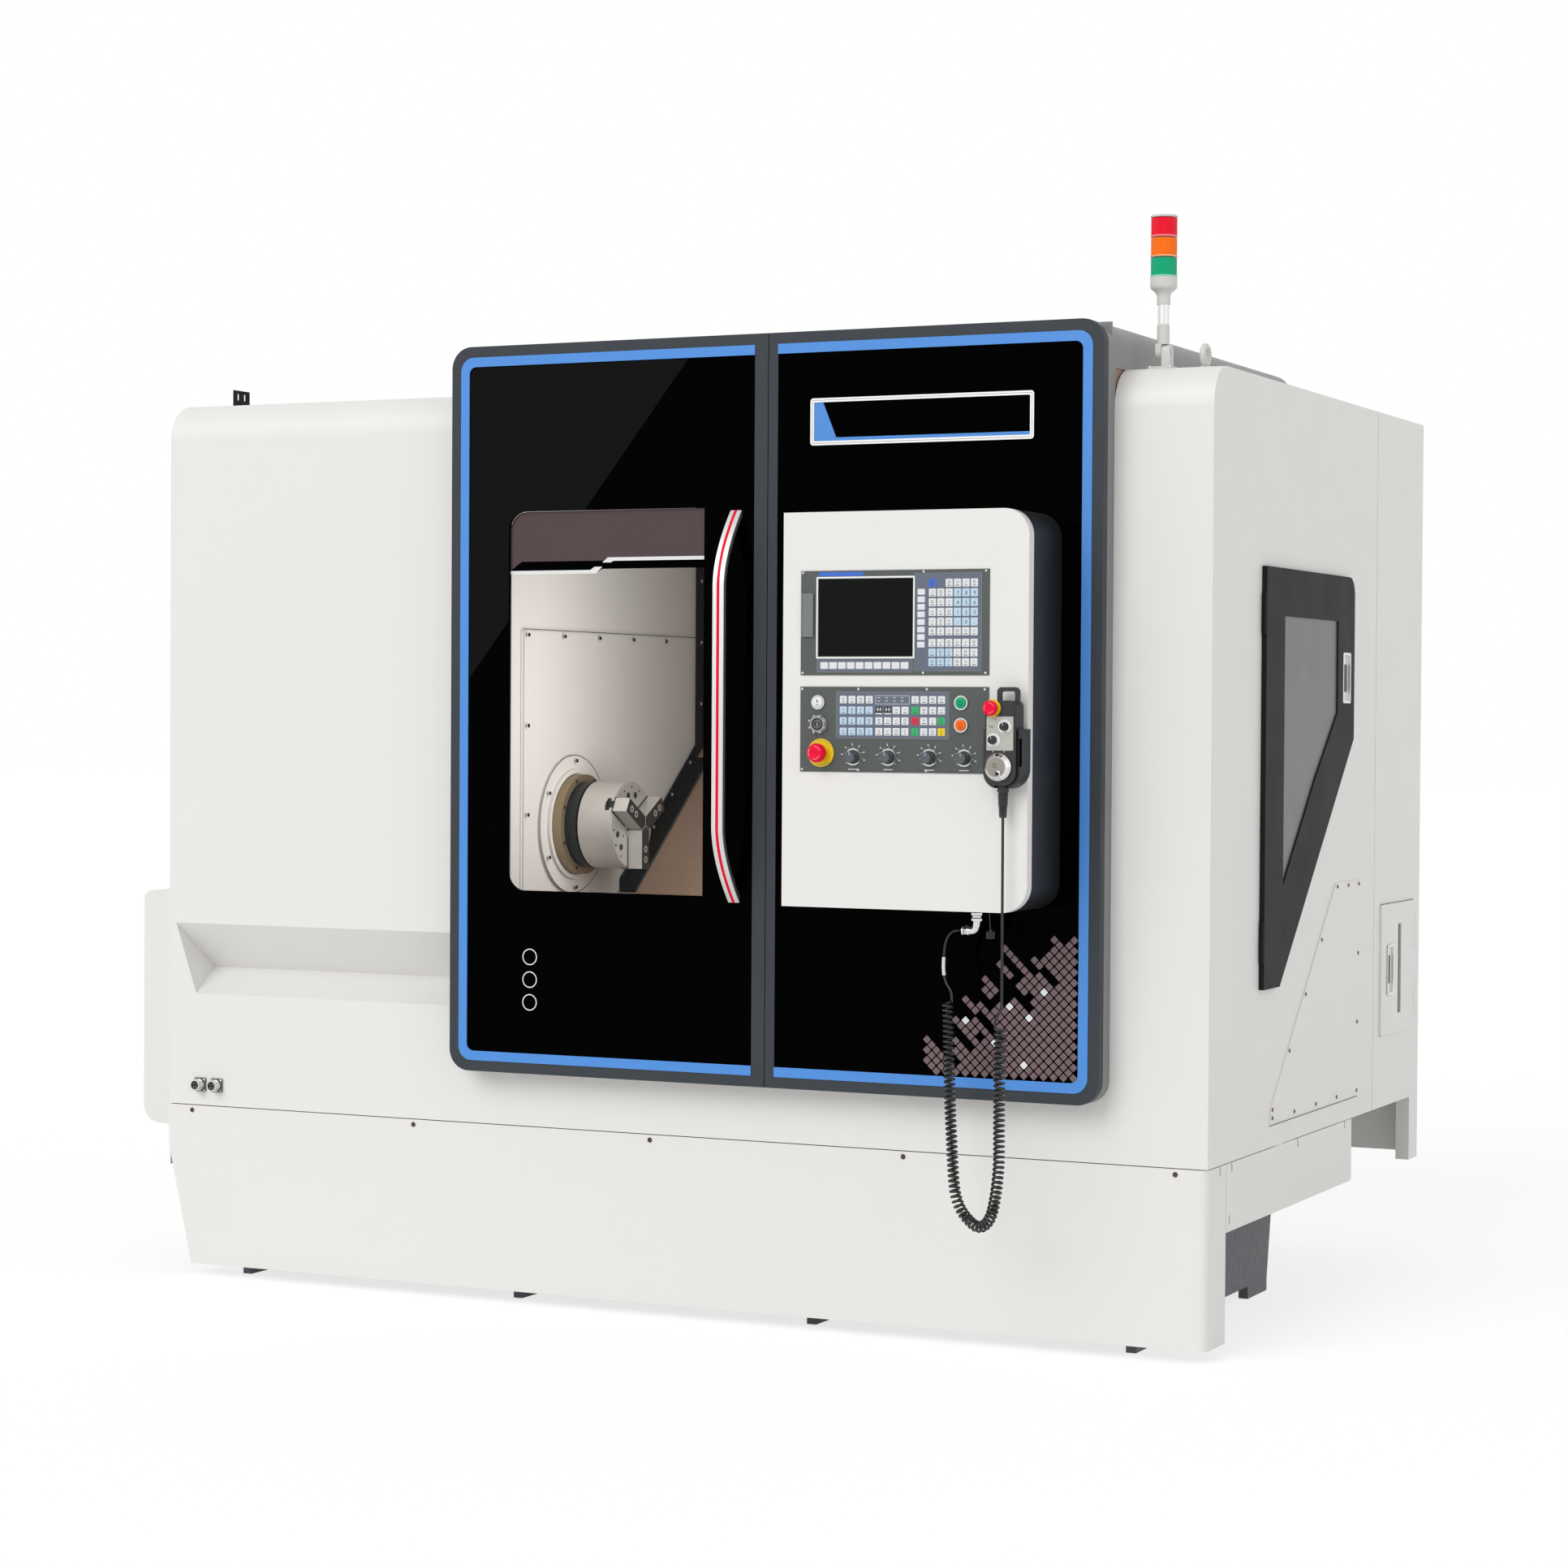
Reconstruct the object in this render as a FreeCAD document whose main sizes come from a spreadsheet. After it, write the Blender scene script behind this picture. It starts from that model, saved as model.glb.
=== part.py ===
"""CNC turning lathe: slanted bed, sliding front door, control box with a hanging handwheel unit.

The machine's own frame: X runs right from the left side of the white housing, Y runs back from its
front plane, Z runs up from the floor.  Every piece is placed from those three and then shifted so that
the finished lathe stands over the middle of its own base.
"""
import FreeCAD, Part
import math
import os

import Sketcher

os.makedirs("parts", exist_ok=True)
doc = FreeCAD.newDocument("lathe")
V = FreeCAD.Vector

SIZES = [
    # white housing
    ("white_width", 2660, "housing, left side to right side"),
    ("white_top", 2120, "housing roof above the floor"),
    ("seam_height", 414, "seam between skirts and housing"),
    ("side_depth", 1260, "front plane to the seam of the rear cabinet"),
    ("rear_depth", 1681, "front plane to the back of the cabinet"),
    ("top_round", 88, "rounding between front and roof"),
    ("sheet", 3, "thickness of the sheet metal"),
    ("seam", 2, "visible gap between neighbouring panels"),
    ("seam_deep", 10, "how far a seam groove runs in"),
    # skirts
    ("skirt_low", 26, "lower edge of the front skirt"),
    ("skirt_slant_from", 313, "height at which the skirt's left end starts to slope"),
    ("skirt_slant_in", 66, "how far the left end has moved in at the bottom"),
    ("skirt_return", 125, "front skirt's return along the side"),
    ("skirt_round", 22, "rounded corner of the front skirt"),
    ("side_skirt_low", 264, "lower edge of the side skirts"),
    ("side_skirt_back", 1083, "rear end of the side skirts"),
    ("post_wide", 34, "rear corner post, across"),
    ("post_deep", 78, "rear corner post, front to back"),
    ("post_low", 254, "underside of the rear corner posts"),
    ("skirt_screw_left", 68, "first skirt screw from the left side"),
    ("skirt_screw_right", 72, "last skirt screw from the right side"),
    ("skirt_screw_z", 400, "skirt screws"),
    ("skirt_slot_wide", 7, "slots in the side skirts"),
    ("skirt_slot_high", 20, "slots in the side skirts"),
    # cast bed
    ("bed_left", 178, "left end wall of the casting"),
    ("bed_right", 2482, "right end wall of the casting"),
    ("bed_front", 60, "front wall of the casting"),
    ("bed_foot_back", 988, "rear of the casting at the floor"),
    ("bed_wall", 23, "wall thickness of the casting"),
    ("bed_raise", 600, "height at which the rear wall stands upright"),
    ("bed_core_top", 500, "top of the cored spaces"),
    ("foot_high", 30, "height of the feet"),
    ("foot_long", 146, "length of a foot, front to back"),
    ("beam_high", 40, "beams that carry the housing"),
    ("beam_deep", 60, "beams that carry the housing"),
    # chamber
    ("tray_floor", 563, "chip tray floor"),
    ("deck_low_y", 630, "lower edge of the slanted deck, from the front plane"),
    ("deck_low_z", 926, "lower edge of the slanted deck, above the floor"),
    ("deck_high_y", 1095, "upper edge of the slanted deck"),
    ("slant", 39, "slope of the deck in degrees"),
    ("guard_x", 902, "face of the headstock guard wall"),
    # spindle line
    ("axis_y", 391, "spindle axis from the front plane"),
    ("axis_rise", 178, "spindle axis above the lower edge of the deck"),
    ("head_left", 260, "headstock, left end"),
    ("head_right", 880, "headstock, right end"),
    ("head_back", 1000, "headstock, rear"),
    ("head_rise", 226, "headstock, top above the spindle axis"),
    ("head_front", 221, "headstock, front"),
    ("motor_radius", 175, "built-in motor casing"),
    ("motor_long", 220, "built-in motor casing, past the headstock"),
    ("shaft_radius", 70, "spindle shaft"),
    ("running_fit", 0.05, "radial clearance of turning shafts"),
    ("flange_radius", 120, "spindle nose flange"),
    ("neck_radius", 78, "neck behind the chuck"),
    ("chuck_radius", 105, "chuck body"),
    ("chuck_back", 978, "back of the chuck"),
    ("chuck_face", 1069, "front of the chuck"),
    ("chuck_chamfer", 4, "front edge of the chuck"),
    ("bore_radius", 26, "bore through spindle and chuck"),
    ("feed_radius", 45, "hole in the left wall for bar stock"),
    ("collar_radius", 166, "ring on the guard wall around the nose"),
    ("collar_thick", 8, "ring on the guard wall"),
    ("nose_gap", 1, "flange to the hole in the guard wall"),
    ("jaw_wide", 36, "soft jaw"),
    ("jaw_tip", 1.5, "soft jaw, pointed inner end from the axis"),
    ("jaw_outer", 104, "soft jaw, outer end from the axis"),
    ("jaw_high", 38, "soft jaw in front of the chuck face"),
    ("jaw_screw", 7.5, "counterbore of a jaw screw"),
    ("jaw_screw_deep", 10, "counterbore of a jaw screw"),
    ("tongue_wide", 14, "jaw tongue in the chuck slot"),
    ("tongue_deep", 12, "jaw tongue in the chuck slot"),
    ("slide_gap", 0.3, "clearance of sliding faces"),
]
SIZES += [
    # saddle and turret
    ("rail_left", 1500, "guide rails, left end"),
    ("rail_right", 2385, "guide rails, right end"),
    ("rail_low", 110, "lower rail, up the slope from the deck's lower edge"),
    ("rail_apart", 340, "distance between the two rails"),
    ("rail_wide", 45, "guide rail"),
    ("rail_high", 42, "guide rail"),
    ("saddle_left", 1985, "saddle, left end at rest"),
    ("saddle_long", 390, "saddle, along the bed"),
    ("saddle_low", 60, "saddle, lower edge up the slope"),
    ("saddle_high", 530, "saddle, upper edge up the slope"),
    ("saddle_thick", 50, "saddle plate above the rails"),
    ("cross_rail_wide", 40, "rails on the saddle"),
    ("cross_rail_high", 30, "rails on the saddle"),
    ("cross_low", 215, "cross slide, lower edge up the slope at rest"),
    ("cross_long", 300, "cross slide, up the slope"),
    ("cross_thick", 45, "cross slide plate"),
    ("cross_inset", 10, "cross slide inside the ends of the saddle"),
    ("hub_radius", 42, "turret hub in its housing"),
    ("hub_long", 60, "turret hub in its housing"),
    ("turret_up", 345, "turret axis, up the slope"),
    ("turret_radius", 165, "turret disc, across its flats"),
    ("turret_thick", 90, "turret disc"),
    ("seat_inner", 102, "tool seats, from the turret axis"),
    ("seat_outer", 140, "tool seats, from the turret axis"),
    ("seat_deep", 40, "tool seats"),
    ("turret_body", 105, "turret housing, half its height"),
    ("turret_gap", 1, "turret disc to its housing"),
    # front frame
    ("front_left", 836, "door, left edge"),
    ("door_right", 1648, "door, right edge"),
    ("fixed_left", 1650, "fixed front, left edge"),
    ("front_right", 2438, "fixed front, right edge"),
    ("front_low", 543, "door and fixed front, lower edge"),
    ("hood_rise", 97, "door, fixed front and hood above the housing roof"),
    ("front_round", 50, "outer corners of the front frame"),
    ("front_proud", 66, "front frame before the white plane"),
    ("hood_proud", 40, "hood before the white plane"),
    ("door_back", 43, "back of the door before the white plane"),
    ("band_inset", 25, "blue band, from the outer edge"),
    ("band_wide", 22, "blue band"),
    ("band_proud", 2, "blue band before the frame"),
    ("stile_right", 32, "door's right stile"),
    ("stile_left", 23, "fixed front's left stile"),
    ("panel_thick", 8, "black glossy panels"),
    ("window_left", 989, "door window"),
    ("window_right", 1492, "door window"),
    ("window_low", 965, "door window"),
    ("window_high", 1834.5, "door window"),
    ("window_round", 43, "left corners of the door window"),
    ("pane_lap", 18, "pane behind the edge of the window"),
    ("pane_thick", 6, "door pane"),
    ("handle_x", 1572, "middle of the door handle"),
    ("handle_low", 950, "door handle, lower foot"),
    ("handle_high", 1829, "door handle, upper foot"),
    ("handle_reach", 92, "how far the handle stands off"),
    ("handle_leg", 110, "height over which the handle's ends slope"),
    ("handle_wide", 28, "handle bar"),
    ("handle_thick", 12, "handle bar"),
    ("handle_bend", 90, "bend of the handle bar"),
    ("inlay_wide", 7, "red inlay"),
    ("inlay_deep", 1.5, "red inlay"),
    ("door_travel", 600, "how far the door slides to the left"),
    ("carrier_gap", 6, "open door's hanger bar to the side of the hood"),
    ("carrier_right", 2260, "hanger bar behind the door"),
    ("carrier_low", 2120, "hanger bar, lower edge"),
    ("carrier_high", 2152, "hanger bar, upper edge"),
    ("carrier_front", 38, "hanger bar before the white plane"),
    ("carrier_thick", 12, "hanger bar"),
    ("roller_radius", 18, "rollers of the door"),
    ("roller_up", 15, "roller axis above the hanger bar"),
    ("roller_wide", 12, "rollers of the door"),
    ("door_rail_high", 16, "rail that carries the door"),
    # name plate
    ("plate_left", 1754.5, "blank name plate"),
    ("plate_right", 2281, "blank name plate"),
    ("plate_low", 1965, "blank name plate"),
    ("plate_high", 2068, "blank name plate"),
    ("plate_thick", 4, "blank name plate"),
    ("plate_rim", 4, "raised rim of the name plate"),
    # buttons and knobs of the machine panel
    ("button_left", 1866, "white button and key button"),
    ("button_right", 2197, "green and orange buttons"),
    ("button_upper", 1399, "upper row of buttons"),
    ("button_lower", 1352, "lower row of buttons"),
    ("stop_x", 1873, "emergency stop"),
    ("stop_z", 1291, "emergency stop"),
    ("knob_z", 1283, "row of knobs"),
    ("knob_1_x", 1948, "first knob"),
    ("knob_2_x", 2029.5, "second knob"),
    ("knob_3_x", 2124, "third knob"),
    ("knob_4_x", 2203.5, "fourth knob"),
    ("key_high", 16.8, "keys of the display panel"),
    ("key_wide", 16.3, "keys of the display panel"),
    ("key_step_x", 19.05, "keys of the display panel"),
    ("key_step_z", 20.4, "keys of the display panel"),
    ("grid_left", 2121, "key grid beside the screen"),
    ("grid_high_low", 1541, "lowest row of the upper key group"),
    ("grid_low_low", 1476, "lowest row of the lower key group"),
    ("column_left", 2095, "single column of keys"),
    ("column_low", 1515.5, "single column of keys"),
    ("column_step", 15.9, "single column of keys"),
    ("soft_left", 1870, "soft keys under the screen"),
    ("soft_low", 1471, "soft keys under the screen"),
    ("soft_step", 20.8, "soft keys under the screen"),
    ("small_key_wide", 18, "soft keys and single column"),
    ("small_key_high", 14, "soft keys and single column"),
    ("pad_key_wide", 16.4, "keys of the machine panel"),
    ("pad_key_high", 15.9, "keys of the machine panel"),
    ("pad_low", 1328.8, "keys of the machine panel"),
    ("pad_step_x", 20.1, "keys of the machine panel"),
    ("pad_step_z", 22.3, "keys of the machine panel"),
    ("pad_1_left", 1916.4, "left key block"),
    ("pad_2_left", 1999.5, "middle key block"),
    ("pad_3_left", 2083, "right key block"),
    # control box
    ("box_left", 1780, "control box"),
    ("box_right", 2346, "control box"),
    ("box_low", 960, "control box"),
    ("box_high", 1806, "control box"),
    ("box_face", 257, "face of the control box before the white plane"),
    ("box_flange", 27, "depth of the white front tray"),
    ("box_round", 57, "right corners of the control box"),
    ("box_skin", 4, "wall of the control box"),
    ("panel_plate", 2, "operating panel plates"),
    ("panel_left", 1823, "operating panels"),
    ("panel_right", 2258.5, "operating panels"),
    ("panel_cutout_edge", 8, "rim of the tray that carries the machine panel"),
    ("display_low", 1457, "display panel"),
    ("display_high", 1680, "display panel"),
    ("machine_low", 1250.5, "machine panel"),
    ("machine_high", 1432.5, "machine panel"),
    ("screen_left", 1865, "screen"),
    ("screen_right", 2084, "screen"),
    ("screen_low", 1497.5, "screen"),
    ("screen_high", 1662, "screen"),
    ("key_proud", 0.8, "height of the membrane keys"),
    ("usb_left", 1825, "socket cover"),
    ("usb_right", 1853.5, "socket cover"),
    ("usb_low", 1539, "socket cover"),
    ("usb_high", 1632, "socket cover"),
    ("usb_thick", 5, "socket cover"),
    ("usb_hinge", 2, "radius of the cover's hinge barrel"),
    ("button_radius", 12, "push buttons"),
    ("button_bezel", 15, "bezel of the push buttons"),
    ("bezel_proud", 4, "bezel of the push buttons"),
    ("button_proud", 3, "button before its bezel"),
    ("key_bow", 18, "key in its switch, width of the bow"),
    ("key_thick", 3, "key in its switch"),
    ("key_reach", 16, "key in its switch"),
    ("button_stem", 20, "button behind the panel face"),
    ("press_fit_gap", 0.08, "radial clearance of pressing buttons"),
    ("knob_ring", 17, "dial ring of a knob"),
    ("knob_radius", 12.5, "knob"),
    ("knob_high", 20, "knob"),
    ("knob_skirt", 5, "wider foot of a knob"),
    ("knob_gap", 0.5, "knob to its dial ring"),
    ("stem_radius", 4, "stem of the knobs"),
    ("stem_long", 14, "stem of the knobs behind the face"),
    ("stop_ring", 30, "ring under the emergency stop"),
    ("stop_radius", 20, "emergency stop cap"),
    ("stop_high", 36, "emergency stop before the panel"),
    ("stop_dome", 8, "rounded edge of the emergency stop cap"),
    ("stop_gap", 12, "emergency stop cap to its ring"),
    # hanging handwheel unit
    ("unit_front", 305, "handwheel unit, front face before the white plane"),
    ("unit_back", 263, "handwheel unit, back before the white plane"),
    ("unit_left", 2269, "handwheel unit"),
    ("unit_right", 2338, "handwheel unit"),
    ("unit_low", 1227, "handwheel unit"),
    ("unit_high", 1404, "handwheel unit"),
    ("unit_round", 12, "upper corners of the handwheel unit"),
    ("unit_foot", 28, "lower corners of the handwheel unit"),
    ("loop_left", 2289, "carrying loop"),
    ("loop_top", 1432, "carrying loop"),
    ("loop_bar", 9, "carrying loop"),
    ("unit_plate_left", 2273, "grey plate of the handwheel unit"),
    ("unit_plate_right", 2333, "grey plate of the handwheel unit"),
    ("unit_plate_low", 1300, "grey plate of the handwheel unit"),
    ("unit_plate_high", 1371, "grey plate of the handwheel unit"),
    ("unit_plate_thick", 1.2, "grey plate of the handwheel unit"),
    ("gland_x", 2302.5, "strain relief under the handwheel unit"),
    ("gland_y", 285, "strain relief before the white plane"),
    ("gland_radius", 8, "strain relief"),
    ("gland_low", 1160, "lower end of the strain relief"),
    ("holder_wall", 6, "wall of the holder"),
    ("holder_arm", 13, "wide right arm of the holder"),
    ("holder_gap", 1, "holder to the handwheel unit"),
    ("holder_high", 1345, "upper edge of the holder"),
    ("holder_front", 296, "holder before the white plane"),
    ("holder_slot", 15, "half the cable slot in the holder"),
    ("axis_knob_x", 2313.5, "axis knob"),
    ("axis_knob_z", 1350, "axis knob"),
    ("step_knob_x", 2287.5, "step knob"),
    ("step_knob_z", 1322, "step knob"),
    ("unit_knob_radius", 9, "small knobs"),
    ("unit_knob_high", 12, "small knobs"),
    ("unit_stop_x", 2285.5, "small emergency stop"),
    ("unit_stop_z", 1388, "small emergency stop"),
    ("unit_stop_radius", 14, "small emergency stop"),
    ("wheel_x", 2300, "handwheel"),
    ("wheel_z", 1265.8, "handwheel"),
    ("wheel_radius", 30, "handwheel"),
    ("crank_radius", 4.5, "crank knob of the handwheel"),
    ("wheel_high", 14, "handwheel before the unit"),
    # cable of the handwheel unit
    ("cord_diameter", 6, "cable"),
    ("coil_radius", 10, "curls, from their middle line to the middle of the cable"),
    ("curls", 48, "number of curls"),
    # right side
    ("side_proud", 12, "side door outside the housing"),
    ("side_gap", 0.5, "side door to the housing"),
    ("side_front", 342, "side door, front edge"),
    ("side_high", 1706, "side door, upper edge"),
    ("side_low", 772, "side door, lower edge"),
    ("side_low_back", 459, "side door, rear end of its lower edge"),
    ("side_back", 1031, "side door, rear edge"),
    ("side_back_low", 1324, "side door, upper end of the sloping edge"),
    ("side_round", 43, "side door, rounded corner"),
    ("side_rim", 16, "side door over the opening"),
    ("pane_front", 477, "side pane"),
    ("pane_back", 894.5, "side pane"),
    ("pane_high", 1600, "side pane, upper edge"),
    ("pane_slope_high", 1385, "side pane, upper end of the steep sloping edge"),
    ("pane_knee_y", 718, "side pane, knee of the sloping edge"),
    ("pane_knee_z", 1232, "side pane, knee of the sloping edge"),
    ("pane_low", 997, "side pane, lowest point"),
    ("pane_rim", 8, "side pane behind its opening"),
    ("pull_front", 941, "pull of the side door"),
    ("pull_back", 999, "pull of the side door"),
    ("pull_low", 1411, "pull of the side door"),
    ("pull_high", 1524, "pull of the side door"),
    ("plate_front", 428, "screwed plate under the side door"),
    ("plate_back", 1124, "screwed plate under the side door"),
    ("plate_bottom", 470, "screwed plate under the side door"),
    ("plate_top", 984.5, "screwed plate under the side door"),
    ("plate_slope_back", 926, "screwed plate, upper end of its sloping edge"),
    ("plate_slope_low", 496, "screwed plate, lower end of its sloping edge"),
    ("hatch_front", 1316, "cabinet hatch"),
    ("hatch_back", 1617, "cabinet hatch"),
    ("hatch_low", 591, "cabinet hatch"),
    ("hatch_high", 914, "cabinet hatch"),
    ("hatch_thick", 6, "cabinet hatch"),
    ("hatch_slot_front", 1465, "slot in the hatch"),
    ("hatch_slot_back", 1492, "slot in the hatch"),
    ("hatch_slot_low", 638, "slot in the hatch"),
    ("hatch_slot_high", 861, "slot in the hatch"),
    ("hatch_pull_front", 1363, "pull of the hatch"),
    ("hatch_pull_back", 1414, "pull of the hatch"),
    ("hatch_pull_low", 692, "pull of the hatch"),
    ("hatch_pull_high", 810, "pull of the hatch"),
    ("hinge_radius", 4, "hinge barrels"),
    ("hinge_long", 90, "hinge barrels"),
    # left side and roof
    ("cover_reach", 187, "left cover outside the housing"),
    ("cover_front", 154, "left cover, front"),
    ("cover_back", 770, "left cover, rear"),
    ("cover_low", 332, "left cover, lower edge"),
    ("cover_high", 924, "left cover, upper edge"),
    ("cover_round_high", 25, "left cover, upper rounding"),
    ("cover_round_low", 45, "left cover, lower rounding"),
    ("recess_left", 19, "tray recess, left end at the top"),
    ("recess_left_low", 79, "tray recess, left end at the bottom"),
    ("recess_high", 857.5, "tray recess, upper edge"),
    ("recess_low", 685, "tray recess, lower edge"),
    ("recess_deep", 110, "tray recess, depth"),
    ("recess_inner", 743, "tray recess, height of its innermost edge"),
    ("socket_x", 93, "round sockets beside the tray recess"),
    ("socket_step", 48, "round sockets beside the tray recess"),
    ("socket_z", 464, "round sockets beside the tray recess"),
    ("elbow_x", 2196, "elbow gland under the control box"),
    ("elbow_y", 162, "elbow gland before the white plane"),
    ("cap_x", 2222, "sealing cap beside the elbow gland"),
    ("cap_y", 150, "sealing cap before the white plane"),
    ("eye_in", 70, "lifting eye, in from the right side"),
    ("eye_y", 150, "lifting eye"),
    ("eye_radius", 26, "lifting eye"),
    ("eye_hole", 14, "lifting eye"),
    ("eye_thick", 14, "lifting eye"),
    ("eye_up", 32, "middle of the lifting eye above the roof"),
    ("bracket_left", 75, "slotted bracket on the roof"),
    ("bracket_front", 154, "slotted bracket on the roof"),
    ("bracket_back", 220, "slotted bracket on the roof"),
    ("bracket_high", 46, "slotted bracket on the roof"),
    ("bracket_thick", 4, "slotted bracket on the roof"),
    ("tower_in", 156, "signal tower, in from the right side"),
    ("tower_y", 120, "signal tower"),
    ("tower_pole", 11, "signal tower pole"),
    ("tower_radius", 29, "signal tower lamps"),
    ("tower_hinge", 2160, "hinge of the signal tower"),
    ("tower_base", 2263, "lamp housing, lower end"),
    ("lens_low", 2319, "lowest lens"),
    ("lens_high", 38, "height of a lens"),
    ("lens_step", 43, "lens to lens"),
    ("tower_top", 2453, "top of the signal tower"),
    ("overhang", 331, "furthest piece before the white plane"),
]


class Size:
    """A number together with the formula that gives it, so features stay bound to the sheet."""

    def __init__(self, value, text=None):
        self.value = float(value)
        self.text = text if text is not None else "(%s)" % repr(round(float(value), 9))

    @staticmethod
    def of(other):
        return other if isinstance(other, Size) else Size(other)

    def _join(self, sign, value, first, second):
        return Size(value, "(%s %s %s)" % (first.text, sign, second.text))

    def __add__(self, other):
        other = Size.of(other)
        return self._join("+", self.value + other.value, self, other)

    def __radd__(self, other):
        return Size.of(other) + self

    def __sub__(self, other):
        other = Size.of(other)
        return self._join("-", self.value - other.value, self, other)

    def __rsub__(self, other):
        return Size.of(other) - self

    def __mul__(self, other):
        other = Size.of(other)
        return self._join("*", self.value * other.value, self, other)

    def __rmul__(self, other):
        return Size.of(other) * self

    def __truediv__(self, other):
        other = Size.of(other)
        return self._join("/", self.value / other.value, self, other)

    def __neg__(self):
        return Size(-self.value, "(-1 * %s)" % self.text)

    def __float__(self):
        return self.value


def sin_of(angle):
    return Size(math.sin(math.radians(angle.value)), "sin(%s * 1 deg)" % angle.text)


def cos_of(angle):
    return Size(math.cos(math.radians(angle.value)), "cos(%s * 1 deg)" % angle.text)


def tan_of(angle):
    return Size(math.tan(math.radians(angle.value)), "tan(%s * 1 deg)" % angle.text)


def hypot_of(first, second):
    value = math.hypot(first.value, second.value)
    return Size(value, "sqrt(%s * %s + %s * %s)" % (first.text, first.text, second.text, second.text))


class Sheet:
    """The sizes spreadsheet; attributes give Size objects bound to its aliases."""

    def __init__(self, rows):
        self._values = {}
        self._sheet = doc.addObject("Spreadsheet::Sheet", "sizes")
        for number, (alias, value, note) in enumerate(rows, start=1):
            self._sheet.set("A%d" % number, note)
            self._sheet.set("B%d" % number, str(value))
            self._sheet.setAlias("B%d" % number, alias)
            self._values[alias] = value
        doc.recompute()

    def __getattr__(self, alias):
        return Size(self._values[alias], "sizes.%s" % alias)


def rect(left, right, low, high, radius=None):
    corners = [(left, low), (right, low), (right, high), (left, high)]
    if radius is None:
        return corners
    return [(u, v, radius) for u, v in corners]


def ring(u, v, radius):
    return ("ring", u, v, radius)


def octagon(u, v, half):
    """eight-sided outline, half its width across the flats"""
    near = half * 0.4142
    return [(u - half, v - near), (u - near, v - half), (u + near, v - half), (u + half, v - near),
            (u + half, v + near), (u + near, v + half), (u - near, v + half), (u - half, v + near)]


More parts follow.
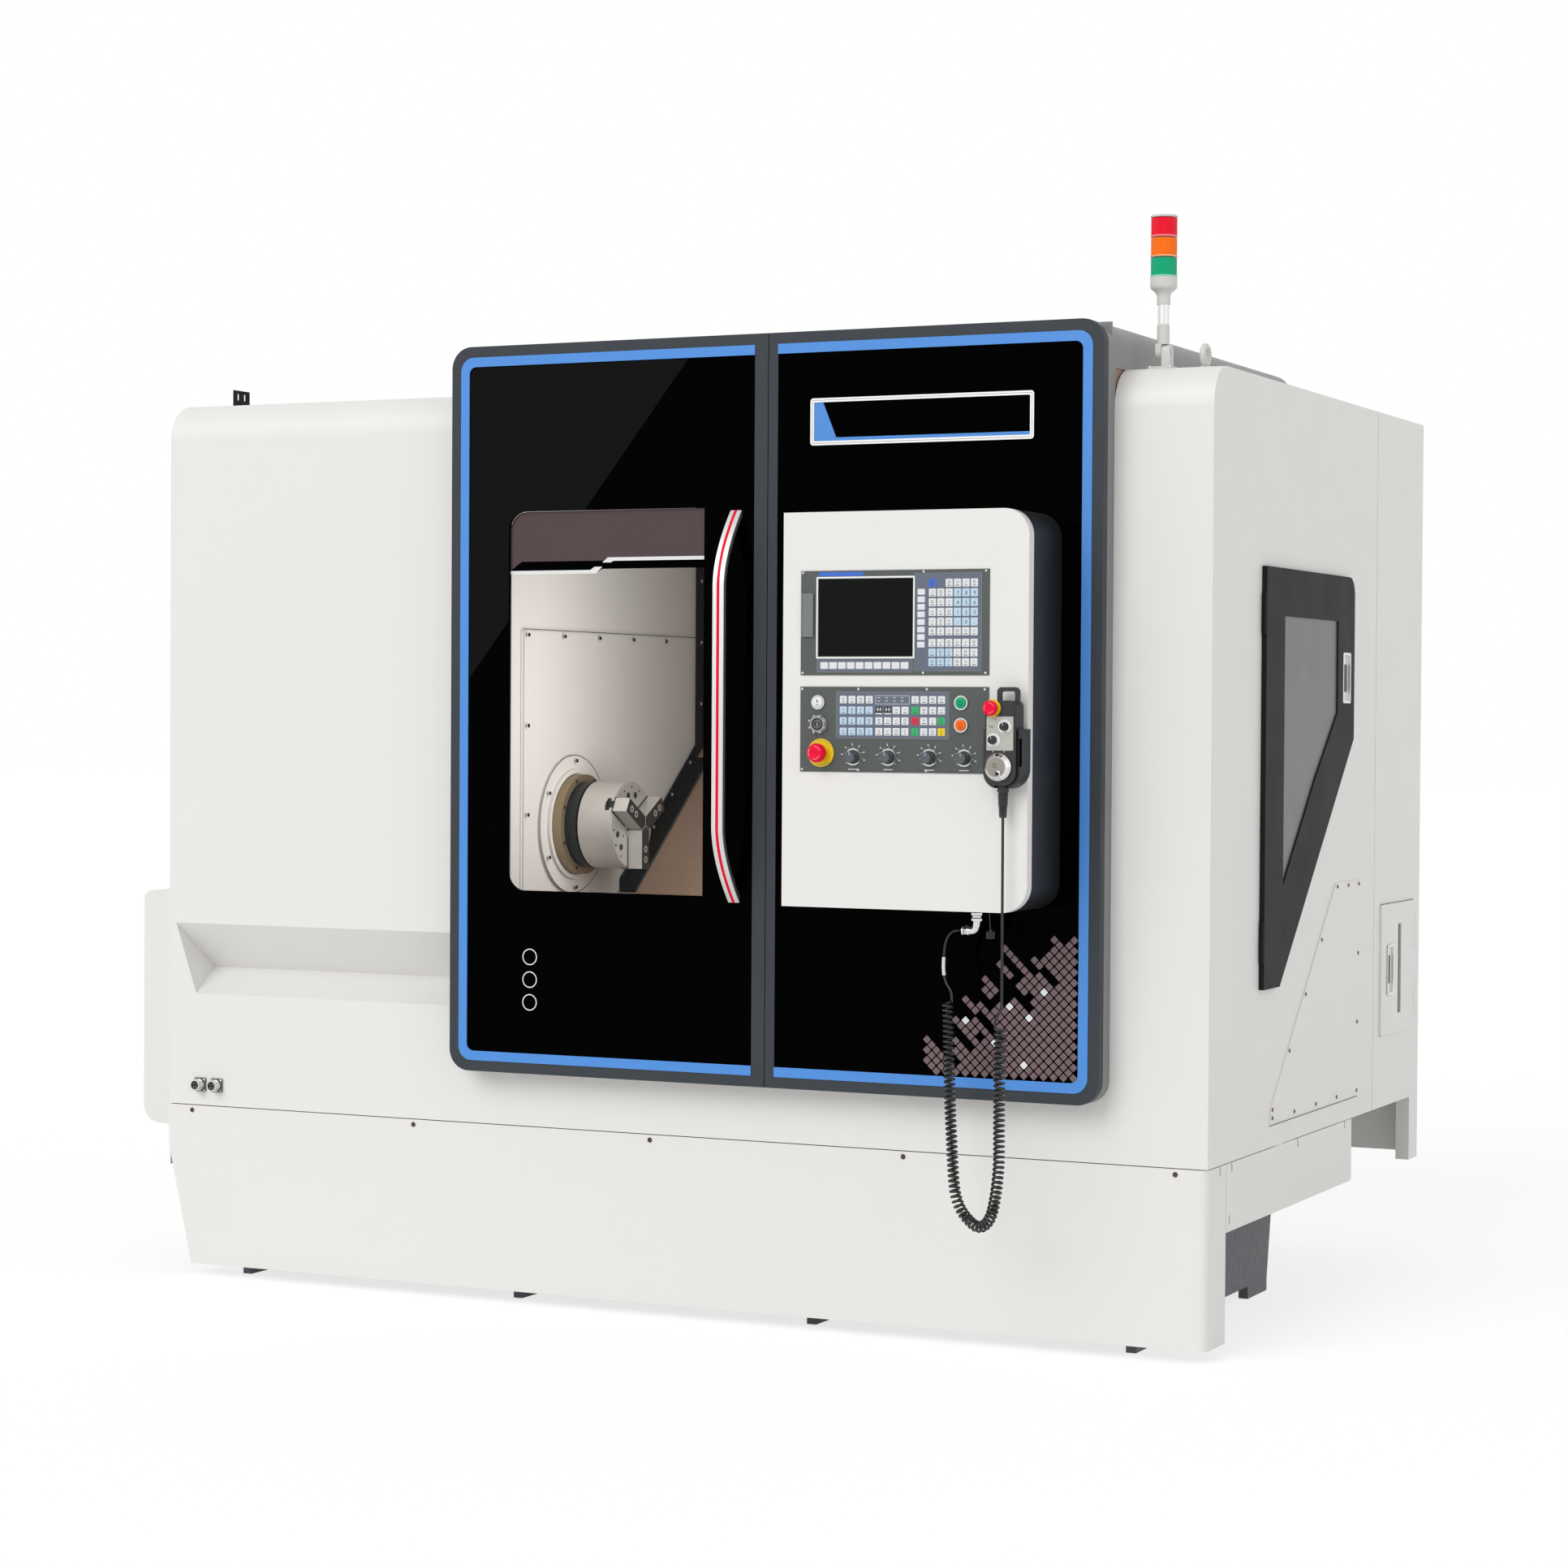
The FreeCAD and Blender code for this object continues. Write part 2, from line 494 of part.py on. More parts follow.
class Piece:
    """One separate part: a body grown by pads, cuts and turns, placed in the machine's frame."""

    def __init__(self, name, at=(0, 0, 0), turn=None):
        self.name = name
        self.count = 0
        self.body = doc.addObject("PartDesign::Body", name)
        self.body.Label = name
        self.body.AllowCompound = True
        rotation = FreeCAD.Rotation(*turn) if turn else FreeCAD.Rotation()
        place = [Size.of(a) - o for a, o in zip(at, ORIGIN)]
        self.body.Placement = FreeCAD.Placement(V(*[p.value for p in place]), rotation)
        for key, p in zip("xyz", place):
            self.body.setExpression("Placement.Base." + key, p.text)
        PIECES.append(self)

    def _name(self, kind):
        self.count += 1
        return "%s_%s_%d" % (self.name, kind, self.count)

    def _sketch(self, plane, where, loops):
        sk = self.body.newObject("Sketcher::SketchObject", self._name("outline"))
        roles = {f.Role: f for f in self.body.Origin.OriginFeatures}
        sk.AttachmentSupport = (roles[plane + "_Plane"], [""])
        sk.MapMode = "FlatFace"
        sk.setExpression("AttachmentOffset.Base.z", Size.of(where).text)
        geometry, rules, bound, helpers = [], [], [], []
        for loop in loops:
            self._loop(loop, geometry, rules, bound, helpers)
        sk.addGeometry(geometry, False)
        for index in helpers:
            sk.setConstruction(index, True)
        sk.addConstraint(rules)
        for index, text in bound:
            sk.setExpression("Constraints[%d]" % index, text)
        return sk

    @staticmethod
    def _pin(rules, bound, index, spot, u, v):
        for kind, size in (("DistanceX", u), ("DistanceY", v)):
            rules.append(Sketcher.Constraint(kind, -1, 1, index, spot, size.value))
            bound.append((len(rules) - 1, size.text))

    def _loop(self, loop, geometry, rules, bound, helpers):
        if loop[0] == "ring":
            u, v, radius = [Size.of(a) for a in loop[1:]]
            index = len(geometry)
            geometry.append(Part.Circle(V(u.value, v.value, 0), V(0, 0, 1), radius.value))
            self._pin(rules, bound, index, 3, u, v)
            rules.append(Sketcher.Constraint("Radius", index, radius.value))
            bound.append((len(rules) - 1, radius.text))
            return
        corners = [[Size.of(a) for a in corner] for corner in loop]
        count = len(corners)
        flat = [V(c[0].value, c[1].value, 0) for c in corners]
        into, out = [], []
        for i, corner in enumerate(corners):
            back = (flat[i - 1] - flat[i]).normalize()
            ahead = (flat[(i + 1) % count] - flat[i]).normalize()
            if len(corner) == 3:
                half = back.getAngle(ahead) / 2
                reach = corner[2].value / math.tan(half)
                into.append(flat[i] + back * reach)
                out.append(flat[i] + ahead * reach)
            else:
                into.append(flat[i])
                out.append(flat[i])
        first = len(geometry)
        for i in range(count):
            geometry.append(Part.LineSegment(out[i], into[(i + 1) % count]))
        for i, corner in enumerate(corners):
            line, before = first + i, first + (i - 1) % count
            if len(corner) == 2:
                rules.append(Sketcher.Constraint("Coincident", before, 2, line, 1))
                self._pin(rules, bound, line, 1, corner[0], corner[1])
                continue
            back = (flat[i - 1] - flat[i]).normalize()
            ahead = (flat[(i + 1) % count] - flat[i]).normalize()
            half = back.getAngle(ahead) / 2
            middle = (back + ahead).normalize() * (corner[2].value / math.sin(half))
            centre = flat[i] + middle
            start = math.atan2(into[i].y - centre.y, into[i].x - centre.x)
            end = math.atan2(out[i].y - centre.y, out[i].x - centre.x)
            forward = (end - start) % (2 * math.pi) < math.pi
            if not forward:
                start, end = end, start
            arc = len(geometry)
            circle = Part.Circle(centre, V(0, 0, 1), corner[2].value)
            geometry.append(Part.ArcOfCircle(circle, start, end))
            near, far = (1, 2) if forward else (2, 1)
            rules.append(Sketcher.Constraint("Tangent", before, 2, arc, near))
            rules.append(Sketcher.Constraint("Tangent", arc, far, line, 1))
            rules.append(Sketcher.Constraint("Radius", arc, corner[2].value))
            bound.append((len(rules) - 1, corner[2].text))
            point = len(geometry)
            geometry.append(Part.Point(flat[i]))
            helpers.append(point)
            self._pin(rules, bound, point, 1, corner[0], corner[1])
            rules.append(Sketcher.Constraint("PointOnObject", point, 1, before))
            rules.append(Sketcher.Constraint("PointOnObject", point, 1, line))

    def pad(self, plane, low, high, *loops):
        low, high = Size.of(low), Size.of(high)
        where = -high if plane == "XZ" else low
        feature = self.body.newObject("PartDesign::Pad", self._name("pad"))
        feature.Profile = self._sketch(plane, where, loops)
        feature.setExpression("Length", (high - low).text)
        return self._close(feature)

    def cut(self, plane, low, high, *loops):
        low, high = Size.of(low), Size.of(high)
        where = -low if plane == "XZ" else high
        feature = self.body.newObject("PartDesign::Pocket", self._name("cut"))
        feature.Profile = self._sketch(plane, where, loops)
        feature.setExpression("Length", (high - low).text)
        return self._close(feature)

    def revolve(self, *loops, remove=False):
        kind = "Groove" if remove else "Revolution"
        feature = self.body.newObject("PartDesign::" + kind, self._name("turn"))
        outline = self._sketch("XZ", Size(0), loops)
        feature.Profile = outline
        feature.ReferenceAxis = (outline, ["V_Axis"])
        feature.Angle = 360
        return self._close(feature)

    def _close(self, feature):
        self.body.Tip = feature
        return feature

    def repeat(self, features, *steps):
        """copies of earlier features: steps of (axis letter, spacing, number) or ("turn", number)"""
        many = self.body.newObject("PartDesign::MultiTransform", self._name("pattern"))
        many.Originals = features
        roles = {f.Role: f for f in self.body.Origin.OriginFeatures}
        parts = []
        for step in steps:
            if step[0] == "turn":
                part = self.body.newObject("PartDesign::PolarPattern", self._name("round"))
                part.Axis = (roles["Z_Axis"], [""])
                part.Angle = 360
                part.Occurrences = step[1]
            else:
                part = self.body.newObject("PartDesign::LinearPattern", self._name("row"))
                part.Direction = (roles[step[0] + "_Axis"], [""])
                part.Mode = "Spacing"
                part.setExpression("Offset", Size.of(step[1]).text)
                part.Occurrences = step[2]
            parts.append(part)
        many.Transformations = parts
        return self._close(many)

S = Sheet(SIZES)
PIECES = []
FRONT_HIGH = S.white_top + S.hood_rise
AXIS_Z = S.deck_low_z + S.axis_rise
ORIGIN = ((S.white_width + S.side_proud - S.cover_reach) / 2,
          (S.rear_depth - S.overhang) / 2, Size(0))

FRONT = (V(1, 0, 0), 90)       # local Z points out of the front
RIGHT = (V(0, 1, 0), 90)       # local Z points to the right
W, T = S.white_width, S.sheet


def deck_height(y):
    """upper face of the slanted deck"""
    return S.deck_low_z + (Size.of(y) - S.deck_low_y) * tan_of(S.slant)


def under_deck(y):
    """lower face of the slanted deck sheet, on which everything solid rests"""
    return deck_height(y) - T / cos_of(S.slant)


def bed_casting():
    p = Piece("bed_casting")
    riser = S.deck_low_y + T
    back = S.deck_high_y + T
    floor = S.tray_floor - T
    p.pad("YZ", S.bed_left, S.bed_right,
          [(S.bed_front, S.foot_high), (S.bed_foot_back, S.foot_high), (back, S.bed_raise),
           (back, under_deck(back)), (riser, under_deck(riser)), (riser, floor), (S.bed_front, floor)])
    low, high = S.seam_height - S.beam_high, S.seam_height
    beams = [rect(S.skirt_round + T, S.bed_front + S.beam_deep, low, high),
             rect(S.bed_foot_back - S.beam_deep, S.bed_foot_back, low, high)]
    p.pad("YZ", T, W - T, *beams)
    wall = S.bed_wall
    third = (S.bed_right - S.bed_left - wall) / 3
    cores = [rect(S.bed_left + wall + third * k, S.bed_left + third * (k + 1),
                  S.bed_front + wall, S.bed_foot_back - wall) for k in range(3)]
    p.cut("XY", S.foot_high - 1, S.bed_core_top, *cores)
    feet = []
    for k in range(4):
        left = S.bed_left + third * k
        feet.append(rect(left, left + wall, S.bed_front, S.bed_front + S.foot_long))
        feet.append(rect(left, left + wall, S.bed_foot_back - S.foot_long, S.bed_foot_back))
    p.pad("XY", 0, S.foot_high, *feet)


def skirts():
    p = Piece("skirts")
    top = S.seam_height - S.seam
    p.pad("XY", S.skirt_low, top,
          [(0, 0), (W, 0, S.skirt_round), (W, S.skirt_return), (W - T, S.skirt_return),
           (W - T, T, S.skirt_round - T), (0, T)])
    p.cut("XZ", -1, T + 1,
          [(-1, S.skirt_slant_from), (0, S.skirt_slant_from), (S.skirt_slant_in, S.skirt_low - 1),
           (-1, S.skirt_low - 1)])
    p.cut("YZ", W - T - 1, W + 1, slot(85, 401))
    start = S.skirt_return + S.seam
    side = rect(start, S.side_skirt_back, S.side_skirt_low, top)
    p.pad("YZ", W - T, W, side)
    p.cut("YZ", W - T - 1, W + 1, slot(165, 401), slot(647, 402), slot(1025, 404), slot(150, 290))
    p.pad("YZ", 0, T, rect(T, S.side_skirt_back, S.side_skirt_low, top))
    post_front = S.rear_depth - S.post_deep
    for left in (Size(0), W - S.post_wide):
        p.pad("XY", S.post_low, S.seam_height,
              rect(left, left + S.post_wide, post_front, S.rear_depth))
    p.pad("XZ", S.rear_depth - T, S.rear_depth,
          rect(S.post_wide, W - S.post_wide, S.side_skirt_low + 4, S.seam_height))


def slot(y, z):
    return rect(y - S.skirt_slot_wide / 2, y + S.skirt_slot_wide / 2,
                z - S.skirt_slot_high / 2, z + S.skirt_slot_high / 2)


def front_outline(left, right, low, high, round_left, round_right, radius):
    """upright rectangle whose left or right corners are rounded"""
    corners = [(left, low, radius) if round_left else (left, low),
               (right, low, radius) if round_right else (right, low),
               (right, high, radius) if round_right else (right, high),
               (left, high, radius) if round_left else (left, high)]
    return corners


def hood_outline(inset):
    radius = S.front_round - inset
    return front_outline(S.front_left + inset, S.front_right - inset, S.front_low + inset,
                         FRONT_HIGH - inset, True, True, radius)


def side_door_outline(inset):
    """sloping outline of the side door, moved inwards by an inset"""
    diagonal = inset * 1.1
    return [(S.side_front + inset, S.side_low + inset), (S.side_low_back - inset * 0.4, S.side_low + inset),
            (S.side_back - inset, S.side_back_low + diagonal * 0.3),
            (S.side_back - inset, S.side_high - inset, S.side_round - inset),
            (S.side_front + inset, S.side_high - inset)]


def housing():
    p = Piece("housing")
    z = S.seam_height
    p.pad("YZ", 0, W, [(0, z), (S.side_depth, z), (S.side_depth, S.white_top), (0, S.white_top, S.top_round)])
    back = S.side_depth - T
    p.cut("YZ", T, W - T, [(T, z + T), (back, z + T), (back, S.white_top - T), (T, S.white_top - T, S.top_round - T)])
    lap = S.seam_deep * 3
    p.cut("XZ", back - 1, S.side_depth + 1, rect(lap, W - lap, z + lap, S.white_top - lap))
    p.cut("XY", z - 1, z + T + 1,
          rect(S.bed_left - 30, S.bed_right + 30, T + 40, S.deck_high_y + 50))
    # tray recess beside the door
    lip, roof = S.recess_low, S.recess_high
    inner, deep = S.recess_inner, S.recess_deep
    p.pad("YZ", S.recess_left - T, S.front_left,
          [(T, lip - T), (deep + T, inner - T), (deep + T, inner + T), (T, roof + T)])
    p.cut("YZ", S.recess_left, S.front_left, [(-1, lip), (deep, inner), (-1, roof)])
    p.pad("XZ", 0, deep, [(S.recess_left, roof), (S.recess_left, lip), (S.recess_left_low, lip)])
    # front opening for the hood, side door and hatchless left wall
    p.cut("XZ", -1, S.side_depth + 1, hood_outline(Size(0)))
    p.cut("YZ", W - T - 1, W + 1, side_door_outline(S.side_rim))
    # bar stock enters through the left wall
    p.cut("YZ", -1, T + 1, ring(S.axis_y, AXIS_Z, S.feed_radius))


def rear_cabinet():
    p = Piece("rear_cabinet")
    z = S.seam_height
    front = S.side_depth + T
    p.pad("YZ", 0, W, rect(front, S.rear_depth, z, S.white_top))
    p.pad("YZ", S.seam_deep, W - S.seam_deep,
          rect(S.side_depth, front, z + S.seam_deep, S.white_top - S.seam_deep))
    p.cut("YZ", T, W - T, rect(front + T, S.rear_depth - T, z + T, S.white_top - T))
    p.cut("YZ", W - T - 1, W + 1,
          rect(S.hatch_front + S.side_rim, S.hatch_back - S.side_rim,
               S.hatch_low + S.side_rim, S.hatch_high - S.side_rim))


def centre_hood():
    p = Piece("centre_hood")
    p.pad("XZ", -S.hood_proud, S.side_depth, hood_outline(Size(0)))
    p.cut("XZ", -S.hood_proud - 1, S.side_depth - T, hood_outline(T))
    p.cut("YZ", S.front_left - 1, S.front_right + 1,
          rect(T, S.side_depth + 1, S.front_low - 1, S.white_top - T))
    # rail on which the door hangs by its rollers
    roof = FRONT_HIGH - T
    wheel_low = S.carrier_high + S.roller_up - S.roller_radius - S.slide_gap
    bar_back = -S.carrier_front + S.carrier_thick
    track, web = bar_back + S.slide_gap, bar_back + S.roller_wide + 2
    p.pad("YZ", S.front_left + T, S.front_right - T,
          [(web + 4, roof), (web + 4, wheel_low - S.door_rail_high), (track, wheel_low - S.door_rail_high),
           (track, wheel_low), (web, wheel_low), (web, roof)])


def headstock_guard():
    p = Piece("headstock_guard")
    x = S.guard_x
    low = S.tray_floor
    top = FRONT_HIGH - S.front_round
    back = S.deck_high_y
    p.pad("YZ", x - T, x,
          [(T, low), (S.deck_low_y, low), (S.deck_low_y, S.deck_low_z), (back, deck_height(back)),
           (back, top), (T, top)])
    p.pad("XZ", T, T + T, rect(S.front_left + T, x - T, low, top))
    p.pad("YZ", x, x + S.collar_thick, ring(S.axis_y, AXIS_Z, S.collar_radius))
    p.cut("YZ", x - T - 1, x + S.collar_thick + 1, ring(S.axis_y, AXIS_Z, S.flange_radius + S.nose_gap))


def chamber_liner():
    p = Piece("chamber_liner")
    floor, riser, back = S.tray_floor, S.deck_low_y, S.deck_high_y
    top = FRONT_HIGH - S.front_round
    left, right = S.guard_x, S.front_right - T
    p.pad("YZ", left, right,
          [(T, floor), (riser, floor), (riser, S.deck_low_z), (back, deck_height(back)), (back, top),
           (back + T, top), (back + T, under_deck(back + T)), (riser + T, under_deck(riser + T)),
           (riser + T, floor - T), (T, floor - T)])
    p.pad("YZ", right - T, right,
          [(T, floor), (riser, floor), (riser, S.deck_low_z), (back, deck_height(back)), (back, top), (T, top)])


def headstock():
    p = Piece("headstock")
    riser = S.deck_low_y + T
    y, z = S.axis_y, AXIS_Z
    p.pad("YZ", S.head_left, S.head_right,
          [(riser, under_deck(riser)), (S.head_back, under_deck(S.head_back)), (S.head_back, (AXIS_Z + S.head_rise)),
           (y + 110, (AXIS_Z + S.head_rise)), (S.head_front, z + 130, 60), (S.head_front, z - 130, 60),
           (y - 10, z - 205)])
    p.pad("YZ", S.head_left - S.motor_long, S.head_left, ring(y, z, S.motor_radius))
    p.cut("YZ", S.head_left - S.motor_long - 1, S.head_right + 1,
          ring(y, z, S.shaft_radius + S.running_fit))


def guideways():
    p = Piece("guideways", at=(0, S.deck_low_y, S.deck_low_z), turn=(V(1, 0, 0), S.slant.value))
    low = S.rail_low
    for start in (low, low + S.rail_apart):
        p.pad("YZ", S.rail_left, S.rail_right,
              [(start, 0), (start + S.rail_wide, 0), (start + S.rail_wide, S.rail_high), (start, S.rail_high)])


def spindle():
    p = Piece("spindle", at=(0, S.axis_y, AXIS_Z), turn=RIGHT)
    tail = S.head_left - S.motor_long - 30
    face = S.chuck_face
    flange_end = S.guard_x + 38
    p.revolve([(S.bore_radius, tail), (S.shaft_radius, tail), (S.shaft_radius, S.guard_x - 12),
               (S.flange_radius, S.guard_x - 12), (S.flange_radius, flange_end), (S.neck_radius, flange_end),
               (S.neck_radius, S.chuck_back), (S.chuck_radius, S.chuck_back),
               (S.chuck_radius, face - S.chuck_chamfer), (S.chuck_radius - S.chuck_chamfer, face),
               (S.bore_radius, face)])
    half = S.tongue_wide / 2 + S.slide_gap
    cut = p.cut("XY", face - S.tongue_deep - S.slide_gap, face + 1,
                rect(S.bore_radius + 4, S.chuck_radius + 1, -half, half))
    p.repeat([cut], ("turn", 3))


def jaw(name, angle):
    p = Piece(name, at=(S.chuck_face, S.axis_y, AXIS_Z), turn=(V(1, 0, 0), angle))
    gap, half = S.slide_gap, S.jaw_wide / 2
    tip, outer = S.jaw_tip, S.jaw_outer
    shoulder = tip + half / tan_of(Size(60))
    p.pad("YZ", gap, S.jaw_high,
          [(0, tip), (half, shoulder), (half, outer), (-half, outer), (-half, shoulder)])
    p.pad("XZ", -S.tongue_wide / 2, S.tongue_wide / 2,
          rect(-S.tongue_deep, gap, S.bore_radius + 8, outer - 6))
    screws = [ring(0, outer - 22, S.jaw_screw), ring(0, outer - 47, S.jaw_screw)]
    p.cut("YZ", S.jaw_high - S.jaw_screw_deep, S.jaw_high + 1, *screws)


def slanted(name):
    return Piece(name, at=(0, S.deck_low_y, S.deck_low_z), turn=(V(1, 0, 0), S.slant.value))


def carriage():
    p = slanted("carriage")
    left, right = S.saddle_left, S.saddle_left + S.saddle_long
    gap = S.slide_gap
    rail_top = S.rail_high
    p.pad("YZ", left, right,
          [(S.saddle_low, 8), (S.saddle_high, 8), (S.saddle_high, rail_top + S.saddle_thick),
           (S.saddle_low, rail_top + S.saddle_thick)])
    grooves = [rect(y - gap, y + S.rail_wide + gap, 7, rail_top + gap)
               for y in (S.rail_low, S.rail_low + S.rail_apart)]
    p.cut("YZ", left - 1, right + 1, *grooves)
    floor = rail_top + S.saddle_thick
    edge = Size(45)
    p.pad("XY", floor, floor + S.cross_rail_high,
          rect(left + edge, left + edge + S.cross_rail_wide, S.saddle_low, S.saddle_high),
          rect(right - edge - S.cross_rail_wide, right - edge, S.saddle_low, S.saddle_high))


def cross_slide():
    p = slanted("cross_slide")
    left, right = S.saddle_left, S.saddle_left + S.saddle_long
    floor = S.rail_high + S.saddle_thick
    gap, edge = S.slide_gap, Size(45)
    low, high = S.cross_low, S.cross_low + S.cross_long
    top = floor + S.cross_rail_high + S.cross_thick
    p.pad("XY", floor + 3, top, rect(left + S.cross_inset, right - S.cross_inset, low, high))
    p.cut("XY", floor + 2, floor + S.cross_rail_high + gap,
          rect(left + edge - gap, left + edge + S.cross_rail_wide + gap, low - 1, high + 1),
          rect(right - edge - S.cross_rail_wide - gap, right - edge + gap, low - 1, high + 1))
    up, out = turret_centre()
    half = S.turret_body
    p.pad("YZ", left + S.cross_inset, right - S.cross_inset - 50,
          [(up - half, top), (up + half, top), (up + half, out + half, 25), (up - half, out + half, 25)])
    p.cut("YZ", left + S.cross_inset - 1, left + S.cross_inset + S.hub_long + 10,
          ring(up, out, S.hub_radius + S.running_fit))


def turret_centre():
    """turret axis on the slope: up the deck, and as far out from it as the spindle axis"""
    dy, dz = S.axis_y - S.deck_low_y, AXIS_Z - S.deck_low_z
    out = dz * cos_of(S.slant) - dy * sin_of(S.slant)
    return S.turret_up, out


def turret():
    p = slanted("turret")
    up, out = turret_centre()
    right = S.saddle_left + S.cross_inset - S.turret_gap
    left = right - S.turret_thick
    count = 12
    radius = S.turret_radius / cos_of(Size(180.0 / count))
    corners = []
    for k in range(count):
        angle = Size(360.0 / count * (k + 0.5))
        corners.append((up + radius * cos_of(angle), out + radius * sin_of(angle)))
    p.pad("YZ", left, right, corners)
    p.pad("YZ", right, right + S.hub_long, ring(up, out, S.hub_radius))
    p.pad("YZ", left - 14, left, ring(up, out, 60))
    seats = []
    for k in range(count):
        turn = 360.0 / count * k
        seats.append([(up + reach * cos_of(Size(turn + lean)), out + reach * sin_of(Size(turn + lean)))
                      for reach, lean in ((S.seat_inner, -8), (S.seat_outer, -6), (S.seat_outer, 6), (S.seat_inner, 8))])
    p.cut("YZ", left - 1, left + S.seat_deep, *seats)


def door_frame():
    p = Piece("door_frame")
    front, back = -S.front_proud, -S.door_back
    p.pad("XZ", front, back,
          front_outline(S.front_left, S.door_right, S.front_low, FRONT_HIGH, True, False, S.front_round))
    p.cut("XZ", front - 1, front + S.panel_thick, door_panel_outline())
    lap = S.pane_lap
    p.cut("XZ", front, front + S.panel_thick + S.pane_thick,
          rect(S.window_left - lap, S.window_right + lap, S.window_low - lap, S.window_high + lap))
    p.cut("XZ", front - 1, back + 1,
          rect(S.window_left - 6, S.window_right + 6, S.window_low - 6, S.window_high + 6))
    # hanger bar, reaching to the right behind the fixed front, with two rollers
    bar_front, bar_back = -S.carrier_front, -S.carrier_front + S.carrier_thick
    bar_left = S.front_left + T + S.door_travel + S.carrier_gap
    p.pad("XZ", back, bar_front, rect(bar_left, S.door_right - 20, S.carrier_low, S.carrier_high))
    p.pad("XZ", bar_front, bar_back, rect(bar_left, S.carrier_right, S.carrier_low, S.carrier_high))
    for x in (S.door_right - 150, S.carrier_right - 60):
        p.pad("XZ", bar_front, bar_back, rect(x - 20, x + 20, S.carrier_high - 1, S.carrier_high + 34))
        p.pad("XZ", bar_back, bar_back + S.roller_wide, ring(x, S.carrier_high + S.roller_up, S.roller_radius))


def door_panel_outline():
    inset = S.band_inset + S.band_wide
    return front_outline(S.front_left + inset, S.door_right - S.stile_right, S.front_low + inset,
                         FRONT_HIGH - inset, True, False, S.front_round - inset + 14)


def door_panel():
    p = Piece("door_panel")
    front = -S.front_proud
    p.pad("XZ", front, front + S.panel_thick, door_panel_outline())
    p.cut("XZ", front - 1, front + S.panel_thick + 1,
          front_outline(S.window_left, S.window_right, S.window_low, S.window_high, True, False, S.window_round))


def door_window():
    p = Piece("door_window")
    front = -S.front_proud + S.panel_thick
    lap = S.pane_lap
    p.pad("XZ", front, front + S.pane_thick,
          rect(S.window_left - lap, S.window_right + lap, S.window_low - lap, S.window_high + lap))


def door_trim():
    p = Piece("door_trim")
    front = -S.front_proud
    a, b = S.band_inset, S.band_inset + S.band_wide
    p.pad("XZ", front - S.band_proud, front,
          front_outline(S.front_left + a, S.door_right - S.stile_right, S.front_low + a, FRONT_HIGH - a,
                        True, False, S.front_round - a + 8))
    p.cut("XZ", front - S.band_proud - 1, front + 1,
          front_outline(S.front_left + b, S.door_right, S.front_low + b, FRONT_HIGH - b,
                        True, False, S.front_round - b + 14))


def bow_outline(reach, thick):
    """bent flat bar seen from the side: two sloping ends and a straight middle"""
    front = S.front_proud
    slope = S.handle_leg / S.handle_reach
    foot = thick * hypot_of(S.handle_reach, S.handle_leg) / S.handle_reach
    outer_run = reach * slope
    inner_run = (reach - thick) * slope
    low, high = S.handle_low, S.handle_high
    bend = S.handle_bend
    return [(-front, high), (-front - reach, high - outer_run, bend), (-front - reach, low + outer_run, bend),
            (-front, low), (-front, low + foot), (-front - reach + thick, low + foot + inner_run, bend - thick),
            (-front - reach + thick, high - foot - inner_run, bend - thick), (-front, high - foot)]


def door_handle():
    p = Piece("door_handle")
    half, narrow = S.handle_wide / 2, S.inlay_wide / 2
    x = S.handle_x
    p.pad("YZ", x - half, x + half, bow_outline(S.handle_reach, S.handle_thick))
    p.cut("YZ", x - narrow, x + narrow, bow_outline(S.handle_reach, S.inlay_deep))


def handle_inlay():
    p = Piece("handle_inlay")
    narrow = S.inlay_wide / 2
    p.pad("YZ", S.handle_x - narrow, S.handle_x + narrow, bow_outline(S.handle_reach, S.inlay_deep))


def fixed_frame():
    p = Piece("fixed_frame")
    front, back = -S.front_proud, -S.hood_proud
    p.pad("XZ", front, back,
          front_outline(S.fixed_left, S.front_right, S.front_low, FRONT_HIGH, False, True, S.front_round))
    p.cut("XZ", front - 1, front + S.panel_thick, fixed_panel_outline())


def fixed_panel_outline():
    inset = S.band_inset + S.band_wide
    return front_outline(S.fixed_left + S.stile_left, S.front_right - inset, S.front_low + inset,
                         FRONT_HIGH - inset, False, True, S.front_round - inset + 14)


def fixed_panel():
    p = Piece("fixed_panel")
    front = -S.front_proud
    p.pad("XZ", front, front + S.panel_thick, fixed_panel_outline())


def fixed_trim():
    p = Piece("fixed_trim")
    front = -S.front_proud
    a, b = S.band_inset, S.band_inset + S.band_wide
    p.pad("XZ", front - S.band_proud, front,
          front_outline(S.fixed_left + S.stile_left, S.front_right - a, S.front_low + a, FRONT_HIGH - a,
                        False, True, S.front_round - a + 8))
    p.cut("XZ", front - S.band_proud - 1, front + 1,
          front_outline(S.fixed_left, S.front_right - b, S.front_low + b, FRONT_HIGH - b,
                        False, True, S.front_round - b + 14))


def name_plate():
    p = Piece("name_plate")
    front = -S.front_proud
    rim = S.plate_rim
    p.pad("XZ", front - S.plate_thick, front, rect(S.plate_left, S.plate_right, S.plate_low, S.plate_high, 6))
    p.cut("XZ", front - S.plate_thick - 1, front - S.plate_thick + 1.2,
          rect(S.plate_left + rim, S.plate_right - rim, S.plate_low + rim, S.plate_high - rim, 3))


def box_outline(inset=0):
    return front_outline(S.box_left + inset, S.box_right - inset, S.box_low + inset, S.box_high - inset,
                         False, True, S.box_round - inset)


def control_box():
    p = Piece("control_box")
    front, back = -S.box_face + S.box_flange, -S.front_proud
    p.pad("XZ", front, back, box_outline())
    p.cut("XZ", front - 1, back - S.box_skin, box_outline(S.box_skin))


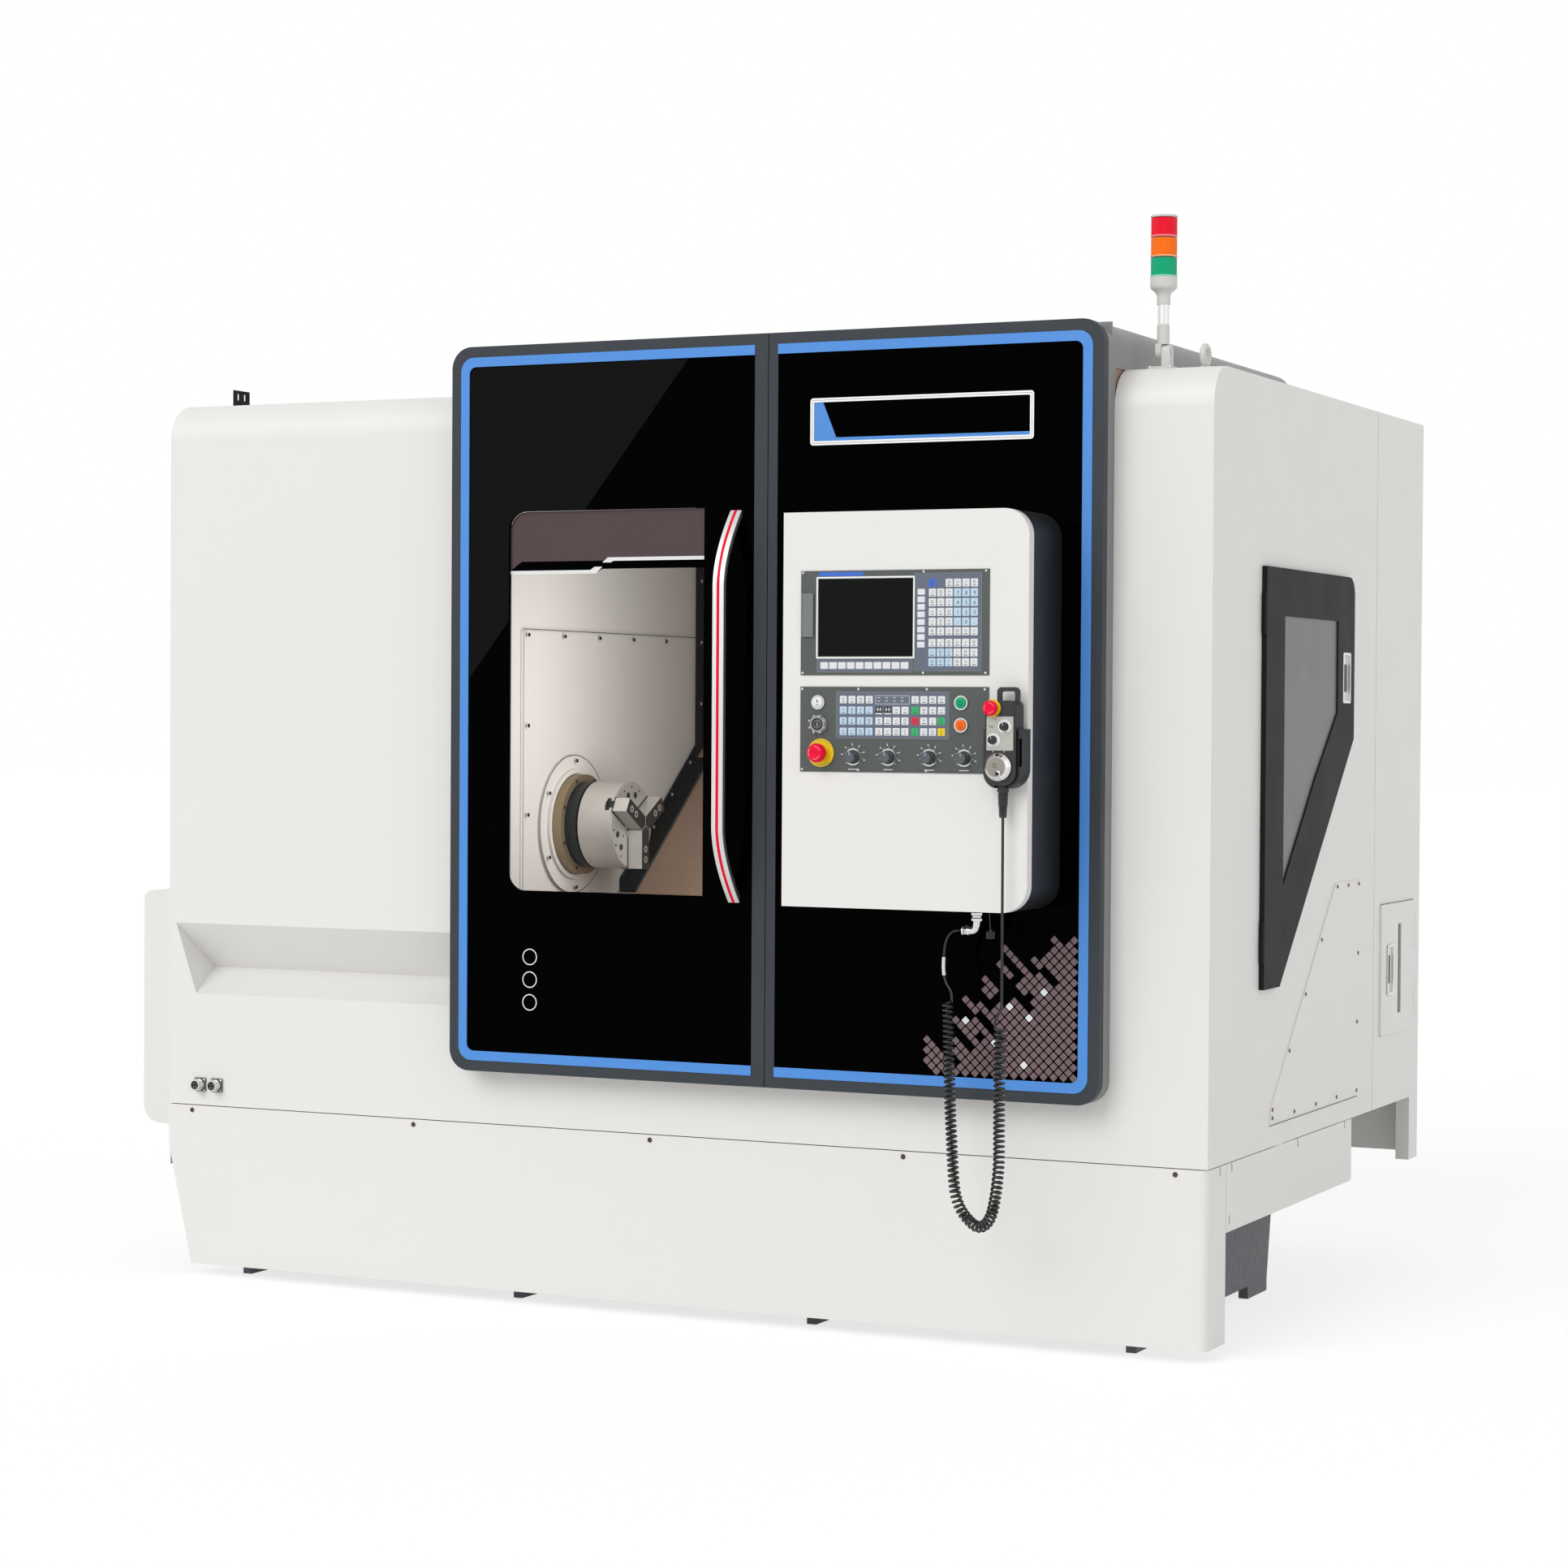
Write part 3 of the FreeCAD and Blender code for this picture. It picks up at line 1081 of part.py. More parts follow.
BUTTONS = {"white_button": (S.button_left, S.button_upper), "key_switch": (S.button_left, S.button_lower),
           "green_button": (S.button_right, S.button_upper), "orange_button": (S.button_right, S.button_lower)}
KNOB_PLACES = (S.knob_1_x, S.knob_2_x, S.knob_3_x, S.knob_4_x)


def face_holes():
    """holes through the machine panel, one for each button and stem"""
    holes = [ring(x, z, S.button_radius + S.press_fit_gap) for x, z in BUTTONS.values()]
    holes += [ring(x, S.knob_z, S.stem_radius + S.running_fit) for x in KNOB_PLACES]
    holes.append(ring(S.stop_x, S.stop_z, S.button_radius + S.press_fit_gap))
    return holes


def control_face():
    p = Piece("control_face")
    front, back = -S.box_face, -S.box_face + S.box_flange
    p.pad("XZ", front, back, box_outline())
    p.cut("XZ", front + S.box_skin, back + 1, box_outline(S.box_skin))
    edge = S.panel_cutout_edge
    p.cut("XZ", front - 1, front + S.box_skin + 1,
          rect(S.panel_left + edge, S.panel_right - edge, S.machine_low + edge, S.machine_high - edge))


def panel_plates():
    p = Piece("panel_plates")
    back = -S.box_face
    front = back - S.panel_plate
    p.pad("XZ", front, back, rect(S.panel_left, S.panel_right, S.display_low, S.display_high))
    p.cut("XZ", front - 1, back + 1, rect(S.screen_left, S.screen_right, S.screen_low, S.screen_high))
    p.pad("XZ", front, back, rect(S.panel_left, S.panel_right, S.machine_low, S.machine_high))
    rings = [ring(x, z, S.button_bezel) for x, z in BUTTONS.values()]
    rings += [ring(x, S.knob_z, S.knob_ring) for x in KNOB_PLACES]
    p.pad("XZ", front - S.bezel_proud, front, *rings[:4])
    p.pad("XZ", front - 1, front, *rings[4:])
    p.pad("XZ", front - 3, front, ring(S.stop_x, S.stop_z, S.stop_ring))
    p.cut("XZ", front - S.bezel_proud - 1, back + 1, *face_holes())


def display_screen():
    p = Piece("display_screen")
    p.pad("XZ", -S.box_face - S.panel_plate + 0.4, -S.box_face,
          rect(S.screen_left, S.screen_right, S.screen_low, S.screen_high))


def membrane_keys():
    p = Piece("membrane_keys")
    back = -S.box_face - S.panel_plate
    front = back - S.key_proud

    def block(left, low, wide, high, columns, rows, step_x, step_z):
        key = p.pad("XZ", front, back, rect(left, left + wide, low, low + high))
        p.repeat([key], ("X", step_x, columns), ("Z", step_z, rows))

    for low, rows in ((S.grid_high_low, 6), (S.grid_low_low, 3)):
        block(S.grid_left, low, S.key_wide, S.key_high, 6, rows, S.key_step_x, S.key_step_z)
    wide, high = S.small_key_wide, S.small_key_high
    column = p.pad("XZ", front, back, rect(S.column_left, S.column_left + wide, S.column_low, S.column_low + high))
    p.repeat([column], ("Z", S.column_step, 8))
    soft = p.pad("XZ", front, back, rect(S.soft_left, S.soft_left + wide, S.soft_low, S.soft_low + high))
    p.repeat([soft], ("X", S.soft_step, 10))
    for left in (S.pad_1_left, S.pad_2_left, S.pad_3_left):
        block(left, S.pad_low, S.pad_key_wide, S.pad_key_high, 4, 3, S.pad_step_x, S.pad_step_z)


def push_button(name, place, cap_high):
    p = Piece(name, at=(place[0], -S.box_face - S.panel_plate, place[1]), turn=FRONT)
    radius = S.button_radius
    p.revolve([(0, -S.button_stem), (radius, -S.button_stem), (radius, S.bezel_proud + cap_high),
               (0, S.bezel_proud + cap_high)])
    return p


def key_switch():
    p = push_button("key_switch", BUTTONS["key_switch"], S.button_proud)
    top = S.bezel_proud + S.button_proud
    half, bow = S.key_thick / 2, S.key_bow / 2
    p.pad("XY", top, top + S.key_reach, rect(-half, half, -bow, bow))


def estop_button():
    p = Piece("estop_button", at=(S.stop_x, -S.box_face - S.panel_plate, S.stop_z), turn=FRONT)
    stem, cap = S.button_radius, S.stop_radius
    low, high, dome = S.stop_gap + 3, S.stop_high, S.stop_dome
    p.revolve([(0, -S.button_stem), (stem, -S.button_stem), (stem, low), (cap, low), (cap, high - dome),
               (cap - dome, high), (0, high)])


def knob(name, x):
    p = Piece(name, at=(x, -S.box_face - S.panel_plate, S.knob_z), turn=FRONT)
    start = 1 + S.knob_gap
    skirt, end = start + S.knob_skirt, start + S.knob_high
    p.pad("XY", -S.stem_long, start, ring(0, 0, S.stem_radius))
    p.pad("XY", start, skirt, ring(0, 0, S.knob_radius))
    p.pad("XY", skirt, end, octagon(0, 0, S.knob_radius - 2.5))


def usb_cover():
    p = Piece("usb_cover")
    plate = -S.box_face - S.panel_plate
    front = plate - S.usb_thick
    barrel = S.usb_hinge
    p.pad("XZ", front, plate - S.slide_gap, rect(S.usb_left + barrel * 2, S.usb_right, S.usb_low, S.usb_high))
    p.pad("XY", S.usb_low, S.usb_high, ring(S.usb_left + barrel, plate - S.slide_gap - barrel, barrel))
    p.pad("XZ", plate - S.slide_gap - barrel - 0.8, plate - S.slide_gap - barrel + 0.8,
          rect(S.usb_left + barrel, S.usb_left + barrel * 2 + 1, S.usb_low, S.usb_high))


UNIT_KNOBS = {"axis_knob": (S.axis_knob_x, S.axis_knob_z), "step_knob": (S.step_knob_x, S.step_knob_z)}
UNIT_STOP = (S.unit_stop_x, S.unit_stop_z)


def unit_holes():
    holes = [ring(x, z, S.stem_radius + S.running_fit) for x, z in UNIT_KNOBS.values()]
    holes.append(ring(S.wheel_x, S.wheel_z, S.stem_radius + S.running_fit))
    holes.append(ring(UNIT_STOP[0], UNIT_STOP[1], S.stem_radius * 2 + S.press_fit_gap))
    return holes


def pendant_body():
    p = Piece("pendant_body")
    front, back = -S.unit_front, -S.unit_back
    p.pad("XZ", front, back,
          [(S.unit_left, S.unit_low, S.unit_foot), (S.unit_right, S.unit_low, S.unit_foot),
           (S.unit_right, S.unit_high, S.unit_round), (S.unit_left, S.unit_high, S.unit_round)])
    bar = S.loop_bar
    middle = (front + back) / 2
    p.pad("XZ", middle - bar / 2, middle + bar / 2,
          [(S.loop_left, S.unit_high - 12), (S.loop_left + bar, S.unit_high - 12),
           (S.loop_left + bar, S.loop_top - bar, 4), (S.unit_right - bar, S.loop_top - bar, 4),
           (S.unit_right - bar, S.unit_high - 30), (S.unit_right, S.unit_high - 30),
           (S.unit_right, S.loop_top, 10), (S.loop_left, S.loop_top, 10)])
    # face plate and strain relief
    plate = S.unit_plate_thick
    p.pad("XZ", front - plate, front,
          rect(S.unit_plate_left, S.unit_plate_right, S.unit_plate_low, S.unit_plate_high, 3))
    p.cut("XZ", front - plate - 1, front + 24, *unit_holes())
    for low, high, extra in ((S.unit_low - 14, S.unit_low, 3), (S.unit_low - 42, S.unit_low - 14, 1),
                             (S.gland_low, S.unit_low - 42, -1)):
        p.pad("XY", low, high, octagon(S.gland_x, -S.gland_y, S.gland_radius + extra))


def unit_knob(name, place):
    p = Piece(name, at=(place[0], -S.unit_front - S.unit_plate_thick, place[1]), turn=FRONT)
    start = S.knob_gap
    p.pad("XY", -S.stem_long, start, ring(0, 0, S.stem_radius))
    p.pad("XY", start, start + S.unit_knob_high, octagon(0, 0, S.unit_knob_radius))


def pendant_estop():
    p = Piece("pendant_estop", at=(UNIT_STOP[0], -S.unit_front, UNIT_STOP[1]), turn=FRONT)
    stem = S.stem_radius * 2
    r = S.unit_stop_radius
    p.revolve([(0, -S.stem_long), (stem, -S.stem_long), (stem, 8), (r, 8), (r, 20), (0, 20)])


def pendant_wheel():
    p = Piece("pendant_wheel", at=(S.wheel_x, -S.unit_front - S.unit_plate_thick * 2, S.wheel_z), turn=FRONT)
    start, r = S.knob_gap, S.wheel_radius
    top = start + S.wheel_high
    p.revolve([(0, -S.stem_long), (S.stem_radius, -S.stem_long), (S.stem_radius, start), (r, start),
               (r, top), (r - 7, top), (r - 7, top - 5), (0, top - 5)])
    p.pad("XY", top - 6, top + 9, octagon(r * 0.1, -r * 0.55, S.crank_radius))


def pendant_holder():
    p = Piece("pendant_holder")
    front, back = -S.holder_front, -S.box_face
    wall, gap = S.holder_wall, S.holder_gap
    left, right = S.unit_left - gap, S.unit_right + gap
    low = S.unit_low - 0.2
    arm = right + S.holder_arm
    p.pad("XZ", front, back,
          [(left - wall, low - wall, S.unit_foot + wall), (arm, low - wall, S.unit_foot + S.holder_arm),
           (arm, S.holder_high), (left - wall, S.holder_high)])
    p.cut("XZ", front - 1, -S.unit_back + 0.2,
          [(left, low, S.unit_foot + 0.5), (right, low, S.unit_foot + 0.5), (right, S.holder_high + 1),
           (left, S.holder_high + 1)])
    slot_half = S.holder_slot
    p.cut("XZ", front - 1, -S.gland_y + slot_half,
          rect(S.gland_x - slot_half, S.gland_x + slot_half, low - wall - 1, low + 1))
    p.cut("XZ", front - 1, back + 1, rect(right + 3, right + 9, low + 40, S.holder_high - 20))


def side_door():
    p = Piece("side_door")
    gap, out = S.side_gap, S.side_proud
    p.pad("YZ", W + gap, W + out, side_door_outline(Size(0)))
    p.cut("YZ", W + gap - 1, W + out - S.pane_rim / 2, side_window_outline(-S.pane_rim))
    p.cut("YZ", W, W + out + 1, side_window_outline(Size(0)))
    p.cut("YZ", W + gap + 3, W + out + 1, rect(S.pull_front, S.pull_back, S.pull_low, S.pull_high, 6))
    hinge(p, W + out - S.hinge_radius, S.side_front, S.side_low + 60, S.side_high - 60)


def hinge(p, x, y, low, high, side=-1):
    """two barrels along a vertical edge, joined to the leaf they carry"""
    r = S.hinge_radius
    reach = r * side
    for start in (low, high - S.hinge_long):
        p.pad("XY", start, start + S.hinge_long, ring(x, y + reach, r))
        a, b = (y + reach, y + 2) if side < 0 else (y - 2, y + reach)
        p.pad("XY", start, start + S.hinge_long, rect(x - 2, x + 2, a, b))


def side_window_outline(inset):
    return [(S.pane_front + inset, S.pane_high - inset), (S.pane_back - inset, S.pane_high - inset),
            (S.pane_back - inset, S.pane_slope_high + inset * 0.4),
            (S.pane_knee_y - inset * 0.6, S.pane_knee_z + inset), (S.pane_front + inset, S.pane_low + inset * 2)]


def side_window():
    p = Piece("side_window")
    out = S.side_proud
    p.pad("YZ", W + out - S.pane_rim, W + out - S.pane_rim / 2, side_window_outline(-S.pane_rim))


def hatch_door():
    p = Piece("hatch_door")
    gap = S.side_gap
    outer = W + S.hatch_thick
    p.pad("YZ", W + gap, outer, rect(S.hatch_front, S.hatch_back, S.hatch_low, S.hatch_high, 4))
    p.cut("YZ", W, outer + 1,
          rect(S.hatch_slot_front, S.hatch_slot_back, S.hatch_slot_low, S.hatch_slot_high))
    p.cut("YZ", W + gap + 2, outer + 1,
          rect(S.hatch_pull_front, S.hatch_pull_back, S.hatch_pull_low, S.hatch_pull_high))
    hinge(p, W + S.side_gap + S.hinge_radius, S.hatch_back, S.hatch_low + 30, S.hatch_high - 30, side=1)


def side_plate():
    p = Piece("side_plate")
    p.pad("YZ", W, W + T, [(S.plate_slope_back, S.plate_top), (S.plate_front, S.plate_slope_low),
                           (S.plate_front, S.plate_bottom), (S.plate_back, S.plate_bottom), (S.plate_back, S.plate_top)])


SIDE_PLATE_SCREWS = ((936, 975.5), (1027, 975), (1116, 975), (812, 857), (687, 739), (564.5, 619.6), (441, 498),
                     (441, 479), (606, 478), (774, 478), (943, 478), (1111, 478), (1110, 643.5), (1114, 809))


def panel_screws():
    p = Piece("panel_screws")
    step = (W - S.skirt_screw_left - S.skirt_screw_right) / 4
    p.pad("XZ", -2, 0, *[octagon(S.skirt_screw_left + step * k, S.skirt_screw_z, 6) for k in range(5)])
    p.pad("YZ", W + T, W + T + 2, *[octagon(Size(y), Size(z), 5) for y, z in SIDE_PLATE_SCREWS])


def side_cover():
    p = Piece("side_cover")
    low, high, reach = S.cover_low, S.cover_high, S.cover_reach
    outline = [(-reach, low + 12, S.cover_round_low), (0, low), (0, high), (-reach, high, S.cover_round_high)]
    inner = [(-reach + T, low + 12 + T, S.cover_round_low - T), (1, low + T), (1, high - T),
             (-reach + T, high - T, S.cover_round_high - T)]
    p.pad("XZ", S.cover_front, S.cover_back, outline)
    p.cut("XZ", S.cover_front + T, S.cover_back - T, inner)


def cable_fittings():
    p = Piece("cable_fittings")
    for x in (S.socket_x, S.socket_x + S.socket_step):
        z, half = S.socket_z, 16.5
        p.pad("XZ", -4, 0, rect(x - half, x + half, z - half, z + half, 3))
        p.pad("XZ", -14, -4, octagon(x, z, 12.5))
        p.pad("XZ", -30, -14, ring(x, z, 11.5))
        p.cut("XZ", -31, -16, octagon(x, z, 9))
    # elbow gland under the control box
    x, y, top = S.elbow_x, -S.elbow_y, S.box_low
    axis = top - 45
    p.pad("XY", top - 30, top, octagon(x, y, 17))
    p.pad("XY", axis - 12, top - 30, octagon(x, y, 12))
    p.pad("YZ", x - 24, x + 12, octagon(y, axis, 12))
    p.pad("YZ", x - 39, x - 15, octagon(y, axis, 14.5))
    # sealing cap hanging beside it
    p.pad("XY", top - 63, top - 43, octagon(S.cap_x, -S.cap_y, 13))
    p.pad("XY", top - 43, top, octagon(S.cap_x, -S.cap_y, 1.5))


def roof_fittings():
    p = Piece("roof_fittings")
    top = S.white_top
    x, y = W - S.tower_in, S.tower_y
    p.pad("XY", top, top + 6, rect(x - 28, x + 28, y - 28, y + 28, 6))
    for sign in (-1, 1):
        a, b = sorted((sign * 14, sign * 20))
        p.pad("YZ", x + a, x + b,
              [(y - 14, top + 6), (y + 14, top + 6), (y + 14, S.tower_hinge + 14, 13), (y - 14, S.tower_hinge + 14, 13)])
    # lifting eye
    x, y, half = W - S.eye_in, S.eye_y, S.eye_thick / 2
    p.pad("XY", top, top + 8, ring(x, y, S.eye_hole + 2))
    p.pad("XZ", y - half, y + half, ring(x, top + S.eye_up, S.eye_radius))
    p.cut("XZ", y - half - 1, y + half + 1, ring(x, top + S.eye_up + 2, S.eye_hole))
    # slotted bracket on the left
    left, right = S.bracket_left, S.bracket_left + S.bracket_thick
    a, b, high = S.bracket_front, S.bracket_back, top + S.bracket_high
    p.pad("YZ", left, right, rect(a, b, top, high, 4))
    p.cut("YZ", left - 1, right + 1, rect(a + 14, a + 24, top + 12, high - 8), rect(b - 24, b - 14, top + 12, high - 8))
    p.pad("XY", top, top + T, rect(right, right + 21, a, b))


def tower_light():
    p = Piece("tower_light", at=(W - S.tower_in, S.tower_y, 0))
    hinge_z = S.tower_hinge
    pole, r = S.tower_pole, S.tower_radius
    p.pad("YZ", -14 + S.slide_gap, 14 - S.slide_gap, ring(0, hinge_z, 13))
    p.pad("XY", hinge_z, hinge_z + 22, ring(0, 0, pole + 2))
    p.revolve([(0, hinge_z + 20), (pole, hinge_z + 20), (pole, S.tower_base - 50), (pole + 4, S.tower_base - 50),
               (r, S.tower_base), (r, S.lens_low), (0, S.lens_low)])
    core = S.lens_low + S.lens_step * 3
    p.pad("XY", S.lens_low, core - 5, octagon(0, 0, r - 8))
    p.pad("XY", core - 5, S.tower_top, ring(0, 0, r))


def tower_lenses():
    p = Piece("tower_lenses", at=(W - S.tower_in, S.tower_y, 0))
    lens = p.pad("XY", S.lens_low, S.lens_low + S.lens_high, ring(0, 0, S.tower_radius - 1))
    p.repeat([lens], ("Z", S.lens_step, 3))
    p.cut("XY", S.lens_low - 1, S.lens_low + S.lens_step * 3, octagon(0, 0, S.tower_radius - 8 + 0.3))


# Route of the cable in the machine's frame: straight under the handwheel unit, then curls along a hanging
# middle line, then a plain stretch up to the elbow gland.
STRAIGHT_ROUTE = [(2302.5, -285, 1160), (2303, -285, 760), (2288.8, -285, 740), (2288.8, -285, 728)]
CURL_ROUTE = [(2298.8, -285, 722), (2299.2, -285, 572), (2298.4, -284, 500), (2298.2, -280, 433),
              (2286.3, -270, 362.5), (2269.5, -255, 313.5), (2234.5, -235, 289), (2191.5, -215, 314.4),
              (2170.7, -205, 344), (2161.4, -198, 380), (2153.8, -190, 447.7), (2145, -183, 554),
              (2140.5, -178, 641.6), (2133, -172, 762)]
TAIL_ROUTE = [(2157, -162, 915), (2139, -162, 915), (2124, -162.5, 893), (2120.5, -163, 860),
              (2120.3, -166, 828), (2127, -169, 803), (2143, -172, 784), (2143, -172, 768)]
DOWN, UP = V(0, 0, -1), V(0, 0, 1)


def rounded_route(points):
    """edges of straight runs with an arc at every corner, and the radii of those arcs"""
    spots = [V(*p) for p in points]
    edges, radii, here = [], [], spots[0]
    for before, corner, after in zip(spots, spots[1:], spots[2:]):
        into, out = corner - before, after - corner
        half = into.getAngle(out) / 2
        reach = 0.45 * min(into.Length, out.Length)
        radius = reach / math.tan(half)
        into.normalize()
        out.normalize()
        start, end = corner - into * reach, corner + out * reach
        inwards = (out - into).normalize()
        middle = corner + inwards * (radius / math.cos(half) - radius)
        edges += [Part.LineSegment(here, start).toShape(), Part.Arc(start, middle, end).toShape()]
        radii.append(radius)
        here = end
    edges.append(Part.LineSegment(here, spots[-1]).toShape())
    return edges, radii


def arc_from(point, direction, goal):
    """arc that leaves a point in a direction and ends at a goal"""
    chord = goal - point
    normal = direction.cross(chord).cross(direction)
    if normal.Length < 1e-9:
        return Part.LineSegment(point, goal)
    normal.normalize()
    radius = chord.dot(chord) / (2 * chord.dot(normal))
    centre = point + normal * radius
    half = (point - centre) + (goal - centre)
    return Part.Arc(point, centre + half.normalize() * radius, goal)


def biarc(first, leaving, last, arriving):
    """two arcs with one tangent where they meet, between two points with directions"""
    chord, both = last - first, leaving + arriving
    along = chord.dot(both)
    spread = 2 * (1 - leaving.dot(arriving))
    reach = (-along + math.sqrt(along * along + spread * chord.dot(chord))) / spread
    near, far = first + leaving * reach, last - arriving * reach
    joint = (near + far) * 0.5
    return [arc_from(first, leaving, joint), arc_from(joint, (far - near).normalize(), last)]


def curled_route():
    """edges of the curls: quarter turns round the hanging middle line, each a pair of arcs"""
    line = Part.BSplineCurve()
    line.interpolate(Points=[V(*p) for p in CURL_ROUTE], InitialTangent=DOWN, FinalTangent=UP)
    length, radius, curls = line.length(), S.coil_radius.value, int(S.curls.value)

    def place(share):
        spot = line.parameterAtDistance(length * share)
        ahead = line.tangent(spot)[0]
        out = (V(0, 1, 0) - ahead * ahead.y).normalize()
        angle = math.pi + 2 * math.pi * curls * share
        return line.value(spot) + (ahead.cross(out) * math.cos(angle) + out * math.sin(angle)) * radius

    count, step = curls * 4, 1e-4 / curls
    states = []
    for k in range(count + 1):
        share = k / count
        run = place(min(1, share + step)) - place(max(0, share - step))
        states.append((place(share), run.normalize()))
    states[0], states[-1] = (states[0][0], DOWN), (states[-1][0], UP)
    straight = S.cord_diameter.value
    edges = [Part.LineSegment(states[0][0] - DOWN * straight, states[0][0]).toShape()]
    for (first, leaving), (last, arriving) in zip(states, states[1:]):
        edges += [a.toShape() for a in biarc(first, leaving, last, arriving)]
    edges.append(Part.LineSegment(states[-1][0], states[-1][0] + UP * straight).toShape())
    radii = [e.Curve.Radius for e in edges if isinstance(e.Curve, Part.Circle)]
    # least gap between neighbouring curls, measured on points of the middle of the cable
    points = [place(k / (curls * 24)) for k in range(curls * 24 + 1)]
    gap = min(points[i].distanceToPoint(points[j]) for i in range(len(points))
              for j in range(i + 12, min(i + 60, len(points)))) - straight
    return edges, radii, gap


def cord(name, edges, radii):
    """round cable swept along the edges of its route"""
    radius = S.cord_diameter.value / 2
    wire = Part.Wire(edges)
    start = edges[0]
    ring = Part.Circle(start.valueAt(start.FirstParameter), start.tangentAt(start.FirstParameter), radius)
    shell = Part.BRepOffsetAPI.MakePipeShell(wire)
    shell.add(Part.Wire([ring.toShape()]))
    shell.build()
    shell.makeSolid()
    made = doc.addObject("Part::Feature", name)
    made.Label = name
    made.Shape = shell.shape()
    made.Placement = FreeCAD.Placement(V(*[-o.value for o in ORIGIN]), FreeCAD.Rotation())
    ideal = wire.Length * math.pi * radius * radius
    print("%s: length %.1f, tightest bend %.1f, volume %.1f of %.1f"
          % (name, wire.Length, min(radii), made.Shape.Volume, ideal))
    if not made.Shape.isValid() or abs(made.Shape.Volume / ideal - 1) > 0.01:
        raise ValueError("%s has not been made" % name)
    made.Shape.exportStep("parts/%s.step" % name)


def cords():
    cord("cord_straight", *rounded_route(STRAIGHT_ROUTE))
    edges, radii, gap = curled_route()
    print("least gap between curls %.2f" % gap)
    cord("cord_curl", edges, radii)
    cord("cord_tail", *rounded_route(TAIL_ROUTE))


def build():
    bed_casting()
    skirts()
    housing()
    rear_cabinet()
    centre_hood()
    headstock_guard()
    chamber_liner()
    headstock()
    guideways()
    spindle()
    for name, angle in (("jaw_low", 180), ("jaw_front", 60), ("jaw_back", 300)):
        jaw(name, angle)
    carriage()
    cross_slide()
    turret()
    door_frame()
    door_panel()
    door_window()
    door_trim()
    door_handle()
    handle_inlay()
    fixed_frame()
    fixed_panel()
    fixed_trim()
    name_plate()
    control_box()
    control_face()
    panel_plates()
    display_screen()
    membrane_keys()
    for name in ("white_button", "green_button", "orange_button"):
        push_button(name, BUTTONS[name], S.button_proud)
    key_switch()
    estop_button()
    for number, x in enumerate(KNOB_PLACES, start=1):
        knob("knob_%d" % number, x)
    usb_cover()
    pendant_body()
    for name, place in UNIT_KNOBS.items():
        unit_knob(name, place)
    pendant_estop()
    pendant_wheel()
    pendant_holder()
    side_door()
    side_window()
    hatch_door()
    side_plate()
    panel_screws()
    side_cover()
    cable_fittings()
    roof_fittings()
    tower_light()
    tower_lenses()


build()
doc.recompute()
cords()
for piece in PIECES:
    for feature in piece.body.Group:
        if "Invalid" in feature.State or "Error" in feature.State:
            raise ValueError("%s has not been made: %s" % (feature.Name, feature.State))
    shape = piece.body.Shape
    if shape.isNull() or not shape.isValid():
        raise ValueError("%s has no valid shape" % piece.name)
    shape.exportStep("parts/%s.step" % piece.name)
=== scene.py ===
import math
from functools import partial

import bmesh
import bpy
from mathutils import Matrix, Vector


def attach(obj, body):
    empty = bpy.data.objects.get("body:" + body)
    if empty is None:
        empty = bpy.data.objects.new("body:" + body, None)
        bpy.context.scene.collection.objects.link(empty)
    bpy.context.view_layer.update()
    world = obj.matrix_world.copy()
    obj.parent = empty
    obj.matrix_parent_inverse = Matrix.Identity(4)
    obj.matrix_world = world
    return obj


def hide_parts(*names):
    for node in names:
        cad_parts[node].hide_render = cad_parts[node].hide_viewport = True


bl_info = {
    "name": "Turning Lathe",
    "version": (1, 0, 0),
    "blender": (4, 5, 0),
    "location": "3D View > Sidebar > Lathe",
    "description": "Finishes, panels, cable and lamps of a CNC turning lathe",
    "category": "Add Mesh",
}

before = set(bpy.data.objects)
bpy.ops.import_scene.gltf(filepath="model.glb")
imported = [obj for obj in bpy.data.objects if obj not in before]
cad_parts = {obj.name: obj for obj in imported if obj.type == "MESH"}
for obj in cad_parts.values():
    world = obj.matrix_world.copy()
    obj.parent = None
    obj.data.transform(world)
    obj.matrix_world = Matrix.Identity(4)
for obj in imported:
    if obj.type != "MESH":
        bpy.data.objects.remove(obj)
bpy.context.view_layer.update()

# The machine's own millimetres: X right from the housing's left side, Y back from its white front plane,
# Z up from the floor.  The frame's origin lies in the middle of the floor area.
ORIGIN = Vector((1242.5, 675.0, 0.0))

# faces that look to the front, by their Y
FRONT_FRAME = -66.0
PANE_FRONT = -58.0
PANEL_FACE = -259.0
UNIT_FACE = -305.0

TOWARDS_FRONT = (0, -1, 0)
TO_THE_LEFT = (-1, 0, 0)
TO_THE_RIGHT = (1, 0, 0)
UP = (0, 0, 1)

# turns of screw heads, which look up when unturned
FACING_FRONT = (math.pi / 2, 0.0, 0.0)
FACING_RIGHT = (0.0, math.pi / 2, 0.0)
FACING_UP = (0.0, 0.0, 0.0)


def at(x, y, z):
    """a place in machine millimetres as a vector in the frame's metres"""
    return (Vector((x, y, z)) - ORIGIN) / 1000


# ------------ nodes


def feed(tree, socket, value):
    """sets a socket, or links it where the value is a socket itself"""
    if hasattr(value, "links"):
        tree.links.new(value, socket)
    else:
        socket.default_value = value


def add_node(tree, kind, inputs=None, **settings):
    """the outputs of a new node with its settings, and then its inputs, by name or number"""
    node = tree.nodes.new(kind)
    for label, value in settings.items():
        setattr(node, label, value)
    for label, value in (inputs or {}).items():
        feed(tree, node.inputs[label], value)
    return node.outputs


def math_node(tree, operation, *values):
    """the result of a Math node"""
    return add_node(tree, "ShaderNodeMath", dict(enumerate(values)), operation=operation)[0]


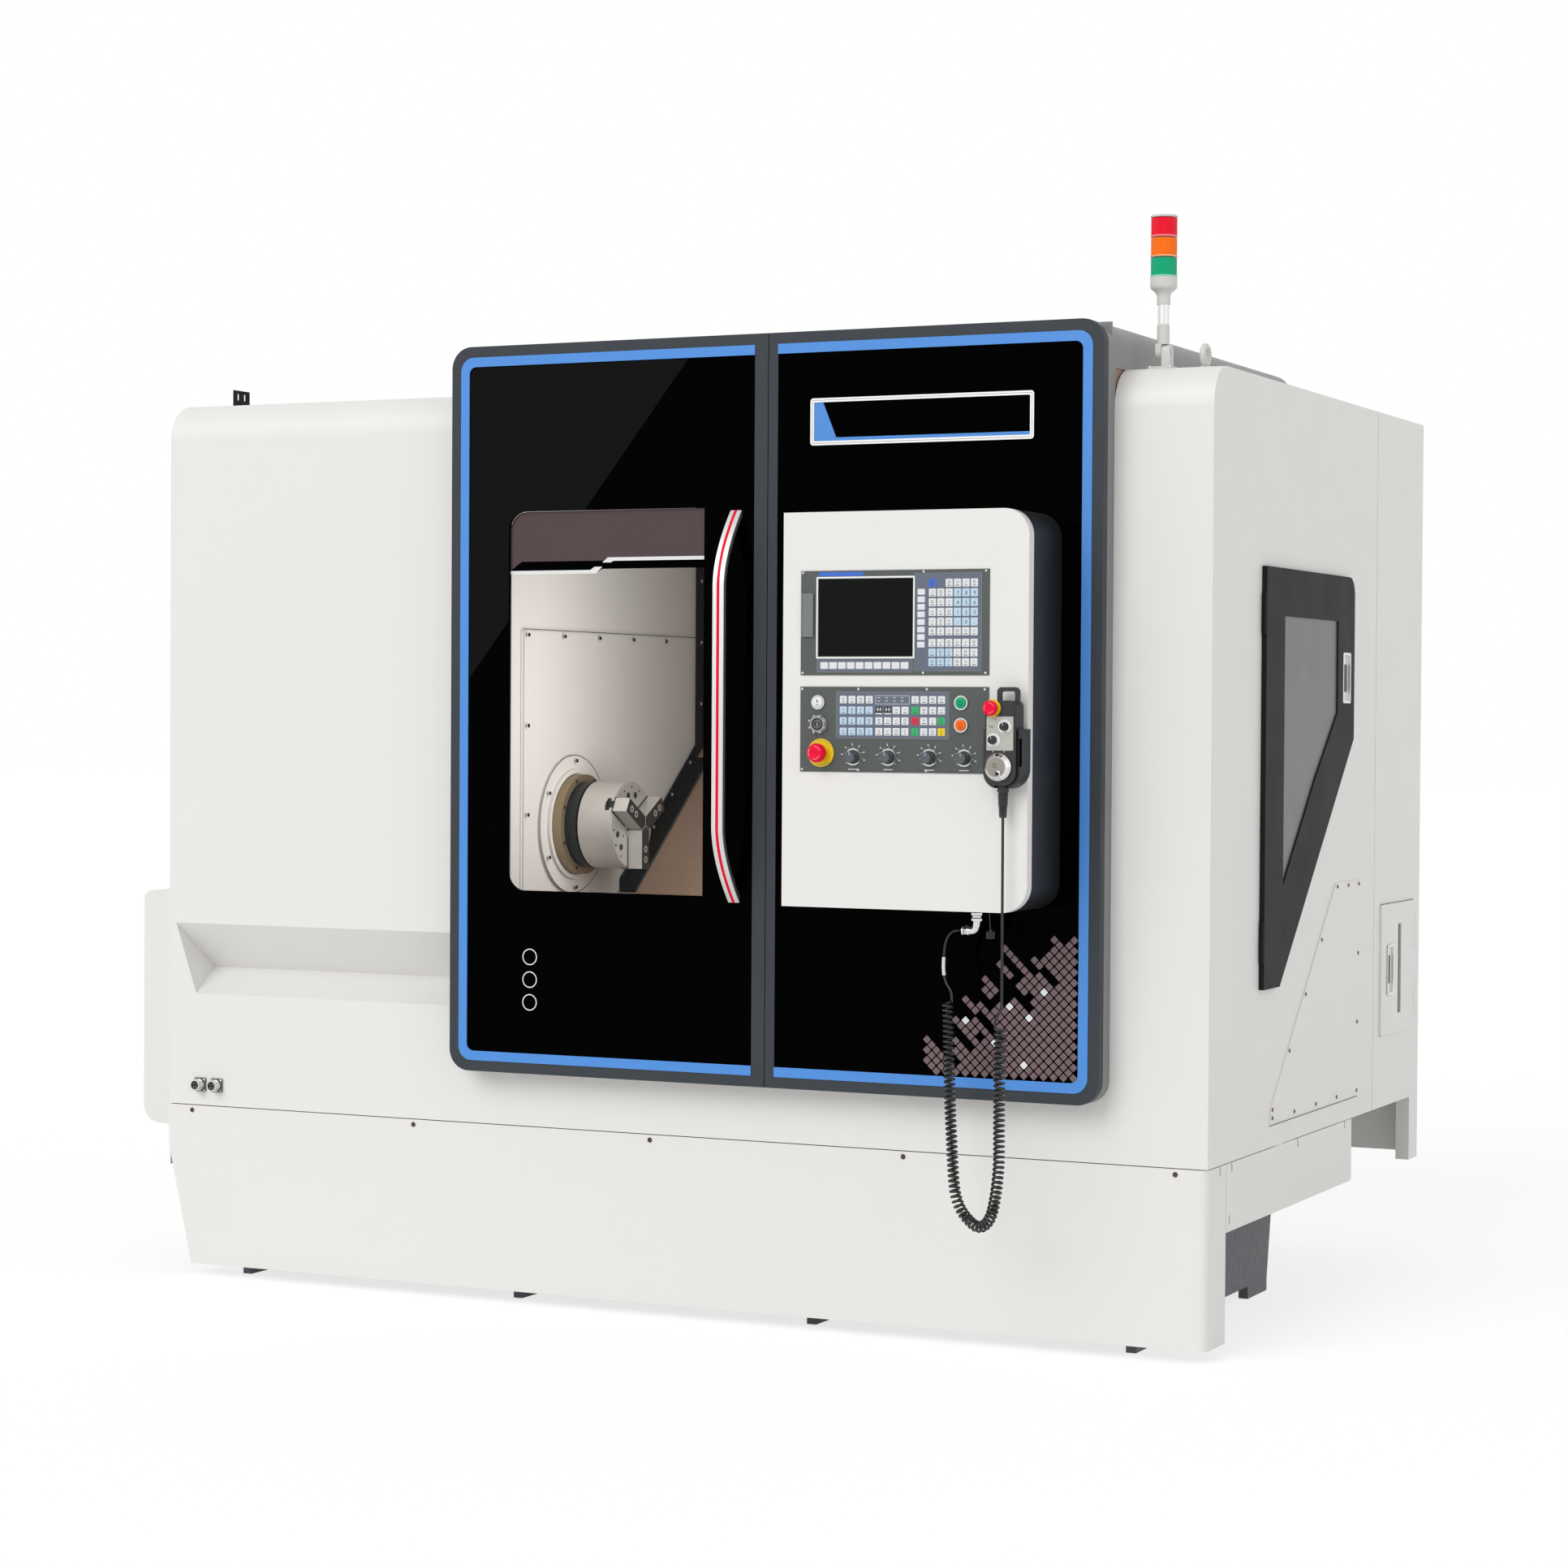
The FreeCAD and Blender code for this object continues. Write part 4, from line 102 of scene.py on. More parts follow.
def mixed(tree, share, first, second):
    """a colour mixed from two colours or colour sockets"""
    return add_node(tree, "ShaderNodeMix", {0: share, 6: first, 7: second}, data_type="RGBA")[2]


def object_noise(tree, scale, detail, stretch=None):
    """noise over the piece's own coordinates, in waves per metre"""
    place = add_node(tree, "ShaderNodeTexCoord")["Object"]
    if stretch:
        place = add_node(tree, "ShaderNodeMapping", {"Scale": stretch, "Vector": place})[0]
    return add_node(tree, "ShaderNodeTexNoise", {"Detail": detail, "Vector": place, "Scale": scale})["Fac"]


def spread(tree, value, low, high):
    """a value from 0 to 1 spread between two limits, each a number or a socket"""
    return add_node(tree, "ShaderNodeMapRange", {"Value": value, "To Min": low, "To Max": high})[0]


# ------------ finishes


def new_group(name, colour, roughness, *more):
    """an empty shader group; more holds further inputs as (name, kind, value)"""
    tree = bpy.data.node_groups.new(name, "ShaderNodeTree")
    for label, kind, value in (("Color", "Color", (*colour, 1)), ("Roughness", "Float", roughness), *more):
        socket = tree.interface.new_socket(name=label, in_out="INPUT", socket_type="NodeSocket" + kind)
        socket.default_value = value
    for label, kind in (("Color", "Color"), ("Roughness", "Float"), ("Height", "Float")):
        tree.interface.new_socket(name=label, in_out="OUTPUT", socket_type="NodeSocket" + kind)
    return tree, tree.nodes.new("NodeGroupInput").outputs, tree.nodes.new("NodeGroupOutput").inputs


def grain_group():
    """powder coat, paint and moulded plastic: broad tone changes, handling marks and a fine grain"""
    tree, given, made = new_group(
        "Surface Grain", (0.8, 0.8, 0.8), 0.4,
        ("Tone", "Float", 0.05), ("Grain", "Float", 900.0), ("Unevenness", "Float", 0.08))
    calc = partial(math_node, tree)
    broad = object_noise(tree, 1.7, 3)
    blotch = object_noise(tree, 9.0, 5)
    darker = mixed(tree, 0.5, given["Color"], (0, 0, 0, 1))
    pattern = calc("ADD", calc("MULTIPLY", broad, 0.6), calc("MULTIPLY", blotch, 0.4))
    feed(tree, made["Color"], mixed(tree, calc("MULTIPLY", pattern, given["Tone"]), given["Color"], darker))
    low = calc("SUBTRACT", given["Roughness"], given["Unevenness"])
    high = calc("ADD", given["Roughness"], given["Unevenness"])
    feed(tree, made["Roughness"], spread(tree, blotch, low, high))
    feed(tree, made["Height"], object_noise(tree, given["Grain"], 2))
    return tree


def brushed_group(name, stretch):
    """ground or drawn metal: fine streaks along one direction"""
    tree, given, made = new_group(name, (0.6, 0.6, 0.6), 0.3, ("Streaks", "Float", 0.2))
    calc = partial(math_node, tree)
    streak = object_noise(tree, 60.0, 4, stretch)
    stain = object_noise(tree, 14.0, 4)
    darker = mixed(tree, 0.6, given["Color"], (0.02, 0.02, 0.02, 1))
    share = calc("MULTIPLY", calc("MULTIPLY", streak, stain), given["Streaks"])
    feed(tree, made["Color"], mixed(tree, share, given["Color"], darker))
    high = calc("ADD", given["Roughness"], 0.16)
    feed(tree, made["Roughness"], spread(tree, streak, given["Roughness"], high))
    feed(tree, made["Height"], streak)
    return tree


def cast_group():
    """sand-cast iron: lumps, pits and a thin uneven coat"""
    tree, given, made = new_group("Cast Skin", (0.1, 0.1, 0.1), 0.6)
    calc = partial(math_node, tree)
    lumps = object_noise(tree, 55.0, 8)
    pits = object_noise(tree, 260.0, 4)
    lighter = mixed(tree, 0.35, given["Color"], (0.35, 0.35, 0.36, 1))
    feed(tree, made["Color"], mixed(tree, spread(tree, lumps, -0.4, 1.0), given["Color"], lighter))
    feed(tree, made["Roughness"], spread(tree, pits, 0.45, given["Roughness"]))
    feed(tree, made["Height"], calc("ADD", lumps, calc("MULTIPLY", pits, 0.35)))
    return tree


def hatched_group():
    """a printed field of fine slanting lines"""
    tree, given, made = new_group(
        "Hatched Print", (0.03, 0.02, 0.02), 0.3,
        ("Line", "Color", (0.2, 0.15, 0.15, 1)), ("Pitch", "Float", 0.0044))
    calc = partial(math_node, tree)
    place = add_node(tree, "ShaderNodeSeparateXYZ", {0: add_node(tree, "ShaderNodeTexCoord")["Object"]})
    slanted = calc("SUBTRACT", place["X"], calc("MULTIPLY", place["Z"], 0.62))
    line = calc("LESS_THAN", calc("FRACT", calc("DIVIDE", slanted, given["Pitch"])), 0.42)
    feed(tree, made["Color"], mixed(tree, line, given["Color"], given["Line"]))
    high = calc("ADD", given["Roughness"], 0.1)
    feed(tree, made["Roughness"], spread(tree, object_noise(tree, 9.0, 4), given["Roughness"], high))
    feed(tree, made["Height"], line)
    return tree


EFFECTS = {
    "grain": grain_group,
    "brushed": lambda: brushed_group("Brushed Along", (0.06, 1, 1)),
    "upright": lambda: brushed_group("Brushed Upright", (1, 1, 0.03)),
    "cast": cast_group,
    "hatched": hatched_group,
}
GROUPS = {}


def effect(name):
    """the shared shader groups, each built once"""
    if name not in GROUPS:
        GROUPS[name] = EFFECTS[name]()
    return GROUPS[name]


def coat(colour, roughness, tone=0.05, metallic=0.0, bump=0, grain=None, uneven=None, gloss=None, clear=None):
    """a finish of paint, print or plastic; bump is a depth in micrometres, grain in waves per metre"""
    values = {"Roughness": roughness, "Tone": tone, "Grain": grain, "Unevenness": uneven}
    sockets = {"Metallic": metallic, "Specular IOR Level": gloss, "Coat Weight": clear}
    return "grain", colour, values, bump, sockets


def metal(colour, roughness, metallic, streaks, bump=0, kind="brushed"):
    """a finish of ground or drawn metal"""
    return kind, colour, {"Roughness": roughness, "Streaks": streaks}, bump, {"Metallic": metallic}


FINISHES = {
    "white_paint": coat((0.80, 0.79, 0.765), 0.42, bump=40, grain=1100.0),
    "slate_paint": coat((0.042, 0.050, 0.059), 0.5, 0.3, bump=200, grain=700.0, gloss=0.25),
    "blue_paint": coat((0.068, 0.27, 0.72), 0.42, 0.1, bump=30),
    "black_gloss": coat((0.0004, 0.0004, 0.0005), 0.07, 0.1, uneven=0.02, gloss=0.012),
    # painted sheen: a lighter black that stands in for a reflection on the glossy door panel
    "painted_sheen_field": coat((0.0046, 0.0046, 0.0046), 0.07, 0.1, uneven=0.02, gloss=0.05),
    "hood_grey": coat((0.215, 0.217, 0.223), 0.42, 0.15, bump=100, grain=700.0),
    "guard_paint": coat((0.68, 0.645, 0.60), 0.6, 0.12, bump=30, gloss=0.1),
    "charcoal_paint": coat((0.013, 0.0135, 0.0155), 0.55, 0.25, bump=80, grain=900.0, gloss=0.12),
    "smoked_pane": coat((0.175, 0.175, 0.17), 0.34, 0.5, uneven=0.05, gloss=0.25),
    "cast_iron": ("cast", (0.095, 0.102, 0.112), {"Roughness": 0.72}, 600, {"Metallic": 0.2}),
    "liner_steel": metal((0.36, 0.24, 0.17), 0.45, 0.25, 0.5, 20),
    "ground_steel": metal((0.66, 0.63, 0.59), 0.3, 0.7, 0.35, 10),
    "dark_steel": metal((0.085, 0.08, 0.078), 0.34, 0.8, 0.5, 20),
    "aluminium": metal((0.78, 0.78, 0.77), 0.28, 0.9, 0.2, 10, "upright"),
    "collar_brass": metal((0.36, 0.27, 0.165), 0.4, 0.6, 0.4, 10),
    "screw_bronze": metal((0.22, 0.18, 0.12), 0.4, 0.7, 0.4),
    "chrome": coat((0.72, 0.72, 0.72), 0.14, 0.1, 1.0, uneven=0.05),
    "red_plastic": coat((0.84, 0.0, 0.03), 0.35, 0.08, gloss=0.15),
    "stop_red": coat((0.86, 0.003, 0.045), 0.38, 0.1, gloss=0.15),
    "stop_mark": coat((0.85, 0.30, 0.36), 0.4),
    "stop_yellow": coat((0.86, 0.62, 0.0), 0.38, 0.06),
    "black_plastic": coat((0.014, 0.0145, 0.016), 0.42, 0.2, bump=60, grain=1500.0),
    "panel_grey": coat((0.072, 0.083, 0.079), 0.42, 0.12, bump=30, grain=1600.0),
    "frame_grey": coat((0.17, 0.185, 0.18), 0.34, 0.08),
    "screen": coat((0.0042, 0.005, 0.0048), 0.06, 0.2, uneven=0.02, gloss=0.08),
    "sheet_slate": coat((0.115, 0.135, 0.185), 0.36, 0.1),
    "key_white": coat((0.74, 0.75, 0.77), 0.36),
    "key_pale": coat((0.50, 0.65, 0.78), 0.36),
    "key_blue": coat((0.03, 0.14, 0.58), 0.36),
    "key_green": coat((0.02, 0.42, 0.14), 0.36),
    "key_red": coat((0.68, 0.012, 0.05), 0.36),
    "key_yellow": coat((0.85, 0.60, 0.0), 0.36),
    "legend_dark": coat((0.035, 0.04, 0.055), 0.4, 0.1),
    "legend_white": coat((0.72, 0.73, 0.73), 0.4),
    "legend_groove": coat((0.05, 0.055, 0.055), 0.5, 0.1),
    "knob_grey": coat((0.085, 0.095, 0.11), 0.38, 0.15, bump=30, grain=1500.0),
    "knob_black": coat((0.012, 0.012, 0.013), 0.35, 0.15, bump=30, grain=1500.0),
    "knob_flute": coat((0.055, 0.062, 0.07), 0.4, 0.15, bump=30, grain=1500.0),
    "button_white": coat((0.80, 0.80, 0.79), 0.3),
    "button_green": coat((0.0, 0.40, 0.17), 0.3, 0.08, gloss=0.2),
    "button_orange": coat((1.0, 0.16, 0.0), 0.3, 0.08, gloss=0.2),
    "guard_clear": coat((0.40, 0.40, 0.39), 0.22, 0.3, clear=0.5),
    "dial_white": coat((0.90, 0.90, 0.87), 0.4),
    "dial_taupe": coat((0.30, 0.275, 0.245), 0.36, 0.1, 0.4),
    "plate_stone": coat((0.47, 0.48, 0.43), 0.4, 0.06),
    "tower_grey": coat((0.66, 0.65, 0.62), 0.4, 0.06),
    "lens_red": coat((0.88, 0.0, 0.022), 0.3, 0.15, gloss=0.2),
    "lens_orange": coat((1.0, 0.175, 0.0), 0.3, 0.15, gloss=0.2),
    "lens_green": coat((0.0, 0.40, 0.19), 0.3, 0.15, gloss=0.2),
    "lens_red_rim": coat((0.86, 0.22, 0.26), 0.25, clear=0.6),
    "lens_orange_rim": coat((0.95, 0.42, 0.20), 0.25, clear=0.6),
    "lens_green_rim": coat((0.30, 0.70, 0.55), 0.25, clear=0.6),
    "cable_black": coat((0.009, 0.009, 0.010), 0.18, 0.2, bump=30, grain=1300.0),
    "clear_sleeve": coat((0.74, 0.75, 0.75), 0.25, 0.1),
    "flange_olive": coat((0.16, 0.165, 0.13), 0.45, 0.2, 0.4, bump=30),
    "seal_rubber": coat((0.02, 0.021, 0.022), 0.6, 0.2, bump=100),
    "strip_rubber": coat((0.009, 0.0075, 0.0065), 0.6, 0.3, bump=50, gloss=0.05),
    # dark sleeve behind the chuck, and the painted shade of the chuck's jaw slots and face holes
    "dark_sleeve_and_hole_shade": coat((0.014, 0.0145, 0.017), 0.4, 0.3, gloss=0.35),
    "seam_shadow": coat((0.10, 0.10, 0.10), 0.6, 0.1),
    "hole_brown": coat((0.085, 0.045, 0.03), 0.6, 0.3),
    "tile_mauve": coat((0.17, 0.108, 0.118), 0.3, 0.25),
    "tile_white": coat((0.78, 0.79, 0.79), 0.3),
    "band_hatched": (
        "hatched", (0.030, 0.014, 0.016), {"Roughness": 0.3, "Line": (0.09, 0.046, 0.048, 1)}, 0, {}),
}
MATERIALS = {}


def finish(name):
    """the material of a finish, built on first use"""
    if name in MATERIALS:
        return MATERIALS[name]
    kind, colour, values, bump, sockets = FINISHES[name]
    material = MATERIALS[name] = bpy.data.materials.new("lathe_" + name)
    material.use_nodes = True
    tree = material.node_tree
    shader = tree.nodes["Principled BSDF"]
    group = tree.nodes.new("ShaderNodeGroup")
    group.node_tree = effect(kind)
    group.inputs["Color"].default_value = (*colour, 1)
    for node, given in ((group, values), (shader, sockets)):
        for label, value in given.items():
            if value is not None:
                node.inputs[label].default_value = value
    feed(tree, shader.inputs["Base Color"], group.outputs["Color"])
    feed(tree, shader.inputs["Roughness"], group.outputs["Roughness"])
    if bump:
        relief = add_node(tree, "ShaderNodeBump", {"Distance": bump / 1e6, "Height": group.outputs["Height"]})
        feed(tree, shader.inputs["Normal"], relief["Normal"])
    material.diffuse_color = (*colour, 1)
    return material


def pane_finish():
    """clear door pane: nearly all light passes, a little gloss stays"""
    material = bpy.data.materials.new("door_glass")
    material.use_nodes = True
    shader = material.node_tree.nodes["Principled BSDF"]
    shader.inputs["Base Color"].default_value = (0.10, 0.12, 0.12, 1)
    shader.inputs["Roughness"].default_value = 0.03
    shader.inputs["Alpha"].default_value = 0.03
    return material


# ------------ forms


def mesh_of(curve):
    """the places and faces that Blender makes of a curve or text, which is removed"""
    carrier = bpy.data.objects.new("carrier", curve)
    mesh = bpy.data.meshes.new_from_object(carrier)
    places = [v.co.copy() for v in mesh.vertices]
    faces = [list(p.vertices) for p in mesh.polygons]
    bpy.data.objects.remove(carrier)
    bpy.data.curves.remove(curve)
    bpy.data.meshes.remove(mesh)
    return places, faces


def linked(name, data):
    """a new object in the scene"""
    made = bpy.data.objects.new(name, data)
    bpy.context.scene.collection.objects.link(made)
    return made


def polar(centre, reach, angle):
    """the place at a reach and angle from a centre"""
    return centre[0] + reach * math.cos(angle), centre[1] + reach * math.sin(angle)


def circle(centre, radius, count=32):
    """an outline with as many corners as count"""
    return [polar(centre, radius, 2 * math.pi * k / count) for k in range(count)]


def along(centre, angle, spots):
    """places given as reach along a radius from the centre and distance across it"""
    u, v = math.cos(angle), math.sin(angle)
    return [(centre[0] + r * u - t * v, centre[1] + r * v + t * u) for r, t in spots]


def rounded(left, right, low, high, radius, steps=5):
    """a rectangle from its lower left corner on, its corners rounded where there is a radius"""
    if radius <= 0:
        return [(left, low), (right, low), (right, high), (left, high)]
    middles = ((left + radius, low + radius, 180), (right - radius, low + radius, 270),
               (right - radius, high - radius, 0), (left + radius, high - radius, 90))
    return [polar((u, v), radius, math.radians(start + 90 * k / steps))
            for u, v, start in middles for k in range(steps + 1)]


def bow(start, pull, end, count=12):
    """points on the curve from start to end that leans towards pull"""
    shares = [k / count for k in range(count + 1)]
    return [tuple(a * (1 - t) ** 2 + 2 * b * t * (1 - t) + c * t * t for a, b, c in zip(start, pull, end))
            for t in shares]


def quads(rows, count):
    """faces between rows of as many corners, each row a closed loop"""
    steps = [(k, (k + 1) % count) for k in range(count)]
    return [[i * count + k, i * count + j, (i + 1) * count + j, (i + 1) * count + k]
            for i in range(rows - 1) for k, j in steps]


class Form:
    """Gathers one piece in the machine's millimetres; its outlines lie in a plane, and depth is across it."""

    def __init__(self, material, plane="XZ"):
        self.corners, self.faces, self.slots, self.materials = [], [], [], []
        self.plane = plane
        self.use(material)

    def use(self, material):
        """the finish of all that is added next"""
        if material not in self.materials:
            self.materials.append(material)
        self.slot = self.materials.index(material)

    def add(self, corners, faces):
        start = len(self.corners)
        self.corners += corners
        self.faces += [[start + k for k in face] for face in faces]
        self.slots += [self.slot] * len(faces)

    def spots(self, outline, depth):
        """the corners of a flat outline in the form's plane, at a depth"""
        if self.plane == "XZ":
            return [(u, depth, v) for u, v in outline]
        if self.plane == "YZ":
            return [(depth, u, v) for u, v in outline]
        return [(u, v, depth) for u, v in outline]

    def prism(self, outline, front, back):
        """a flat outline given thickness along the third axis"""
        count = len(outline)
        faces = [list(range(count)), list(range(2 * count - 1, count - 1, -1))]
        faces += [[k, k + count, (k + 1) % count + count, (k + 1) % count] for k in range(count)]
        self.add(self.spots(outline, front) + self.spots(outline, back), faces)

    def plate(self, left, right, low, high, front, back, radius=0.0, steps=5):
        """a block, its corners rounded where there is a radius"""
        self.prism(rounded(left, right, low, high, radius, steps), front, back)

    def disc(self, centre, radius, front, back, count=32):
        self.prism(circle(centre, radius, count), front, back)

    def frame(self, outer, inner, front, back):
        """the band between two outlines with as many corners"""
        n = len(outer)
        corners = []
        for depth in (front, back):
            corners += self.spots(outer, depth) + self.spots(inner, depth)
        faces = []
        for k in range(n):
            j = (k + 1) % n
            faces += [[k, j, n + j, n + k], [2 * n + k, 3 * n + k, 3 * n + j, 2 * n + j],
                      [k, 2 * n + k, 2 * n + j, j], [n + k, n + j, 3 * n + j, 3 * n + k]]
        self.add(corners, faces)

    def rim(self, left, right, low, high, wide, radius, inner_radius, front, back):
        """a rounded rectangular frame of even width"""
        inner = rounded(left + wide, right - wide, low + wide, high - wide, inner_radius)
        self.frame(rounded(left, right, low, high, radius), inner, front, back)

    def ring(self, centre, outer, inner, front, back, count=40):
        self.frame(circle(centre, outer, count), circle(centre, inner, count), front, back)

    def stroke(self, points, width, front, back):
        """a line of even width through points"""
        for (a, b), (c, d) in zip(points, points[1:]):
            run = math.hypot(c - a, d - b) or 1
            nu, nv = -(d - b) / run * width / 2, (c - a) / run * width / 2
            self.prism([(a + nu, b + nv), (c + nu, d + nv), (c - nu, d - nv), (a - nu, b - nv)], front, back)

    def spoke(self, centre, angle, inner, outer, half, front, back):
        """a block along a radius, half as wide to each side"""
        ends = ((inner, -half), (outer, -half), (outer, half), (inner, half))
        self.prism(along(centre, angle, ends), front, back)

    def turned(self, profile, centre, axis, count=48, flutes=0, depth=0.0):
        """a profile of (radius, height) pairs turned about an axis through centre, plain or fluted"""
        axis = Vector(axis).normalized()
        side = axis.orthogonal().normalized()
        up = axis.cross(side)
        corners = []
        for radius, height in profile:
            for k in range(count):
                angle = 2 * math.pi * k / count
                reach = radius * (1 - depth + depth * math.cos(flutes * angle))
                away = side * math.cos(angle) + up * math.sin(angle)
                corners.append(tuple(Vector(centre) + axis * height + away * reach))
        ends = [list(range(count - 1, -1, -1)), list(range(len(corners) - count, len(corners)))]
        self.add(corners, quads(len(profile), count) + ends)

    def swept(self, path, profile):
        """a closed profile of (x, depth) pairs along a path of (y, z) points, depth measured inward"""
        count, corners = len(profile), []
        for k, (y, z) in enumerate(path):
            before, after = path[max(k - 1, 0)], path[min(k + 1, len(path) - 1)]
            run = Vector((after[0] - before[0], after[1] - before[1])).normalized()
            corners += [(x, y + run.y * depth, z - run.x * depth) for x, depth in profile]
        ends = [list(range(count)), [len(corners) - 1 - j for j in range(count)]]
        self.add(corners, ends + quads(len(path), count))

    def looped(self, centre, ring, bar, count=40, around=16):
        """a round bar bent into a closed ring that stands in the YZ plane"""
        x, y, z = centre
        corners, faces = [], []
        for i in range(count):
            a, k = 2 * math.pi * i / count, (i + 1) % count
            for j in range(around):
                b, m = 2 * math.pi * j / around, (j + 1) % around
                corners.append((x + bar * math.sin(b), *polar((y, z), ring + bar * math.cos(b), a)))
                faces.append([i * around + j, k * around + j, k * around + m, i * around + m])
        self.add(corners, faces)

    def figure(self, text, x, z, height, front, back):
        """plain figures standing on the front, middle at x and z"""
        curve = bpy.data.curves.new("figure", "FONT")
        curve.body = text
        curve.size = height * 1.4
        curve.align_x = "CENTER"
        curve.align_y = "CENTER"
        curve.resolution_u = 2
        curve.extrude = abs(back - front) / 2
        middle = (front + back) / 2
        places, faces = mesh_of(curve)
        self.add([(x + place.x, middle - place.z, z + place.y) for place in places], faces)

    def finish(self, name, body, smooth=None, bevel=0.0, replaces=None):
        """the piece as an object that rides on a body, and stands for a node where one is named"""
        mesh = bpy.data.meshes.new(name)
        mesh.from_pydata([at(*c) for c in self.corners], [], self.faces)
        for label in self.materials:
            mesh.materials.append(finish(label))
        mesh.polygons.foreach_set("material_index", self.slots)
        work = bmesh.new()
        work.from_mesh(mesh)
        bmesh.ops.remove_doubles(work, verts=work.verts, dist=1e-7)
        bmesh.ops.recalc_face_normals(work, faces=work.faces)
        work.to_mesh(mesh)
        work.free()
        if smooth:
            mesh.shade_smooth()
            mesh.set_sharp_from_angle(angle=math.radians(smooth))
        made = linked(name, mesh)
        if bevel:
            edge = made.modifiers.new("edge", "BEVEL")
            edge.width = bevel / 1000
            edge.segments = 2
            edge.limit_method = "ANGLE"
        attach(made, body)
        if replaces:
            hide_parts(replaces)


# ------------ settings


class LatheCable(bpy.types.PropertyGroup):
    """Settings of the cable"""

    diameter: bpy.props.FloatProperty(
        name="Cable diameter", description="Thickness of the handwheel unit's cable", default=0.006,
        min=0.002, max=0.02, unit="LENGTH")
    curl_radius: bpy.props.FloatProperty(
        name="Curl radius", description="From the middle of a curl to the middle of the cable", default=0.010,
        min=0.004, max=0.04, unit="LENGTH")
    curls: bpy.props.IntProperty(
        name="Curls", description="Number of curls in the hanging loop", default=88, min=5, max=120)


class LatheStage(bpy.types.PropertyGroup):
    """Settings of light and floor"""

    sky: bpy.props.FloatProperty(
        name="Sky light", description="Even light from all round", default=0.62, min=0, max=3)
    sun: bpy.props.FloatProperty(
        name="Front light", description="Soft light from the front left", default=1.25, min=0, max=10)
    side: bpy.props.FloatProperty(
        name="Side light", description="Weak soft light from the right", default=0.3, min=0, max=10)
    chamber: bpy.props.FloatProperty(
        name="Chamber light", description="Upright work lamp behind the door, in watts", default=6.4,
        min=0, max=200)
    floor: bpy.props.FloatVectorProperty(
        name="Floor colour", description="Colour of the plain floor", default=(0.93, 0.93, 0.93),
        subtype="COLOR")


# ------------ stage


# the camera as fitted to the photograph: degrees, metres, and its focal length and width in pixels
YAW, PITCH, ROLL = 25.47, 1.108, 0.356
EYE = (3.71964, -7.60353, 1.36581)
FOCAL_PIXELS, WIDE_PIXELS = 4230.19, 1932
SENSOR_WIDTH = 36
FLOOR_REACH, FLOOR_GLOW, GLOW_SHARE = 60, 1.09, 0.7
LAMP_PLACE = (1500, 62, 1420)


def seen(tree):
    """1 for what the camera, gloss and glass see, 0 for what lights the scene"""
    ray = add_node(tree, "ShaderNodeLightPath")
    indirect = math_node(tree, "MAXIMUM", ray["Is Glossy Ray"], ray["Is Transmission Ray"])
    return math_node(tree, "MAXIMUM", ray["Is Camera Ray"], indirect)


def surface(tree, output, share, first, second):
    """two shaders mixed into the tree's output"""
    mix = add_node(tree, "ShaderNodeMixShader", {0: share, 1: first, 2: second})
    add_node(tree, output, {"Surface": mix[0]})


